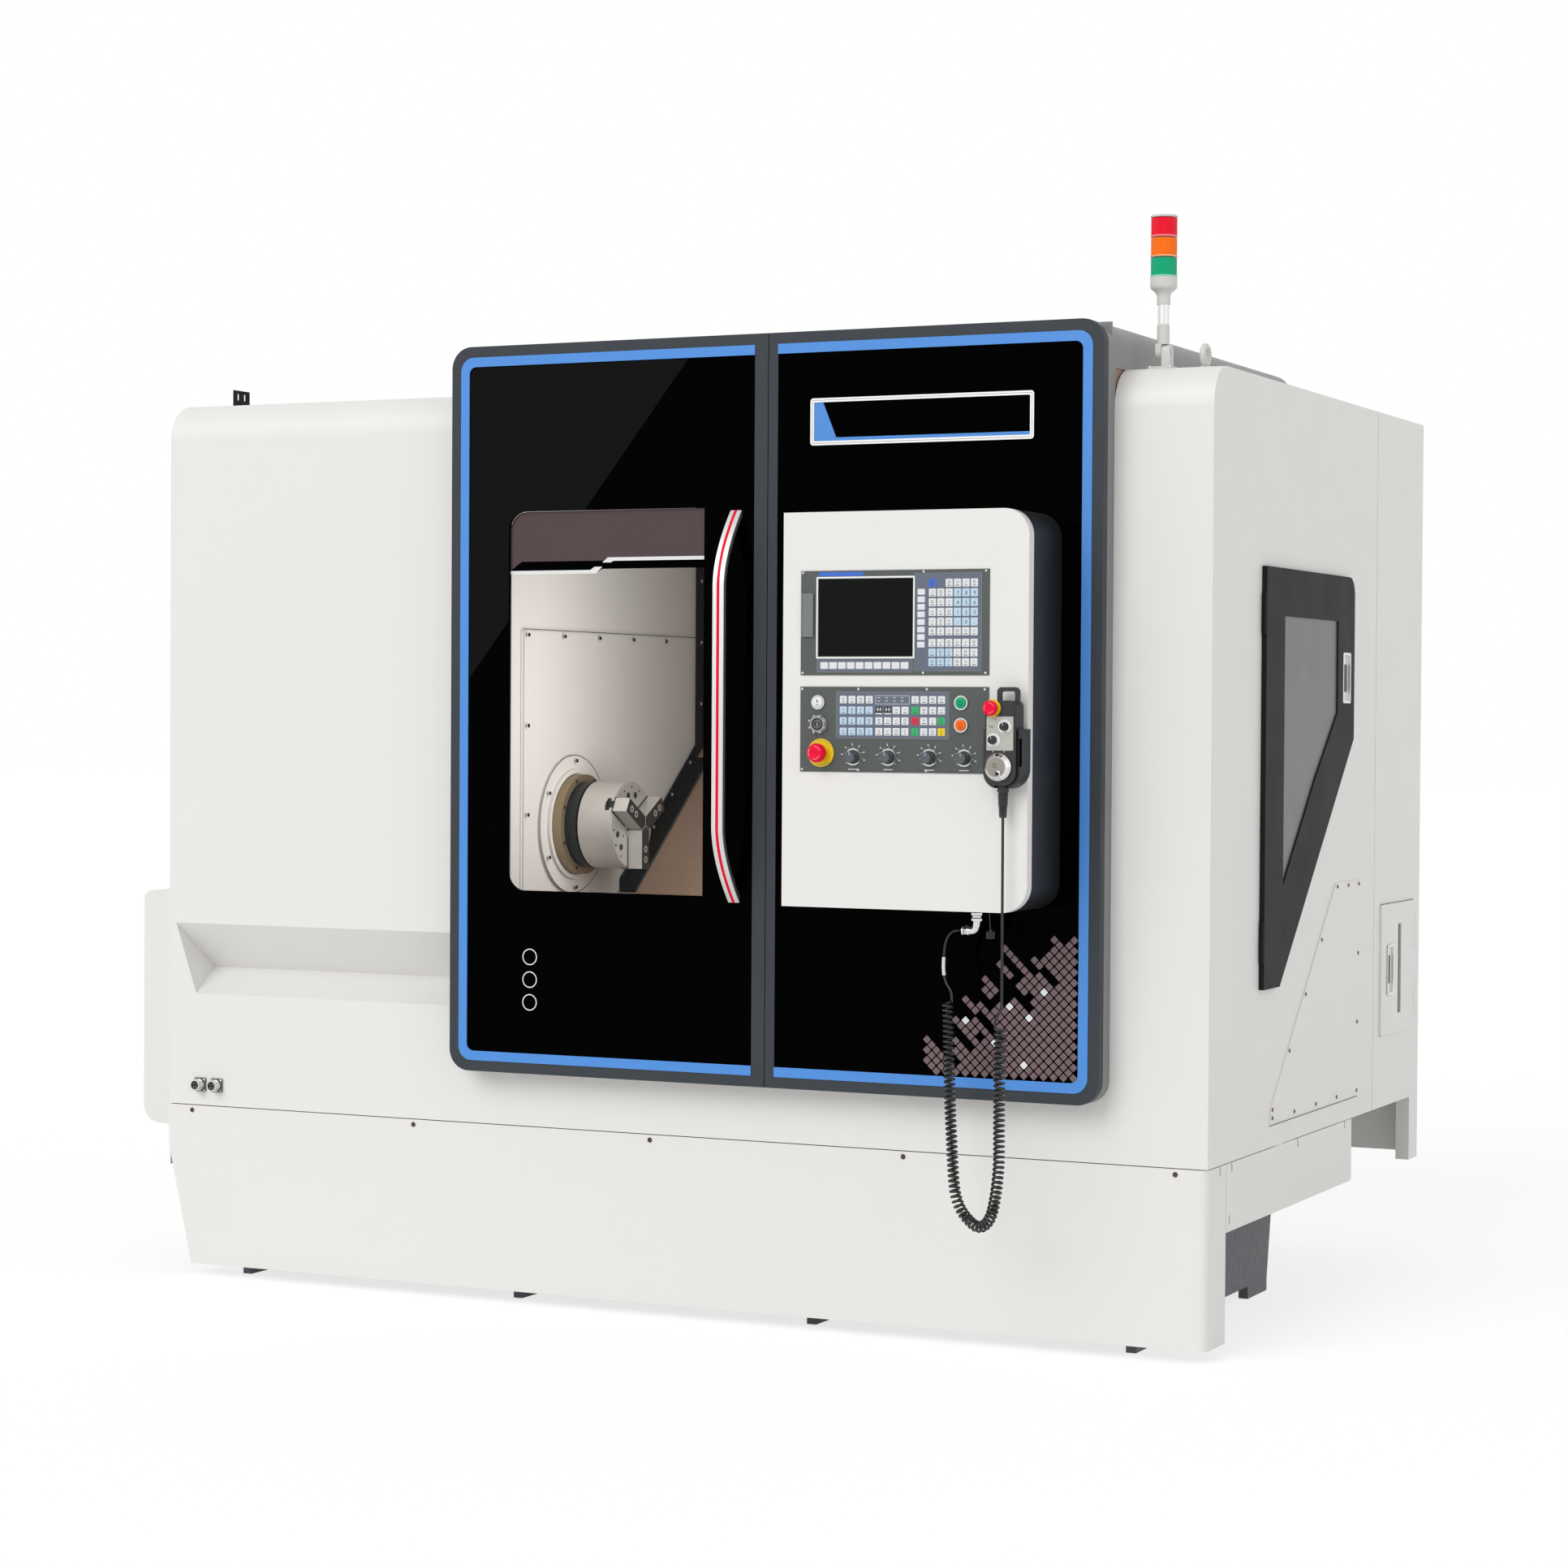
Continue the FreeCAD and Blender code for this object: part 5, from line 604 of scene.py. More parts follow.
class LATHE_OT_stage(bpy.types.Operator):
    """Camera, sky, floor, two soft lights and the lamp of the chamber"""

    bl_idname = "lathe.stage"
    bl_label = "Stage"

    def execute(self, context):
        scene = context.scene
        values = scene.lathe_stage
        scene.view_settings.view_transform = "Standard"
        self.camera(scene)
        self.sky(scene, values)
        self.floor(values)
        self.light("front_light", "SUN", values.sun, (-0.25, -0.85, 0.62), angle=math.radians(40))
        self.light("side_light", "SUN", values.side, (0.9, -0.2, 0.3), angle=math.radians(60))
        lamp = self.light("chamber_light", "AREA", values.chamber, (0.8, -0.6, 0.03),
                          shape="RECTANGLE", size=0.1, size_y=0.95)
        lamp.location = at(*LAMP_PLACE)
        lamp.visible_camera = False
        lamp.visible_glossy = False
        return {"FINISHED"}

    def light(self, name, kind, energy, source, **settings):
        """a light that shines from the side of source"""
        light = bpy.data.lights.new(name, kind)
        light.energy = energy
        for label, value in settings.items():
            setattr(light, label, value)
        holder = linked(name, light)
        holder.rotation_euler = Vector(source).to_track_quat("Z", "Y").to_euler()
        return holder

    def camera(self, scene):
        """the photograph's viewing angle"""
        yaw, pitch, roll = (math.radians(a) for a in (YAW, PITCH, ROLL))
        ahead = Vector((-math.sin(yaw) * math.cos(pitch), math.cos(yaw) * math.cos(pitch), -math.sin(pitch)))
        right = Vector((math.cos(yaw), math.sin(yaw), 0))
        up = right.cross(ahead)
        turned_right = right * math.cos(roll) + up * math.sin(roll)
        turned_up = up * math.cos(roll) - right * math.sin(roll)
        lens = bpy.data.cameras.new("camera")
        lens.sensor_fit = "HORIZONTAL"
        lens.sensor_width = SENSOR_WIDTH
        lens.lens = SENSOR_WIDTH * FOCAL_PIXELS / WIDE_PIXELS
        lens.clip_end = 200
        turn = Matrix((turned_right, turned_up, -ahead)).transposed().to_4x4()
        scene.camera = linked("camera", lens)
        scene.camera.matrix_world = Matrix.Translation(EYE) @ turn

    def sky(self, scene, values):
        """even light all round that looks white itself"""
        world = scene.world = bpy.data.worlds.new("studio")
        world.use_nodes = True
        tree = world.node_tree
        tree.nodes.clear()
        white = (1, 1, 1, 1)
        even = add_node(tree, "ShaderNodeBackground", {"Color": white, "Strength": values.sky})
        plain = add_node(tree, "ShaderNodeBackground", {"Color": white})
        surface(tree, "ShaderNodeOutputWorld", seen(tree), even[0], plain[0])

    def floor(self, values):
        """wide plain floor, lit a little from itself so that it looks white"""
        mesh = bpy.data.meshes.new("floor")
        spots = [(u * FLOOR_REACH, v * FLOOR_REACH, 0) for u, v in ((-1, -1), (1, -1), (1, 1), (-1, 1))]
        mesh.from_pydata(spots, [], [(0, 1, 2, 3)])
        material = bpy.data.materials.new("floor")
        material.use_nodes = True
        tree = material.node_tree
        tree.nodes.clear()
        plain = add_node(tree, "ShaderNodeBsdfDiffuse", {"Color": (*values.floor, 1)})
        bright = add_node(tree, "ShaderNodeEmission", {"Strength": FLOOR_GLOW})
        share = math_node(tree, "MULTIPLY", seen(tree), GLOW_SHARE)
        surface(tree, "ShaderNodeOutputMaterial", share, plain[0], bright[0])
        mesh.materials.append(material)
        linked("floor", mesh)


# ------------ cable


# the cable's route in machine millimetres: down from the handwheel unit, round the loop, up to the gland
STRAIGHT_ROUTE = [(2302.5, -285, 1160), (2303, -285, 784.5), (2303, -285, 760), (2288.8, -285, 740)]
CURL_ROUTE = [(2298.8, -285, 722), (2299.2, -285, 572), (2298.4, -284, 500), (2298.2, -280, 433),
              (2286.3, -270, 362.5), (2269.5, -255, 313.5), (2234.5, -235, 289), (2191.5, -215, 314.4),
              (2170.7, -205, 344), (2161.4, -198, 380), (2153.8, -190, 447.7), (2145, -183, 554),
              (2140.5, -178, 641.6), (2133, -172, 762)]
TAIL_ROUTE = [(2143, -172, 784), (2127, -169, 803), (2120.3, -166, 828), (2120.5, -163, 860),
              (2124, -162.5, 893), (2139, -162, 915), (2157, -162, 915)]
POINTS_PER_CURL = 13
# the smooth line cuts inside its control points, so these lie a little further out than the curl radius
CURL_OUTWARD = 1.015
# the clear sleeve: its first and last twelfth of the tail, and its radius as a share of the cable's diameter
SLEEVE_FIRST, SLEEVE_LAST, SLEEVE_SHARE = 3, 6, 0.62


def nurbs(name, points, fineness=12):
    """an open smooth curve with these control points"""
    curve = bpy.data.curves.new(name, "CURVE")
    curve.dimensions = "3D"
    curve.resolution_u = fineness
    line = curve.splines.new("NURBS")
    line.points.add(len(points) - 1)
    for spot, place in zip(line.points, points):
        spot.co = (*place, 1)
    line.order_u = 3
    line.use_endpoint_u = True
    return curve


def smooth_line(points):
    """points along the smooth line that has these control points"""
    return mesh_of(nurbs("line", points))[0]


def thickened(name, curve, radius, fineness, material, caps=True):
    """a curve given thickness and a finish, as an object that rides on the machine"""
    curve.bevel_depth = radius
    curve.bevel_resolution = fineness
    curve.use_fill_caps = caps
    curve.materials.append(finish(material))
    made = linked(name, curve)
    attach(made, "machine")
    return made


def spaced(points, count):
    """count + 1 points at even distances along a line of points, each with its direction"""
    reach = [0.0]
    for a, b in zip(points, points[1:]):
        reach.append(reach[-1] + (b - a).length)
    out, k = [], 0
    for i in range(count + 1):
        goal = reach[-1] * i / count
        while k < len(points) - 2 and reach[k + 1] < goal:
            k += 1
        run = points[k + 1] - points[k]
        share = (goal - reach[k]) / (reach[k + 1] - reach[k])
        out.append((points[k] + run * share, run.normalized()))
    return out


class LATHE_OT_cable(bpy.types.Operator):
    """Cable of the handwheel unit with its curls and clear sleeve"""

    bl_idname = "lathe.cable"
    bl_label = "Cable"

    def execute(self, context):
        values = context.scene.lathe_cable
        routes = (STRAIGHT_ROUTE, CURL_ROUTE, TAIL_ROUTE)
        straight, middle, tail = ([at(*p) for p in route] for route in routes)
        points = straight + self.curls(middle, values) + tail
        curve = nurbs("cable", points, 3)
        cable = thickened("cable", curve, values.diameter / 2, 3, "cable_black", caps=False)
        line = smooth_line(points)
        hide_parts("cord_straight", "cord_curl", "cord_tail")
        covered = spaced(smooth_line(tail), 12)[SLEEVE_FIRST:SLEEVE_LAST + 1]
        sleeve = nurbs("cable_sleeve", [spot for spot, _ in covered])
        cover = thickened("cable_sleeve", sleeve, values.diameter * SLEEVE_SHARE, 4, "clear_sleeve")
        return {"FINISHED"}

    def curls(self, route, values):
        """points of the curls round the smooth line of their route"""
        middle = spaced(smooth_line(route), values.curls * POINTS_PER_CURL)
        spots = []
        for k, (spot, ahead) in enumerate(middle):
            out = (Vector((0, 1, 0)) - ahead * ahead.y).normalized()
            angle = math.pi + 2 * math.pi * values.curls * k / (len(middle) - 1)
            turned = ahead.cross(out) * math.cos(angle) + out * math.sin(angle)
            spots.append(spot + turned * values.curl_radius * CURL_OUTWARD)
        return spots


# ------------ repeated pieces


def new_tree(name, inputs):
    """an empty geometry tree with inputs as (name, kind, value)"""
    tree = bpy.data.node_groups.new(name, "GeometryNodeTree")
    for label, kind, value in (("Geometry", "Geometry", None), *inputs):
        socket = tree.interface.new_socket(name=label, in_out="INPUT", socket_type="NodeSocket" + kind)
        if value is not None:
            socket.default_value = value
    tree.interface.new_socket(name="Geometry", in_out="OUTPUT", socket_type="NodeSocketGeometry")
    return tree, tree.nodes.new("NodeGroupInput").outputs, tree.nodes.new("NodeGroupOutput").inputs


def screw_tree():
    """socket-head screws on the points of a mesh"""
    tree, given, made = new_tree("Screw Heads", [
        ("Radius", "Float", 0.005), ("Height", "Float", 0.002), ("Recess", "Float", 0.0025),
        ("Turn", "Rotation", None), ("Material", "Material", None)])
    node = partial(add_node, tree)
    head = node("GeometryNodeMeshCone", {
        "Vertices": 20, "Radius Bottom": given["Radius"], "Depth": given["Height"],
        "Radius Top": math_node(tree, "MULTIPLY", given["Radius"], 0.84)})
    hexagon = node("GeometryNodeMeshCylinder", {
        "Vertices": 6, "Radius": given["Recess"], "Depth": given["Height"]})
    lift = node("ShaderNodeCombineXYZ", {"Z": given["Height"]})
    recess = node("GeometryNodeTransform", {"Geometry": hexagon[0], "Translation": lift[0]})
    cut = node("GeometryNodeMeshBoolean", {0: head[0], 1: recess[0]}, operation="DIFFERENCE")
    copies = node("GeometryNodeInstanceOnPoints", {
        "Points": given["Geometry"], "Instance": cut[0], "Rotation": given["Turn"]})
    real = node("GeometryNodeRealizeInstances", {"Geometry": copies[0]})
    dressed = node("GeometryNodeSetMaterial", {"Geometry": real[0], "Material": given["Material"]})
    feed(tree, made[0], dressed[0])
    return tree


def tile_tree():
    """a field of small rounded tiles on their points, dense in one corner and thin in the other"""
    tree, given, made = new_tree("Tile Field", [
        ("Width", "Float", 0.36), ("Height", "Float", 0.315), ("Pitch", "Float", 0.016),
        ("Side", "Float", 0.0133), ("Round", "Float", 0.0016), ("Thickness", "Float", 0.0003),
        ("Share", "Float", 1.0), ("Seed", "Int", 3),
        ("Place", "Vector", None), ("Material", "Material", None)])
    node, calc = partial(add_node, tree), partial(math_node, tree)
    count, eighth = 33, (0, 0, math.pi / 4)
    fine, coarse = 55.0, 9.0
    growth, middle = 1.35, 0.62
    reach = calc("MULTIPLY", given["Pitch"], count - 1)
    grid = node("GeometryNodeMeshGrid", {
        "Size X": reach, "Size Y": reach, "Vertices X": count, "Vertices Y": count})
    slanted = node("GeometryNodeTransform", {"Geometry": grid[0], "Rotation": eighth})
    spot = node("ShaderNodeSeparateXYZ", {0: node("GeometryNodeInputPosition")[0]})
    # points too near to the field's edges fall away
    margin = calc("MULTIPLY", given["Side"], 0.75)
    beyond = []
    for along, size in ((spot[0], given["Width"]), (spot[1], given["Height"])):
        limit = calc("SUBTRACT", calc("MULTIPLY", size, 0.5), margin)
        beyond.append(calc("GREATER_THAN", calc("ABSOLUTE", along), limit))
    outside = calc("MAXIMUM", *beyond)
    # so do those where streaks that fall to the right are thin, most of all at the upper left
    across = calc("MULTIPLY", calc("ADD", spot[0], spot[1]), fine)
    down = calc("MULTIPLY", calc("SUBTRACT", spot[0], spot[1]), coarse)
    streak = node("ShaderNodeCombineXYZ", {"X": across, "Y": down, "Z": given["Seed"]})
    noise = node("ShaderNodeTexNoise", {"Vector": streak[0], "Scale": 1.0, "Detail": 1.0})
    right, high = calc("DIVIDE", spot[0], given["Width"]), calc("DIVIDE", spot[1], given["Height"])
    fill = calc("ADD", calc("MULTIPLY", calc("SUBTRACT", right, high), growth), middle)
    empty = calc("GREATER_THAN", spread(tree, noise[0], -0.75, 1.75), fill)
    chance = node("FunctionNodeRandomValue", {"Probability": given["Share"], "Seed": given["Seed"]},
                  data_type="BOOLEAN")
    gone = calc("MAXIMUM", calc("MAXIMUM", outside, empty), calc("SUBTRACT", 1.0, chance[3]))
    kept = node("GeometryNodeDeleteGeometry", {"Geometry": slanted[0], "Selection": gone})
    square = node("GeometryNodeCurvePrimitiveQuadrilateral", {
        "Width": given["Side"], "Height": given["Side"]})
    soft = node("GeometryNodeFilletCurve", {
        "Curve": square[0], "Radius": given["Round"], "Count": 3}, mode="POLY")
    flat = node("GeometryNodeFillCurve", {0: soft[0]})
    thick = node("GeometryNodeExtrudeMesh", {
        "Mesh": flat[0], "Offset Scale": given["Thickness"], "Individual": False})
    tiles = node("GeometryNodeInstanceOnPoints", {
        "Points": kept[0], "Instance": thick[0], "Rotation": eighth})
    real = node("GeometryNodeRealizeInstances", {"Geometry": tiles[0]})
    seated = node("GeometryNodeTransform", {
        "Geometry": real[0], "Translation": given["Place"], "Rotation": FACING_FRONT})
    dressed = node("GeometryNodeSetMaterial", {"Geometry": seated[0], "Material": given["Material"]})
    feed(tree, made[0], dressed[0])
    return tree


TREES = {}


def grown(name, kind, points, values, body="machine"):
    """what a geometry tree makes of a mesh of points, as one plain mesh that rides on a body"""
    if kind not in TREES:
        TREES[kind] = {"screws": screw_tree, "tiles": tile_tree}[kind]()
    mesh = bpy.data.meshes.new(name)
    mesh.from_pydata([at(*p) for p in points], [], [])
    made = linked(name, mesh)
    growth = made.modifiers.new("growth", "NODES")
    growth.node_group = TREES[kind]
    for item in TREES[kind].interface.items_tree:
        if item.in_out == "INPUT" and item.name in values:
            growth[item.identifier] = values[item.name]
    result = bpy.data.meshes.new_from_object(made.evaluated_get(bpy.context.evaluated_depsgraph_get()))
    made.modifiers.remove(growth)
    made.data = result
    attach(made, body)
    return made


def screws(name, points, radius, turn=FACING_FRONT, height=2.0, material="chrome"):
    """socket-head screws at points of the machine, the recess half as wide as the head"""
    return grown(name, "screws", points, {
        "Radius": radius / 1000, "Height": height / 1000, "Recess": radius * 0.5 / 1000, "Turn": turn,
        "Material": finish(material)})


def tube(name, points, radius, material):
    """a smooth round bar or tube through control points"""
    return thickened(name, nurbs(name, [at(*p) for p in points], 8), radius / 1000, 4, material)


# ------------ door and fixed front


PANE_LEFT, PANE_RIGHT, PANE_HIGH, PANE_ROUND = 989.0, 1492.0, 1834.5, 43.0
LINE_LOW, LINE_HIGH = 1695.0, 1723.0
PANEL_LEFT, PANEL_TOP = 884.5, 2168.0
SHEEN_TOP, SHEEN_SLOPE = 1449.0, 1.269


def pane_corner():
    """the rounded upper left corner of the pane, from its left side to its top"""
    middle = (PANE_LEFT + PANE_ROUND, PANE_HIGH - PANE_ROUND)
    return [polar(middle, PANE_ROUND, math.radians(180 - 15 * k)) for k in range(7)]


def sheen_height(x):
    """height of the slanting edge of the sheen"""
    return PANEL_TOP - (SHEEN_TOP - x) * SHEEN_SLOPE


class LATHE_OT_door(bpy.types.Operator):
    """Print on the pane, painted sheen and rings of the panel, and the bent handle with its red strip"""

    bl_idname = "lathe.door"
    bl_label = "Door"

    def execute(self, context):
        self.band()
        self.panel()
        self.handle()
        return {"FINISHED"}

    def band(self):
        """hatched band, its dark lower part and the stepped line"""
        printed, half = PANE_FRONT - 0.4, 4.0
        left, right = PANE_LEFT + 0.5, PANE_RIGHT - 0.5
        edge = [(left, LINE_LOW + 5), (PANE_LEFT + 30, LINE_LOW + 25), (PANE_LEFT + 242, LINE_LOW + 25),
                (PANE_LEFT + 256, LINE_HIGH + 3), (right, LINE_HIGH + 3)]
        top = [(right, PANE_HIGH - 0.5)] + [(x + 0.5, z - 0.5) for x, z in reversed(pane_corner())]
        form = Form("band_hatched")
        form.prism(edge + top, printed, PANE_FRONT - 0.02)
        form.use("black_gloss")
        under = [(right, LINE_LOW + 6), (PANE_LEFT + 240, LINE_LOW + 6), (PANE_LEFT + 224, LINE_LOW - 3),
                 (left, LINE_LOW - 3)]
        form.prism(edge + under, printed - 0.05, PANE_FRONT - 0.03)
        form.use("tile_white")
        lower = [(left, LINE_LOW - half), (PANE_LEFT + 224, LINE_LOW - half),
                 (PANE_LEFT + 240, LINE_LOW + 11), (PANE_LEFT + 220, LINE_LOW + 11),
                 (PANE_LEFT + 209, LINE_LOW + half), (left, LINE_LOW + half)]
        upper = [(PANE_LEFT + 240, LINE_LOW + 20.5), (PANE_LEFT + 262, LINE_LOW + 20.5),
                 (PANE_LEFT + 269, LINE_HIGH - half), (right, LINE_HIGH - half), (right, LINE_HIGH + half),
                 (PANE_LEFT + 254, LINE_HIGH + half)]
        for outline in (lower, upper):
            form.prism(outline, printed - 0.2, PANE_FRONT - 0.04)
        form.finish("window_print", "door")

    def panel(self):
        """the painted sheen, a brighter left part of the glossy panel that stands in for a reflection, and
        the three plain rings
        """
        # a lighter field with a slanting edge on the upper left of the panel: a painted reflection
        form = Form("painted_sheen_field")
        cut_top = SHEEN_TOP - (PANEL_TOP - PANE_HIGH) / SHEEN_SLOPE
        outline = [(x, sheen_height(x)) for x in (PANEL_LEFT, PANE_LEFT)] + pane_corner()
        outline += [(cut_top, PANE_HIGH), (SHEEN_TOP, PANEL_TOP), (PANEL_LEFT + 17, PANEL_TOP),
                    (PANEL_LEFT + 5, PANEL_TOP - 5), (PANEL_LEFT, PANEL_TOP - 17)]
        form.prism(outline, FRONT_FRAME - 0.15, FRONT_FRAME)
        form.use("tile_white")
        for k in range(3):
            form.ring((1049, 708 + 52.25 * k), 19, 16.6, FRONT_FRAME - 0.3, FRONT_FRAME)
        form.finish("panel_painted_sheen", "door")

    def handle(self):
        """a grooved flat bar bent into a bow, with its red inlay"""
        left, right, front, thick = 1558.0, 1586.0, -156.0, 12.0
        path = bow((-69.0, 952.5), (-150.0, 1044.0), (front, 1119.0))
        path += list(reversed(bow((-69.0, 1826.5), (-150.0, 1735.0), (front, 1660.0))))
        profile = [(left, thick), (left, 1.2), (left + 1.2, 0)]
        for groove in (left + 3.6, left + 7.2, right - 7.9, right - 4.3):
            profile += [(groove, 0), (groove + 0.15, 0.7), (groove + 0.6, 0.7), (groove + 0.75, 0)]
        profile += [(right - 1.2, 0), (right, 1.2), (right, thick)]
        form = Form("aluminium")
        form.swept(path, profile)
        form.finish("handle_bar", "door", smooth=25, replaces="door_handle")
        strip = [(1568.5, 0.5), (1568.5, -0.3), (1569, -0.6), (1575, -0.6), (1575.5, -0.3), (1575.5, 0.5)]
        form = Form("red_plastic")
        form.swept(path, strip)
        form.finish("handle_strip", "door", smooth=25, replaces="handle_inlay")


class LATHE_OT_front(bpy.types.Operator):
    """Bare name plate and the tile field of the fixed front"""

    bl_idname = "lathe.front"
    bl_label = "Fixed Front"

    def execute(self, context):
        self.name_plate()
        self.tiles()
        return {"FINISHED"}

    def name_plate(self):
        """bright rim and blue field of the plate"""
        left, right, low, high, wide = 1754.3, 2281.2, 1964.8, 2068.2, 9
        rim, field = FRONT_FRAME - 4.6, FRONT_FRAME - 2.9
        form = Form("aluminium")
        form.rim(left, right, low, high, wide, 7, 2, rim, field)
        form.use("seam_shadow")
        form.rim(left + 4, right - 4, low + 4, high - 4, 0.9, 4, 3.2, rim - 0.1, field)
        form.use("blue_paint")
        form.plate(left + wide, right - wide, low + wide, low + 16.5, field - 0.3, field)
        form.prism([(left + wide, low + 16.5), (left + 62, low + 16.5), (left + 30, high - wide),
                    (left + wide, high - wide)], field - 0.3, field)
        form.finish("plate_rim", "machine")

    def tiles(self):
        """dark tiles, and a few pale ones over them"""
        width, height, right, low = 360.0, 315.0, 2391.0, 590.0
        place = at(right - width / 2, FRONT_FRAME, low + height / 2)
        for name, material, share, thick in (("front_tiles", "tile_mauve", 1.0, 0.3),
                                             ("front_tiles_pale", "tile_white", 0.015, 0.5)):
            grown(name, "tiles", [(0, 0, 0)], {
                "Width": width / 1000, "Height": height / 1000, "Share": share, "Thickness": thick / 1000,
                "Place": place, "Material": finish(material)})


# ------------ panels of the control box


KEY_COLOURS = {
    "w": "key_white", "p": "key_pale", "b": "key_blue", "g": "key_green", "r": "key_red", "y": "key_yellow"}
KEY_FRONT = PANEL_FACE - 0.8
MARK_FRONT = KEY_FRONT - 0.1
SHEET_FRONT = PANEL_FACE - 0.35
FRAME_FRONT = PANEL_FACE - 0.5
PRINT_FRONT = PANEL_FACE - 0.15

BUTTON_PLACES = {
    "white_button": (1866.0, 1399.0), "green_button": (2197.0, 1399.0), "orange_button": (2197.0, 1352.0)}
KEY_PLACE = (1866.0, 1352.0)
STOP_PLACE = (1873.0, 1291.0)
KNOB_COLUMNS = (1948.0, 2029.5, 2124.0, 2203.5)
KNOB_ROW = 1283.0

# front faces of the knobs and emergency stops, and of the ribs on the handwheel unit's grip, by their Y
KNOB_FRONT, STOP_FRONT = -280.5, -295.0
UNIT_KNOB_FRONT, UNIT_STOP_FRONT = -318.5, -325.0
GRIP_FRONT, GRIP_BACK = -288, -270


def key_block(form, marks, rows, corner, size, pitch, figures=None):
    """rows of keys from the top row down; each letter is a colour, and a dot leaves a gap"""
    wide, tall = size
    for row, letters in enumerate(rows):
        for column, letter in enumerate(letters):
            if letter not in KEY_COLOURS:
                continue
            x, z = corner[0] + column * pitch[0], corner[1] - row * pitch[1]
            form.use(KEY_COLOURS[letter])
            form.plate(x, x + wide, z, z + tall, KEY_FRONT, PANEL_FACE, 1.2, 2)
            figure = figures[row][column] if figures else " "
            if figure != " ":
                marks.figure(figure, x + wide * 0.55, z + tall * 0.42, tall * 0.5, MARK_FRONT, KEY_FRONT)
            else:
                key_mark(marks, x, z, wide, tall, row * 7 + column)


def key_mark(marks, x, z, wide, tall, number):
    """a plain mark and a short line under it"""
    middle = x + wide / 2
    if number % 3 == 0:
        marks.ring((middle, z + tall * 0.58), 2.3, 1.6, MARK_FRONT, KEY_FRONT, 10)
    elif number % 3 == 1:
        slash = [(middle - 2.4, z + tall * 0.45), (middle + 2.4, z + tall * 0.72)]
        marks.stroke(slash, 0.8, MARK_FRONT, KEY_FRONT)
    else:
        outer = rounded(middle - 2.6, middle + 2.6, z + tall * 0.44, z + tall * 0.74, 0)
        inner = rounded(middle - 1.9, middle + 1.9, z + tall * 0.5, z + tall * 0.68, 0)
        marks.frame(outer, inner, MARK_FRONT, KEY_FRONT)
    half = 2.6 + number * 5 % 4 * 0.6
    marks.plate(middle - half, middle + half, z + tall * 0.14, z + tall * 0.23, MARK_FRONT, KEY_FRONT)


def knob(name, body, x, z, back, front, radius, skirt, cap):
    """a fluted control knob with a cap and a pointer line, in place of the body's own node"""
    reach, foot = back - front, (x, back, z)
    form = Form(skirt)
    form.turned([(radius * 1.06, 0), (radius * 1.06, reach * 0.1)], foot, TOWARDS_FRONT)
    form.turned([(radius, reach * 0.1), (radius * 0.97, reach * 0.88), (radius * 0.86, reach * 0.97)],
                foot, TOWARDS_FRONT, 120, flutes=24, depth=0.035)
    form.use(cap)
    form.disc((x, z), radius * 0.84, front, front + reach * 0.1)
    form.use("legend_white")
    form.plate(x - 0.5, x + 0.5, z + radius * 0.25, z + radius * 0.84, front - 0.12, front)
    form.finish(name, body, smooth=35, replaces=body)


def mushroom(name, body, x, z, back, front, radius, stem, replaces):
    """an emergency stop's head on its stem, with the arcs of its twist release"""
    reach = back - front
    form = Form("stop_red")
    form.turned([(stem, 0), (stem, reach * 0.4), (radius * 0.95, reach * 0.45), (radius, reach * 0.55),
                 (radius, reach * 0.72), (radius * 0.94, reach * 0.86), (radius * 0.8, reach * 0.95),
                 (radius * 0.62, reach), (radius * 0.55, reach * 0.985)], (x, back, z), TOWARDS_FRONT, 64)
    form.use("stop_mark")
    for start in (20, 140, 260):
        arc = [polar((x, z), radius * 0.66, math.radians(start + 14 * k)) for k in range(6)]
        form.stroke(arc, radius * 0.06, front - 0.12, front + radius * 0.04)
    form.finish(name, body, smooth=40, replaces=replaces)


def ticks(form, centre, inner, outer, first, last, count, front, back, width=0.8):
    """a scale of short lines round a knob, angles in degrees clockwise from the top"""
    for k in range(count):
        angle = math.radians(90 - first - (last - first) * k / (count - 1))
        form.stroke([polar(centre, inner, angle), polar(centre, outer, angle)], width, front, back)


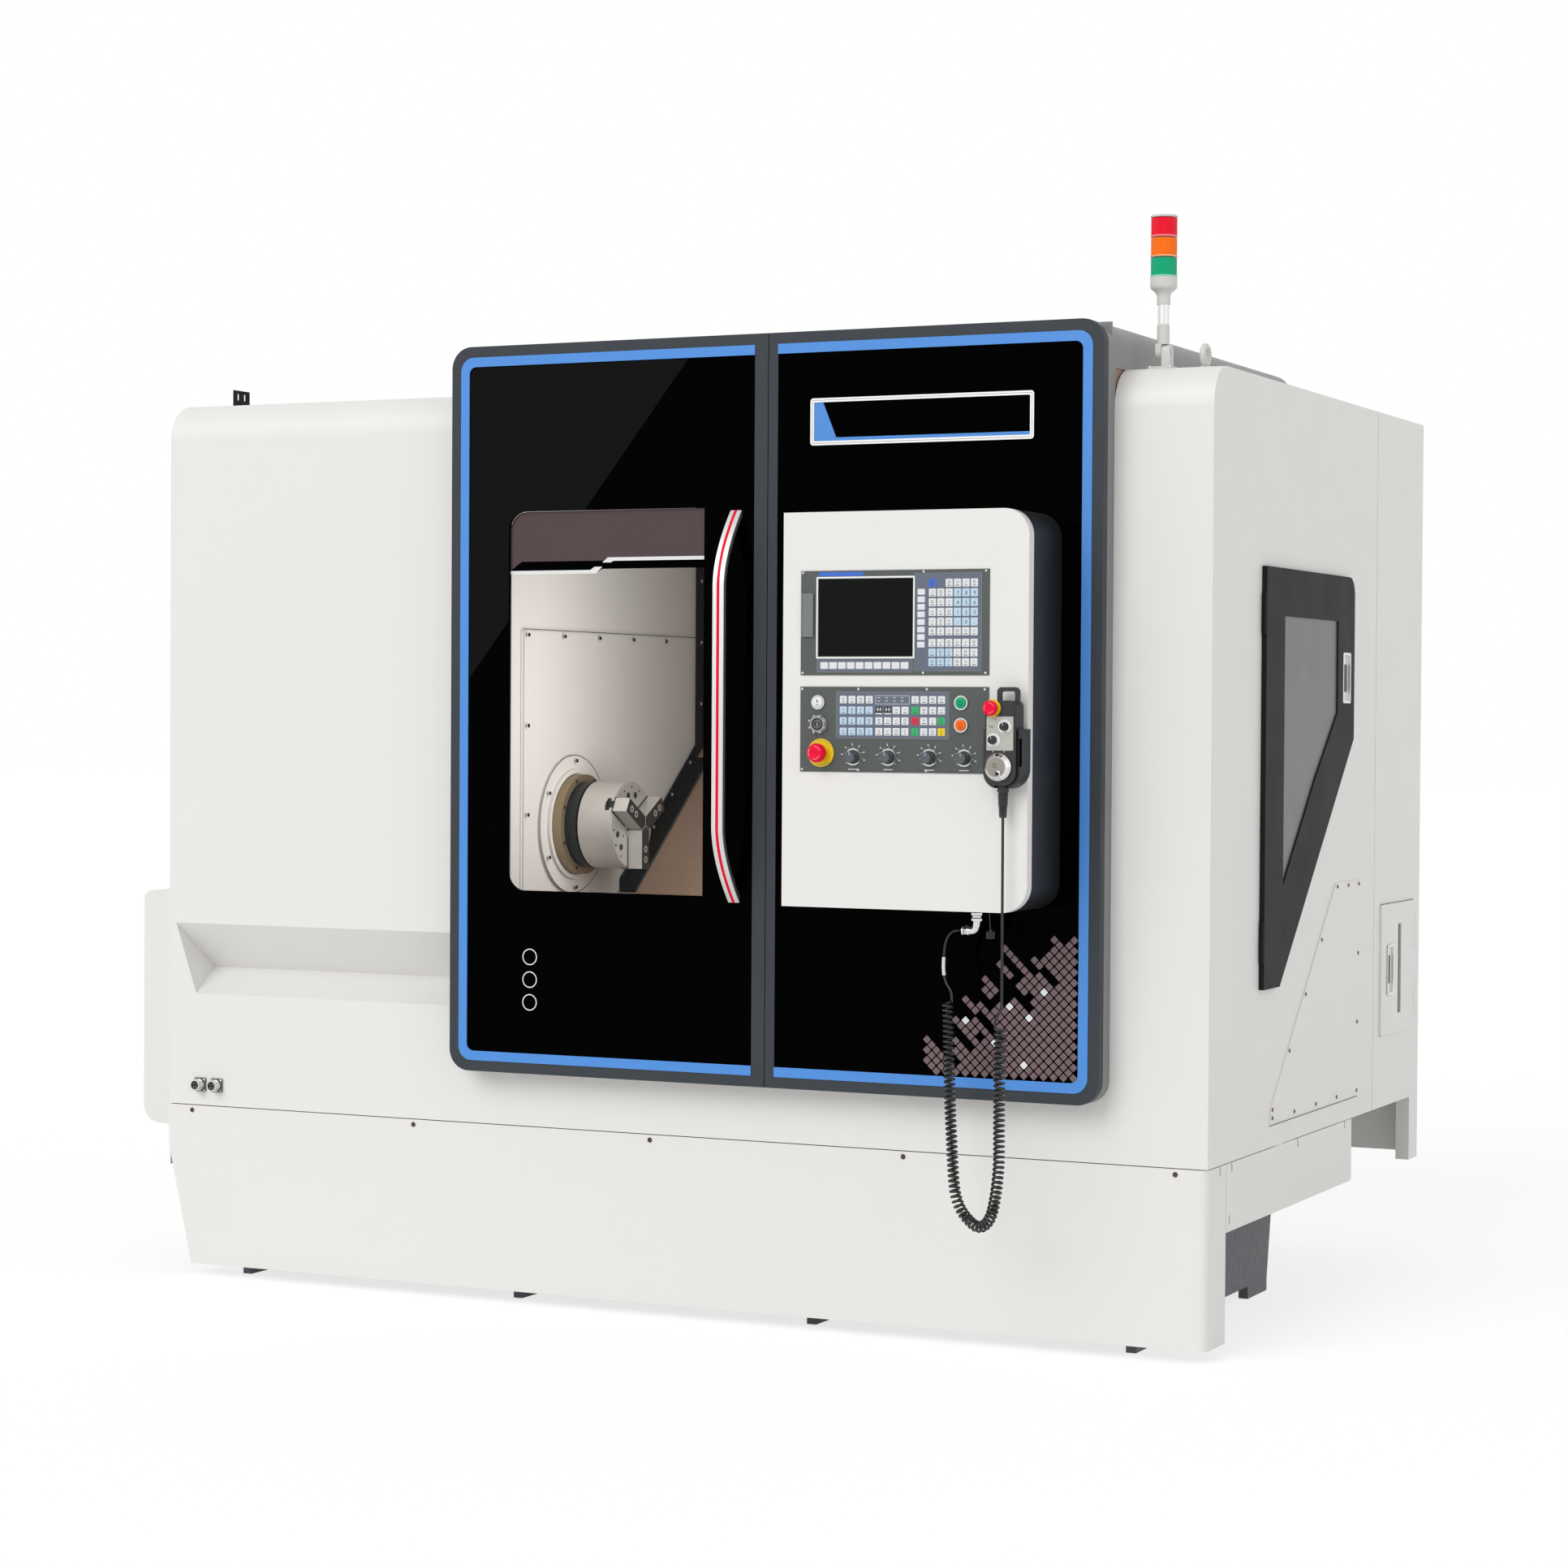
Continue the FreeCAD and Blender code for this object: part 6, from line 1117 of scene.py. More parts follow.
class LATHE_OT_display_panel(bpy.types.Operator):
    """Screen frame, plain strip and key sheets of the display panel, and all membrane keys"""

    bl_idname = "lathe.display_panel"
    bl_label = "Display Panel"

    def execute(self, context):
        self.trim()
        keys, marks = Form("key_white"), Form("legend_dark")
        for k in range(10):
            keys.plate(1870 + 20.8 * k, 1888 + 20.8 * k, 1470.5, 1485, KEY_FRONT, PANEL_FACE, 1, 2)
        for k in range(8):
            keys.plate(2095, 2112, 1515.5 + 15.9 * k, 1527.8 + 15.9 * k, KEY_FRONT, PANEL_FACE, 1, 2)
        size, pitch = (16.3, 16.8), (19.05, 20.4)
        rows = ["b.wwww", "wwwppp", "wwwppp", "wwwppp", "wwwppp", "wwwwww"]
        figures = ["      ", "   789", "   456", "   123", "   -0.", "      "]
        key_block(keys, marks, rows, (2121, 1643), size, pitch, figures)
        key_block(keys, marks, ["wwwwww", "pppwww", "pppwww"], (2121, 1516.8), size, pitch)
        self.machine_keys(keys, marks)
        keys.finish("keys", "machine", replaces="membrane_keys")
        marks.finish("key_marks", "machine")
        return {"FINISHED"}

    def trim(self):
        """frames, strip and printed sheets"""
        form = Form("aluminium")
        form.rim(1860, 2089, 1492.5, 1667, 3.6, 2, 0.5, PANEL_FACE - 1.6, PANEL_FACE)
        form.use("key_blue")
        form.plate(1865, 1969, 1668.2, 1677, PANEL_FACE - 0.3, PANEL_FACE, 0.8)
        form.use("sheet_slate")
        form.plate(1862, 2084, 1464, 1491, SHEET_FRONT, PANEL_FACE, 1.5)
        form.plate(2088.5, 2241, 1466, 1672, SHEET_FRONT, PANEL_FACE, 2)
        form.use("frame_grey")
        form.rim(2087.5, 2242, 1465, 1673, 1.5, 2.5, 1.5, FRAME_FRONT, PANEL_FACE)
        form.rim(1861, 2085, 1463, 1492, 1.2, 2, 1.2, FRAME_FRONT, PANEL_FACE)
        form.finish("display_panel_trim", "machine")

    def machine_keys(self, keys, marks):
        """the four rows of keys on the machine panel in three blocks"""
        blocks = ((1916.4, ["wwww", "pppp", "pppp", "pppp"]), (1999.5, ["....", "..ww", "wwww", "wwww"]),
                  (2083.0, ["wwww", "gwww", "rwwg", "gwwy"]))
        for left, rows in blocks:
            key_block(keys, marks, rows, (left, 1397.1), (16.4, 15.9), (20.1, 22.6))


class LATHE_OT_machine_panel(bpy.types.Operator):
    """Key sheet, windows, outline, screws and scales of the machine panel"""

    bl_idname = "lathe.machine_panel"
    bl_label = "Machine Panel"

    def execute(self, context):
        form = Form("sheet_slate")
        form.plate(1908, 2168, 1323, 1421.6, SHEET_FRONT, PANEL_FACE, 2)
        form.use("frame_grey")
        form.rim(1907, 2169, 1322, 1422.6, 1.4, 2.5, 1.5, FRAME_FRONT, PANEL_FACE)
        self.windows(form)
        form.use("legend_groove")
        edge = [(1834, 1316), (1850, 1332), (1892, 1332), (1906, 1319.5), (2170, 1319.5), (2183, 1332),
                (2224, 1332), (2244, 1314), (2244, 1272), (2226, 1255.5), (1852, 1255.5), (1834, 1270),
                (1834, 1316)]
        form.stroke(edge, 0.9, PANEL_FACE - 0.1, PANEL_FACE)
        self.scales(form)
        form.finish("machine_panel_trim", "machine", smooth=30)
        places = [(x, z) for x in (1828, 2109, 2251) for z in (1676, 1462)]
        places += [(x, z) for x in (1828, 1960, 2118, 2250) for z in (1427.5, 1255.5)]
        screws("panel_bolts", [(x, PANEL_FACE, z) for x, z in places], 3.1, height=1.6)
        return {"FINISHED"}

    def windows(self, form):
        """framed field with dashes, and two dark windows with figures"""
        form.use("legend_white")
        form.rim(1999.5, 2078, 1395.5, 1414, 0.8, 1, 0.6, FRAME_FRONT, PANEL_FACE)
        for k in range(8):
            left, low = 2004.5 + k % 4 * 18, 1408.5 - k // 4 * 7
            form.plate(left, left + 5.5, low, low + 1.4, FRAME_FRONT, PANEL_FACE)
        columns = (1999.8, 2019.9)
        form.use("screen")
        for left in columns:
            form.plate(left, left + 15.8, 1377.5, 1390.5, FRAME_FRONT, PANEL_FACE)
        form.use("legend_white")
        for left in columns:
            form.plate(left + 0.5, left + 15.3, 1374.2, 1377, FRAME_FRONT, PANEL_FACE)
            for k in range(2):
                form.figure("8", left + 4.6 + 6.8 * k, 1384, 8.5, FRAME_FRONT - 0.1, FRAME_FRONT)

    def scales(self, form):
        """scales round the knobs, and the bright rings of knobs and buttons"""
        form.use("legend_white")
        for x in KNOB_COLUMNS:
            ticks(form, (x, KNOB_ROW), 19.6, 22.6, -130, 130, 9, PRINT_FRONT, PANEL_FACE)
            ticks(form, (x, KNOB_ROW), 24.5, 29.0, -78, 104, 6, PRINT_FRONT, PANEL_FACE, 2.0)
            form.plate(x - 11, x + 11, KNOB_ROW - 27.2, KNOB_ROW - 25.4, PRINT_FRONT, PANEL_FACE)
        form.use("chrome")
        for x in KNOB_COLUMNS:
            form.ring((x, KNOB_ROW), 18.2, 15.4, PANEL_FACE - 1.4, PANEL_FACE)
        for place in BUTTON_PLACES.values():
            form.ring(place, 15.4, 12.5, PANEL_FACE - 4.6, PANEL_FACE)


class LATHE_OT_buttons(bpy.types.Operator):
    """Push buttons, key button and emergency stop of the machine panel"""

    bl_idname = "lathe.buttons"
    bl_label = "Buttons"

    def execute(self, context):
        for name, place in BUTTON_PLACES.items():
            self.button(name, *place)
        self.key(*KEY_PLACE)
        self.stop(*STOP_PLACE)
        return {"FINISHED"}

    def button(self, name, x, z):
        """a push button with a bar or a frame and a line on its face"""
        face, front = PANEL_FACE - 7.2, PANEL_FACE - 7.4
        form = Form("button_" + name.split("_")[0])
        form.turned([(11.9, 0), (11.9, 5.6), (11.3, 6.6), (9.5, 7.2)], (x, PANEL_FACE, z), TOWARDS_FRONT)
        form.use("legend_dark" if name != "green_button" else "knob_black")
        if name == "white_button":
            form.plate(x - 1.2, x + 1.2, z - 1, z + 6, front, face)
        else:
            form.rim(x - 4.2, x + 4.2, z - 3.6, z + 4.6, 1, 1.2, 0.6, front, face)
        form.plate(x - 4, x + 4, z - 6.6, z - 5.4, front, face)
        form.finish(name + "_cap", name, smooth=35, replaces=name)

    def key(self, x, z):
        """key button with its ribbed clear guard"""
        form = Form("guard_clear")
        form.ring((x, z), 19.5, 15.5, PANEL_FACE - 3, PANEL_FACE)
        for k in range(8):
            angle = math.radians(45 * k + 22.5)
            rib = [polar((x, z), 14.5, angle), polar((x, z), 21, angle)]
            form.stroke(rib, 5.0, PANEL_FACE - 9 - k % 2 * 2, PANEL_FACE)
        form.ring((x, z), 16.5, 13.2, PANEL_FACE - 8, PANEL_FACE - 3)
        form.finish("key_guard", "machine", smooth=30, bevel=0.6)
        face, front = PANEL_FACE - 6.8, PANEL_FACE - 7.1
        form = Form("knob_black")
        form.turned([(11.8, 0), (11.8, 5.5), (11, 6.4), (9.4, 6.8)], (x, PANEL_FACE, z), TOWARDS_FRONT)
        form.use("guard_clear")
        form.ring((x, z), 8.6, 7.8, front, face, 24)
        form.plate(x - 0.9, x + 0.9, z - 4.5, z + 4.5, front, face)
        form.prism([(x - 4.5, z - 1), (x, z - 6), (x + 4.5, z - 1), (x, z - 3)], front, face)
        form.finish("key_button", "key_switch", smooth=35, replaces="key_switch")

    def stop(self, x, z):
        """emergency stop on its yellow disc with two bare arcs of lines"""
        face, front = PANEL_FACE - 3.3, PANEL_FACE - 3.4
        form = Form("stop_yellow")
        form.ring((x, z), 30.2, 13.5, face, PANEL_FACE, 64)
        form.use("legend_groove")
        ticks(form, (x, z), 25.4, 27.6, -60, 60, 15, front, face, 1.3)
        ticks(form, (x, z), 25.4, 27.6, 140, 220, 11, front, face, 1.3)
        form.finish("stop_plate", "machine", smooth=35)
        mushroom("stop_head", "estop", x, z, PANEL_FACE - 2, STOP_FRONT, 20.5, 12.3, "estop_button")


class LATHE_OT_knobs(bpy.types.Operator):
    """Four rotary knobs of the machine panel"""

    bl_idname = "lathe.knobs"
    bl_label = "Knobs"

    def execute(self, context):
        for k, x in enumerate(KNOB_COLUMNS, start=1):
            name, back = "knob_%d" % k, PANEL_FACE - 1.6
            knob(name + "_grip", name, x, KNOB_ROW, back, KNOB_FRONT, 13.4, "knob_flute", "knob_grey")
        return {"FINISHED"}


class LATHE_OT_handwheel_unit(bpy.types.Operator):
    """Plate, scales, knobs, stop, wheel, grip ribs and cable relief of the handwheel unit"""

    bl_idname = "lathe.handwheel_unit"
    bl_label = "Handwheel Unit"

    def execute(self, context):
        self.face()
        black, stop = "knob_black", "pendant_estop"
        for name, x, z in (("axis", 2313.5, 1350), ("step", 2287.5, 1322)):
            knob(name + "_grip", name + "_knob", x, z, UNIT_FACE - 2, UNIT_KNOB_FRONT, 8.6, black, black)
        mushroom("unit_stop", stop, 2285.5, 1388, UNIT_FACE - 1.8, UNIT_STOP_FRONT, 16.0, 7.4, stop)
        self.wheel()
        self.relief()
        return {"FINISHED"}

    def face(self):
        """plate with two dials, the stop's ring, two marks and the ribs of the grip"""
        plate, dial, mark = UNIT_FACE - 1.4, UNIT_FACE - 1.7, UNIT_FACE - 1.8
        axis, pace, stop = (2313.5, 1350), (2288.5, 1322), (2285.5, 1388)
        form = Form("plate_stone")
        form.plate(2273.2, 2332.8, 1300.2, 1370.8, UNIT_FACE - 1.45, UNIT_FACE - 1.2, 2)
        form.use("dial_white")
        for place in (axis, pace):
            form.disc(place, 14.6, dial, plate, 48)
        form.use("legend_dark")
        ticks(form, axis, 11.6, 13.6, -40, 60, 5, mark, dial, 0.7)
        ticks(form, pace, 11.6, 13.6, -70, 50, 6, mark, dial, 0.7)
        form.plate(2307.5, 2319.5, 1337.4, 1338.2, mark, dial)
        form.plate(2284, 2293, 1309, 1309.8, mark, dial)
        printed = UNIT_FACE - 1.6
        form.disc((2293, 1365.5), 1.2, printed, plate, 12)
        form.plate(2277, 2289, 1350.5, 1351.5, printed, plate)
        form.plate(2280, 2288, 1347.5, 1348.5, printed, plate)
        form.use("stop_yellow")
        form.ring(stop, 18.5, 9, printed, UNIT_FACE - 0.1, 48)
        form.use("legend_white")
        for left in (2286, 2311):
            form.plate(left, left + 3, 1297.2, 1298.6, UNIT_FACE - 0.3, UNIT_FACE)
        form.use("black_plastic")
        for k in range(22):
            form.plate(2329.5, 2336, 1342 + 2.8 * k, 1343.3 + 2.8 * k, UNIT_FACE - 0.9, UNIT_FACE)
        for k in range(16):
            form.plate(2338, 2340.4, 1266 + 3.6 * k, 1267.9 + 3.6 * k, GRIP_FRONT, GRIP_BACK)
        form.finish("unit_face", "machine")

    def wheel(self):
        """wheel with its scale, dial and crank knob"""
        x, z = 2300.0, 1265.8
        back = UNIT_FACE - 0.8
        crank_x, crank_z = x + 5.5, z - 13.6
        form = Form("chrome")
        form.turned([(29.6, 0), (29.8, 1.5), (29.4, 4.5), (28.0, 6.5), (25.0, 8.6), (22.6, 14.2), (21.6, 15)],
                    (x, back, z), TOWARDS_FRONT, 72)
        form.use("dial_taupe")
        form.disc((x, z), 20.8, back - 15.4, back - 14.8, 56)
        form.use("legend_groove")
        ticks(form, (x, z), 26.2, 27.8, 0, 356.4, 60, back - 7.9, back - 7.0, 0.35)
        form.ring((x - 3, z + 3), 4.6, 3.2, back - 15.5, back - 15.3, 24)
        form.use("chrome")
        stem = [(5.6, 0), (5.6, 2), (3.4, 3), (3.4, 5.2)]
        form.turned(stem, (crank_x, back - 15.2, crank_z), TOWARDS_FRONT, 24)
        form.use("knob_black")
        form.turned([(4.0, 0), (4.4, 2.5), (3.6, 4.6)], (crank_x, back - 20.2, crank_z), TOWARDS_FRONT, 24)
        form.finish("unit_wheel", "pendant_wheel", smooth=35, replaces="pendant_wheel")

    def relief(self):
        """hexagonal nut and tapered ribbed relief round the start of the cable"""
        x, y, top, low, ribs = 2302.5, -285.0, 1227.0, 1160.0, 9
        form = Form("knob_black")
        form.turned([(12.0, 0), (12.6, 0.8), (12.6, 10), (12.0, 11)], (x, y, top - 12), UP, 6)
        for k in range(ribs):
            z = top - 16 - k * (top - 20 - low) / ribs
            outer = 11.4 - 2.8 * k / ribs
            rib = [(outer - 3.4, -4.4), (outer - 0.6, -3.8), (outer, -3.0),
                   (outer, -1.6), (outer - 0.6, -0.8), (outer - 3.4, -0.2)]
            form.turned(rib, (x, y, z), UP, 28)
        form.finish("cable_relief", "machine", smooth=35)


# ------------ fittings


SOCKET_COLUMNS, SOCKET_HEIGHT = (93, 141), 464
FLANGE_FACE, SOCKET_FLOOR = -4, -19
ROOF = 2120.0
TOWER_X, TOWER_Y = 2504.0, 120.0
TOWER_HINGE = 2160.4


def nut(radius):
    """profile of a nut with slanted edges"""
    return [(radius - 0.6, 0), (radius, 0.8), (radius, 5.2), (radius - 0.6, 6)]


def fork_cheek(middle, low, high, half):
    """an upright with a round head, seen from the side"""
    head = [polar((middle, high - half), half, math.radians(15 * k)) for k in range(13)]
    return [(middle - half, low), (middle + half, low)] + head


class LATHE_OT_cable_fittings(bpy.types.Operator):
    """Elbow gland and sealing cap under the control box, and the two round sockets at the left"""

    bl_idname = "lathe.cable_fittings"
    bl_label = "Cable Fittings"

    def execute(self, context):
        self.gland()
        self.cap()
        self.sockets()
        return {"FINISHED"}

    def gland(self):
        """nuts and sleeves on both ends of a bent tube"""
        x, y, top, level = 2196.0, -162.0, 960.0, 915.0
        form = Form("chrome")
        form.turned([(10.2, 0), (10.2, 5)], (x, y, top - 5), UP, 32)
        form.turned(nut(13.2), (x, y, top - 12), UP, 6)
        form.turned([(11.2, 0), (11.2, 4)], (x, y, top - 17), UP, 32)
        form.turned(nut(12.8), (x, y, top - 24), UP, 6)
        form.turned([(9.2, 0), (9.2, 12)], (x - 10, y, level), TO_THE_LEFT, 32)
        for k, sides in enumerate((32, 6, 32)):
            collar = [(10.2, 0), (11.4, 1), (11.4, 4), (10.2, 5)]
            form.turned(collar, (x - 16 - 6 * k, y, level), TO_THE_LEFT, sides)
        form.finish("elbow_gland", "machine", smooth=30)
        bend = tube("elbow_bend", [(x, y, top - 22), (x, y, level), (x - 12, y, level)], 8.8, "chrome")
        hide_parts("cable_fittings")

    def cap(self):
        """spare sealing cap that hangs on a cord"""
        x, y = 2222.0, -150.0
        form = Form("knob_black")
        form.turned([(8.6, 0), (9.2, 1), (9.2, 14), (8.2, 16)], (x, y, 898), UP, 96, flutes=24, depth=0.04)
        form.turned([(4.0, 0), (4.0, 4)], (x, y, 914), UP, 24)
        form.finish("sealing_cap", "machine", smooth=35)
        route = [(x, y, 917), (x - 1, y, 930), (x - 3, y + 1, 945), (x - 3, y + 1, 961)]
        tube("cap_lanyard", route, 0.9, "seam_shadow")

    def sockets(self):
        """bright collars with four pins each, on square flanges"""
        z = SOCKET_HEIGHT
        form = Form("flange_olive")
        for x in SOCKET_COLUMNS:
            form.use("flange_olive")
            form.plate(x - 16.5, x + 16.5, z - 16.5, z + 16.5, FLANGE_FACE, 0, 2)
            form.use("chrome")
            form.ring((x, z), 13.2, 10.6, -26, FLANGE_FACE)
            form.ring((x, z), 14.2, 10.8, -12, -8)
            form.use("knob_black")
            form.disc((x, z), 10.6, SOCKET_FLOOR, FLANGE_FACE)
            form.use("collar_brass")
            for u, v in ((-4, -4), (4, -4), (4, 4), (-4, 4)):
                form.disc((x + u, z + v), 1.4, -24, SOCKET_FLOOR, 10)
        form.finish("round_sockets", "machine", smooth=35)
        spots = [(x + u, FLANGE_FACE, z + v) for x in SOCKET_COLUMNS for u in (-13, 13) for v in (-13, 13)]
        screws("socket_screws", spots, 1.9, height=1.0)


class LATHE_OT_roof(bpy.types.Operator):
    """Signal tower, its foot, the lifting eye and the slotted bracket"""

    bl_idname = "lathe.roof"
    bl_label = "Roof Fittings"

    def execute(self, context):
        x, y, foot = TOWER_X, TOWER_Y, ROOF + 6
        form = Form("tower_grey", "XY")
        form.plate(x - 28, x + 28, y - 28, y + 28, ROOF, foot, 6)
        form.plane = "YZ"
        form.prism(fork_cheek(y, foot, ROOF + 54, 13.6), x + 0.6, x + 19)
        form.turned([(6.5, 0), (6.5, 1.6), (5.2, 2.2)], (x + 19, y, TOWER_HINGE), TO_THE_RIGHT, 24)
        eye = (2590.0, 150.0, 2152.0)
        form.looped(eye, 19.0, 6.8)
        form.turned([(16, 0), (16, 4), (11, 8), (8, 9)], (eye[0], eye[1], ROOF), UP, 32)
        form.use("charcoal_paint")
        self.bracket(form)
        form.use("seal_rubber")
        form.turned([(6, 0), (6, 7)], (30, 187, ROOF), UP, 16)
        form.finish("roof_pieces", "machine", smooth=30, replaces="roof_fittings")
        spots = [(x + u, y + v, foot) for u in (-22, 22) for v in (-22, 22)]
        screws("foot_screws", spots, 2.8, FACING_UP, 1.8)
        self.lenses()
        self.shell()
        return {"FINISHED"}

    def bracket(self, form):
        """upright plate with two slots, on its foot"""
        left, right, front, back, low, high = 75.0, 79.0, 154.0, 220.0, ROOF, ROOF + 46
        slot_low, slot_high = low + 22, high - 8
        for box in ((front, back, low, slot_low), (front, back, slot_high, high),
                    (front, front + 14, slot_low, slot_high), (front + 24, back - 24, slot_low, slot_high),
                    (back - 14, back, slot_low, slot_high)):
            form.plate(*box, left, right)
        form.plane = "XY"
        form.plate(right, right + 21, front, back, low, low + 3)

    def lenses(self):
        """three ribbed lenses between pale rims"""
        form = Form("lens_green")
        for k, colour in enumerate(("lens_green", "lens_orange", "lens_red")):
            place = (TOWER_X, TOWER_Y, 2319.0 + 43 * k)
            form.use(colour)
            form.turned([(28.0, 3), (28.0, 41)], place, UP, 216, flutes=54, depth=0.008)
            form.use(colour + "_rim")
            form.turned([(28.2, 0), (29.6, 0.8), (29.6, 3.2), (28.2, 4)], place, UP, 64)
        form.finish("tower_lens_stack", "tower", smooth=25, replaces="tower_lenses")

    def shell(self):
        """cap, socket, knuckle and bright pole of the tower"""
        x, y = TOWER_X, TOWER_Y
        form = Form("tower_grey", "YZ")
        form.turned([(28.4, 0), (29.4, 1), (29.4, 3.5), (27.5, 5), (20, 5.5)], (x, y, 2447.4), UP, 64)
        socket = [(14.6, 0), (14.6, 17), (15.4, 21), (19.0, 27),
                  (25.0, 31.5), (28.4, 35), (29.3, 39), (29.3, 58)]
        form.turned(socket, (x, y, 2261), UP, 64)
        form.turned([(13.4, 0), (13.4, 42), (12.6, 43)], (x, y, 2175), UP, 48)
        knuckle = [(u, 2 * TOWER_HINGE - v) for u, v in fork_cheek(y, 2144.8, 2174, 13.4)]
        form.prism(knuckle, x - 13.4, x - 0.2)
        form.turned([(13.4, 0), (13.4, 13.2)], (x - 13.4, y, TOWER_HINGE), TO_THE_RIGHT, 40)
        form.use("aluminium")
        form.turned([(12.2, 0), (12.2, 44)], (x, y, 2217.5), UP, 48)
        form.finish("tower_shell", "tower", smooth=35, replaces="tower_light")


# ------------ sides and chamber


# faces that look to the right, by their X
SKIRT_FACE, PLATE_FACE, HATCH_FACE, DOOR_FACE = 2660.5, 2663, 2668.5, 2672
SIDE_SCREWS = ((936, 975.5), (1027, 975), (1116, 975), (812, 857), (687, 739), (564.5, 619.6), (441, 498),
               (441, 479), (606, 478), (774, 478), (943, 478), (1111, 478), (1110, 643.5), (1114, 809))

# faces along the spindle, by their X, and its axis as Y and Z
WALL, COLLAR_BACK, COLLAR_FACE, CHUCK_FACE, JAW_END = 910.0, 940.4, 941.6, 1069.0, 1107.0
AXIS = (391.0, 1104.0)


def deck(y):
    """height of the slanted deck"""
    return 926 + (y - 630) * math.tan(math.radians(39))


class LATHE_OT_side(bpy.types.Operator):
    """Pulls of the side door and hatch, screws of skirts and side plate, and shadow lines"""

    bl_idname = "lathe.side"
    bl_label = "Side"

    def execute(self, context):
        self.pull("side_pull", "side_door", DOOR_FACE, 941, 999, 1411, 1524)
        self.pull("hatch_pull", "hatch", HATCH_FACE, 1363, 1414, 692, 810)
        heads = screws("skirt_screws", [(68 + 630 * k, 0, 400) for k in range(5)], 6, material="hole_brown")
        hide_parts("panel_screws")
        spots = [(PLATE_FACE, y, z) for y, z in SIDE_SCREWS]
        screws("side_screws", spots, 5, FACING_RIGHT, material="screw_bronze")
        form = Form("seam_shadow", "YZ")
        for box in ((426, 1126, 461.5, 463), (1318, 1623, 914, 915.6), (1318, 1623, 589.4, 591)):
            form.plate(*box, SKIRT_FACE, SKIRT_FACE + 0.7)
        form.finish("side_shadow_lines", "machine")
        return {"FINISHED"}

    def pull(self, name, body, face, front, back, low, high):
        """a flush pull: bright rim, hollow cup, and a dark plate in the cup, painted shade where its slot is
        """
        cup = face - 7
        form = Form("aluminium", "YZ")
        form.rim(front - 3, back + 3, low - 3, high + 3, 6, 6, 4, face, face + 0.03)
        form.rim(front + 1, back - 1, low + 1, high - 1, 2, 4, 3, cup, face + 0.02)
        form.plate(front + 1, back - 1, low + 1, high - 1, cup - 1, cup, 4)
        # a dark plate in the cup that stands in for the shade of the pull's slot
        form.use("black_plastic")
        form.plate(front + 12, back - 12, low + 24, high - 24, cup + 0.1, cup + 1.5, 5)
        form.finish(name, body, smooth=30)


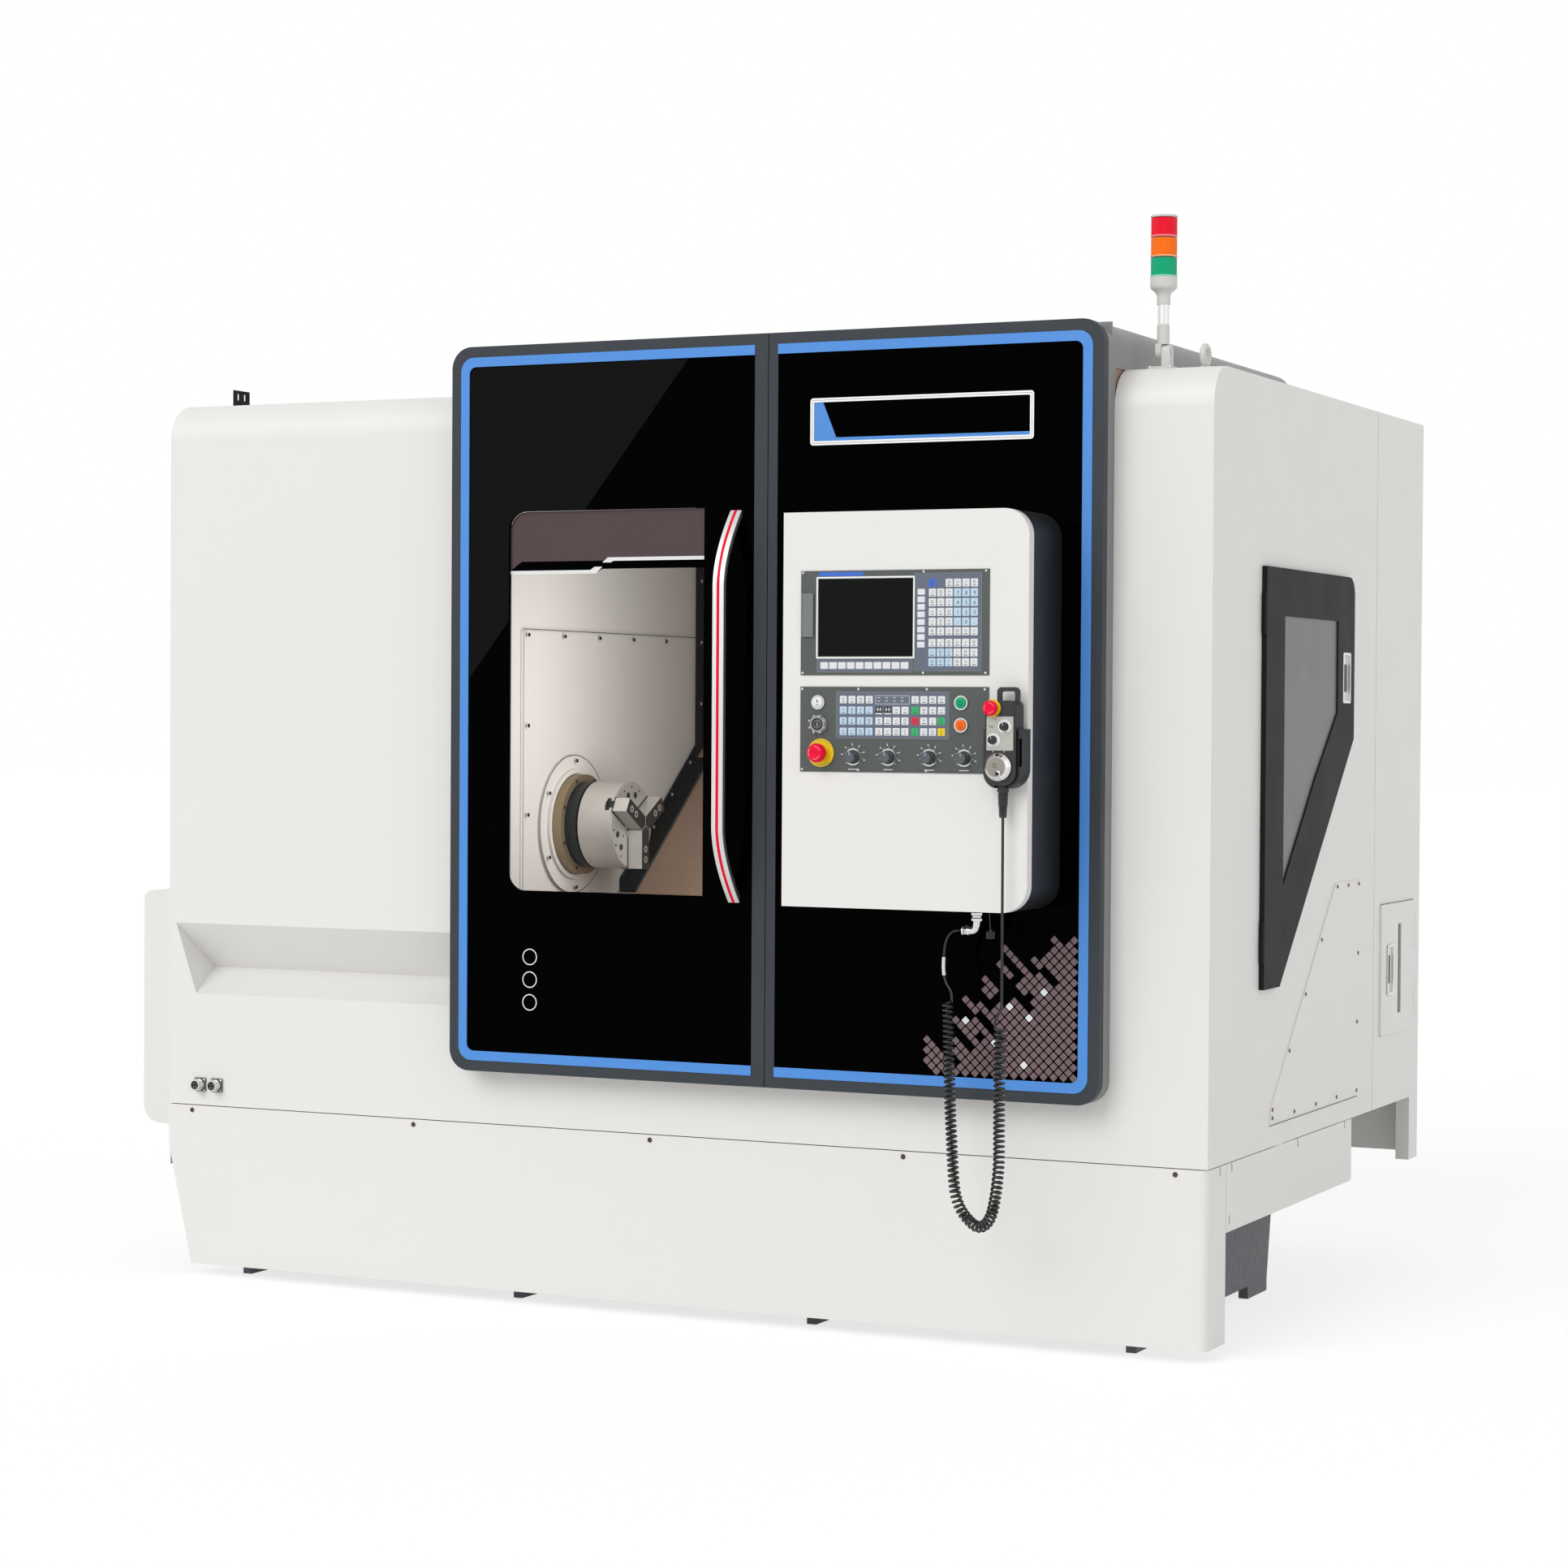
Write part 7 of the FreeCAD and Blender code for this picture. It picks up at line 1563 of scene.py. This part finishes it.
class LATHE_OT_chamber(bpy.types.Operator):
    """Marks and screws of the guard, edge strip, dressed chuck and end faces of the jaws"""

    bl_idname = "lathe.chamber"
    bl_label = "Chamber"

    def execute(self, context):
        self.guard()
        self.edge_strip()
        self.chuck()
        for name, degrees in (("jaw_low", 270), ("jaw_back", 30), ("jaw_front", 150)):
            self.jaw(name, math.radians(degrees))
        return {"FINISHED"}

    def guard(self):
        """screws, seams and rings of the guard's wall"""
        spots = [(WALL, 167 + 177 * k, 1558.6) for k in range(6)] + [(WALL, 167, z) for z in (1343, 1131)]
        spots += [(WALL + 8, *polar(AXIS, 154, math.radians(30 + 60 * k))) for k in range(6)]
        screws("guard_screws", spots, 5, FACING_RIGHT, material="dark_steel")
        form = Form("seam_shadow", "YZ")
        form.plate(141, 1040, 1571, 1573, WALL, WALL + 0.4)
        form.plate(141, 143, 940, 1571, WALL, WALL + 0.4)
        form.ring(AXIS, 168.2, 166.2, WALL, WALL + 0.4, 96)
        form.use("guard_paint")
        form.ring(AXIS, 133.6, 122.5, WALL, WALL + 8, 96)
        form.finish("guard_marks", "machine", smooth=30)

    def edge_strip(self):
        """dark strip with screws that covers the joint of guard, slanted deck and back wall"""
        low, bend, back, top, wide = 632.0, 1040.0, 1096.0, 2050.0, 36.0
        plate, ledge = WALL + 5, WALL + 44
        form = Form("strip_rubber", "YZ")
        form.prism([(low, deck(low)), (back, deck(back)), (back, top), (bend, top), (bend, deck(bend) + wide),
                    (low, deck(low) + wide)], WALL, plate)
        form.prism([(low, deck(low)), (bend, deck(bend)), (bend, deck(bend) + 3), (low, deck(low) + 3)],
                   plate, ledge)
        form.use("seam_shadow")
        line = [(low, deck(low) + 3), (back, deck(back) + 3), (back, deck(back) + 4), (low, deck(low) + 4)]
        form.prism(line, ledge - 2, ledge)
        form.finish("edge_strip", "machine")
        spots = [(plate, y, deck(y) + wide * 0.62) for y in (700, 800, 900, 1000)]
        spots += [(plate, bend + 22, z) for z in (1400, 1560, 1720, 1880)]
        screws("strip_screws", spots, 4.5, FACING_RIGHT, material="ground_steel")

    def chuck(self):
        """flange with bolts and dark sleeve behind the chuck, jaw slots and holes of its face as patches of
        painted shade, ring round the bore
        """
        front = CHUCK_FACE + 0.5
        holes = ((-14, 74, 8), (14, 74, 8), (0, 92, 3), (-24, 90, 2.5), (24, 90, 2.5), (0, 50, 3))
        form = Form("collar_brass", "YZ")
        form.ring(AXIS, 121.0, 119.4, 912, COLLAR_BACK, 96)
        form.ring(AXIS, 121.0, 78, COLLAR_BACK, COLLAR_FACE, 96)
        form.use("dark_steel")
        for k in range(8):
            bolt = polar(AXIS, 112.5, math.radians(22.5 + 45 * k))
            form.disc(bolt, 4.6, COLLAR_FACE, COLLAR_FACE + 1.6, 20)
        form.use("dark_sleeve_and_hole_shade")
        form.ring(AXIS, 104.6, 78, COLLAR_FACE, 972, 96)
        # jaw slots, their ends at the rim and the face holes as flat dark patches: painted shade where the
        # openings are
        for k in range(3):
            slot = math.radians(30 + 120 * k)
            form.spoke(AXIS, slot, 30, 104.6, 21.5, CHUCK_FACE, front)
            form.spoke(AXIS, slot, 103, 105.5, 9, CHUCK_FACE - 22, CHUCK_FACE)
            form.spoke(AXIS, slot, 103, 105.5, 16, CHUCK_FACE - 20, CHUCK_FACE - 10)
            middle = slot + math.radians(60)
            for turn, reach, radius in holes:
                form.disc(polar(AXIS, reach, middle + math.radians(turn)), radius, CHUCK_FACE, front, 20)
        form.use("collar_brass")
        form.ring(AXIS, 36, 33, CHUCK_FACE, front, 48)
        form.finish("chuck_dress", "spindle", smooth=30)

    def jaw(self, name, angle):
        """dark end face of a jaw and its two screws"""
        front = JAW_END + 0.5
        form = Form("dark_steel", "YZ")
        outline = ((12.5, -17.6), (2.5, 0), (12.5, 17.6), (103.6, 17.6), (103.6, -17.6))
        form.prism(along(AXIS, angle, outline), JAW_END, front)
        form.use("ground_steel")
        for reach in (57, 82):
            form.ring(polar(AXIS, reach, angle), 8.2, 4.2, front, JAW_END + 1.2, 24)
        form.finish(name + "_face", name, smooth=30)


# ------------ finishes of the carried-over pieces


NODE_FINISH = {
    "cast_iron": "bed_casting headstock carriage cross_slide",
    "white_paint": "skirts housing rear_cabinet side_cover control_face side_plate hatch_door",
    "hood_grey": "centre_hood",
    "guard_paint": "headstock_guard",
    "liner_steel": "chamber_liner",
    "ground_steel": "guideways spindle turret jaw_low jaw_front jaw_back",
    "slate_paint": "door_frame fixed_frame",
    "black_gloss": "door_panel fixed_panel name_plate",
    "blue_paint": "door_trim fixed_trim",
    "aluminium": "door_handle",
    "red_plastic": "handle_inlay",
    "black_plastic": "control_box pendant_body pendant_holder",
    "panel_grey": "panel_plates",
    "screen": "display_screen",
    "button_white": "white_button",
    "button_green": "green_button",
    "button_orange": "orange_button",
    "chrome": "key_switch pendant_wheel panel_screws cable_fittings",
    "stop_red": "estop_button pendant_estop",
    "knob_grey": "knob_1 knob_2 knob_3 knob_4",
    "knob_black": "axis_knob step_knob",
    "frame_grey": "usb_cover",
    "charcoal_paint": "side_door",
    "smoked_pane": "side_window",
    "tower_grey": "tower_light roof_fittings",
    "key_white": "membrane_keys",
    "lens_red": "tower_lenses",
}


class LATHE_OT_finishes(bpy.types.Operator):
    """Finishes of the pieces that come from the frame"""

    bl_idname = "lathe.finishes"
    bl_label = "Finishes"

    def execute(self, context):
        dressed = {"cord_straight", "cord_curl", "cord_tail", "door_window"}
        for label, nodes in NODE_FINISH.items():
            for name in nodes.split():
                self.dress(name, finish(label))
                dressed.add(name)
        self.dress("door_window", pane_finish())
        missing = set(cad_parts) - dressed
        if missing:
            raise RuntimeError("no finish for %s" % sorted(missing))
        return {"FINISHED"}

    def dress(self, name, material):
        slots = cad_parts[name].data.materials
        slots.clear()
        slots.append(material)


STEPS = (LATHE_OT_stage, LATHE_OT_finishes, LATHE_OT_cable, LATHE_OT_door, LATHE_OT_front,
         LATHE_OT_display_panel, LATHE_OT_machine_panel, LATHE_OT_buttons, LATHE_OT_knobs,
         LATHE_OT_handwheel_unit, LATHE_OT_cable_fittings, LATHE_OT_roof, LATHE_OT_side, LATHE_OT_chamber)


class LATHE_PT_pieces(bpy.types.Panel):
    """Lists the lathe's pieces in the sidebar"""

    bl_idname = "LATHE_PT_pieces"
    bl_label = "Turning Lathe"
    bl_space_type = "VIEW_3D"
    bl_region_type = "UI"
    bl_category = "Lathe"

    def draw(self, context):
        layout = self.layout
        for values in (context.scene.lathe_cable, context.scene.lathe_stage):
            box = layout.box()
            for name in values.__annotations__:
                box.prop(values, name)
        for step in STEPS:
            layout.operator(step.bl_idname)


CLASSES = (LatheCable, LatheStage, *STEPS, LATHE_PT_pieces)


def register():
    for cls in CLASSES:
        bpy.utils.register_class(cls)
    bpy.types.Scene.lathe_cable = bpy.props.PointerProperty(type=LatheCable)
    bpy.types.Scene.lathe_stage = bpy.props.PointerProperty(type=LatheStage)


def unregister():
    del bpy.types.Scene.lathe_stage
    del bpy.types.Scene.lathe_cable
    for cls in reversed(CLASSES):
        bpy.utils.unregister_class(cls)


def corners(box):
    """a box as plain lists of numbers"""
    return [[float(x) for x in corner] for corner in box]


def main():
    register()
    for step in STEPS:
        getattr(bpy.ops.lathe, step.bl_idname.partition(".")[2])()


if __name__ == "__main__":
    main()
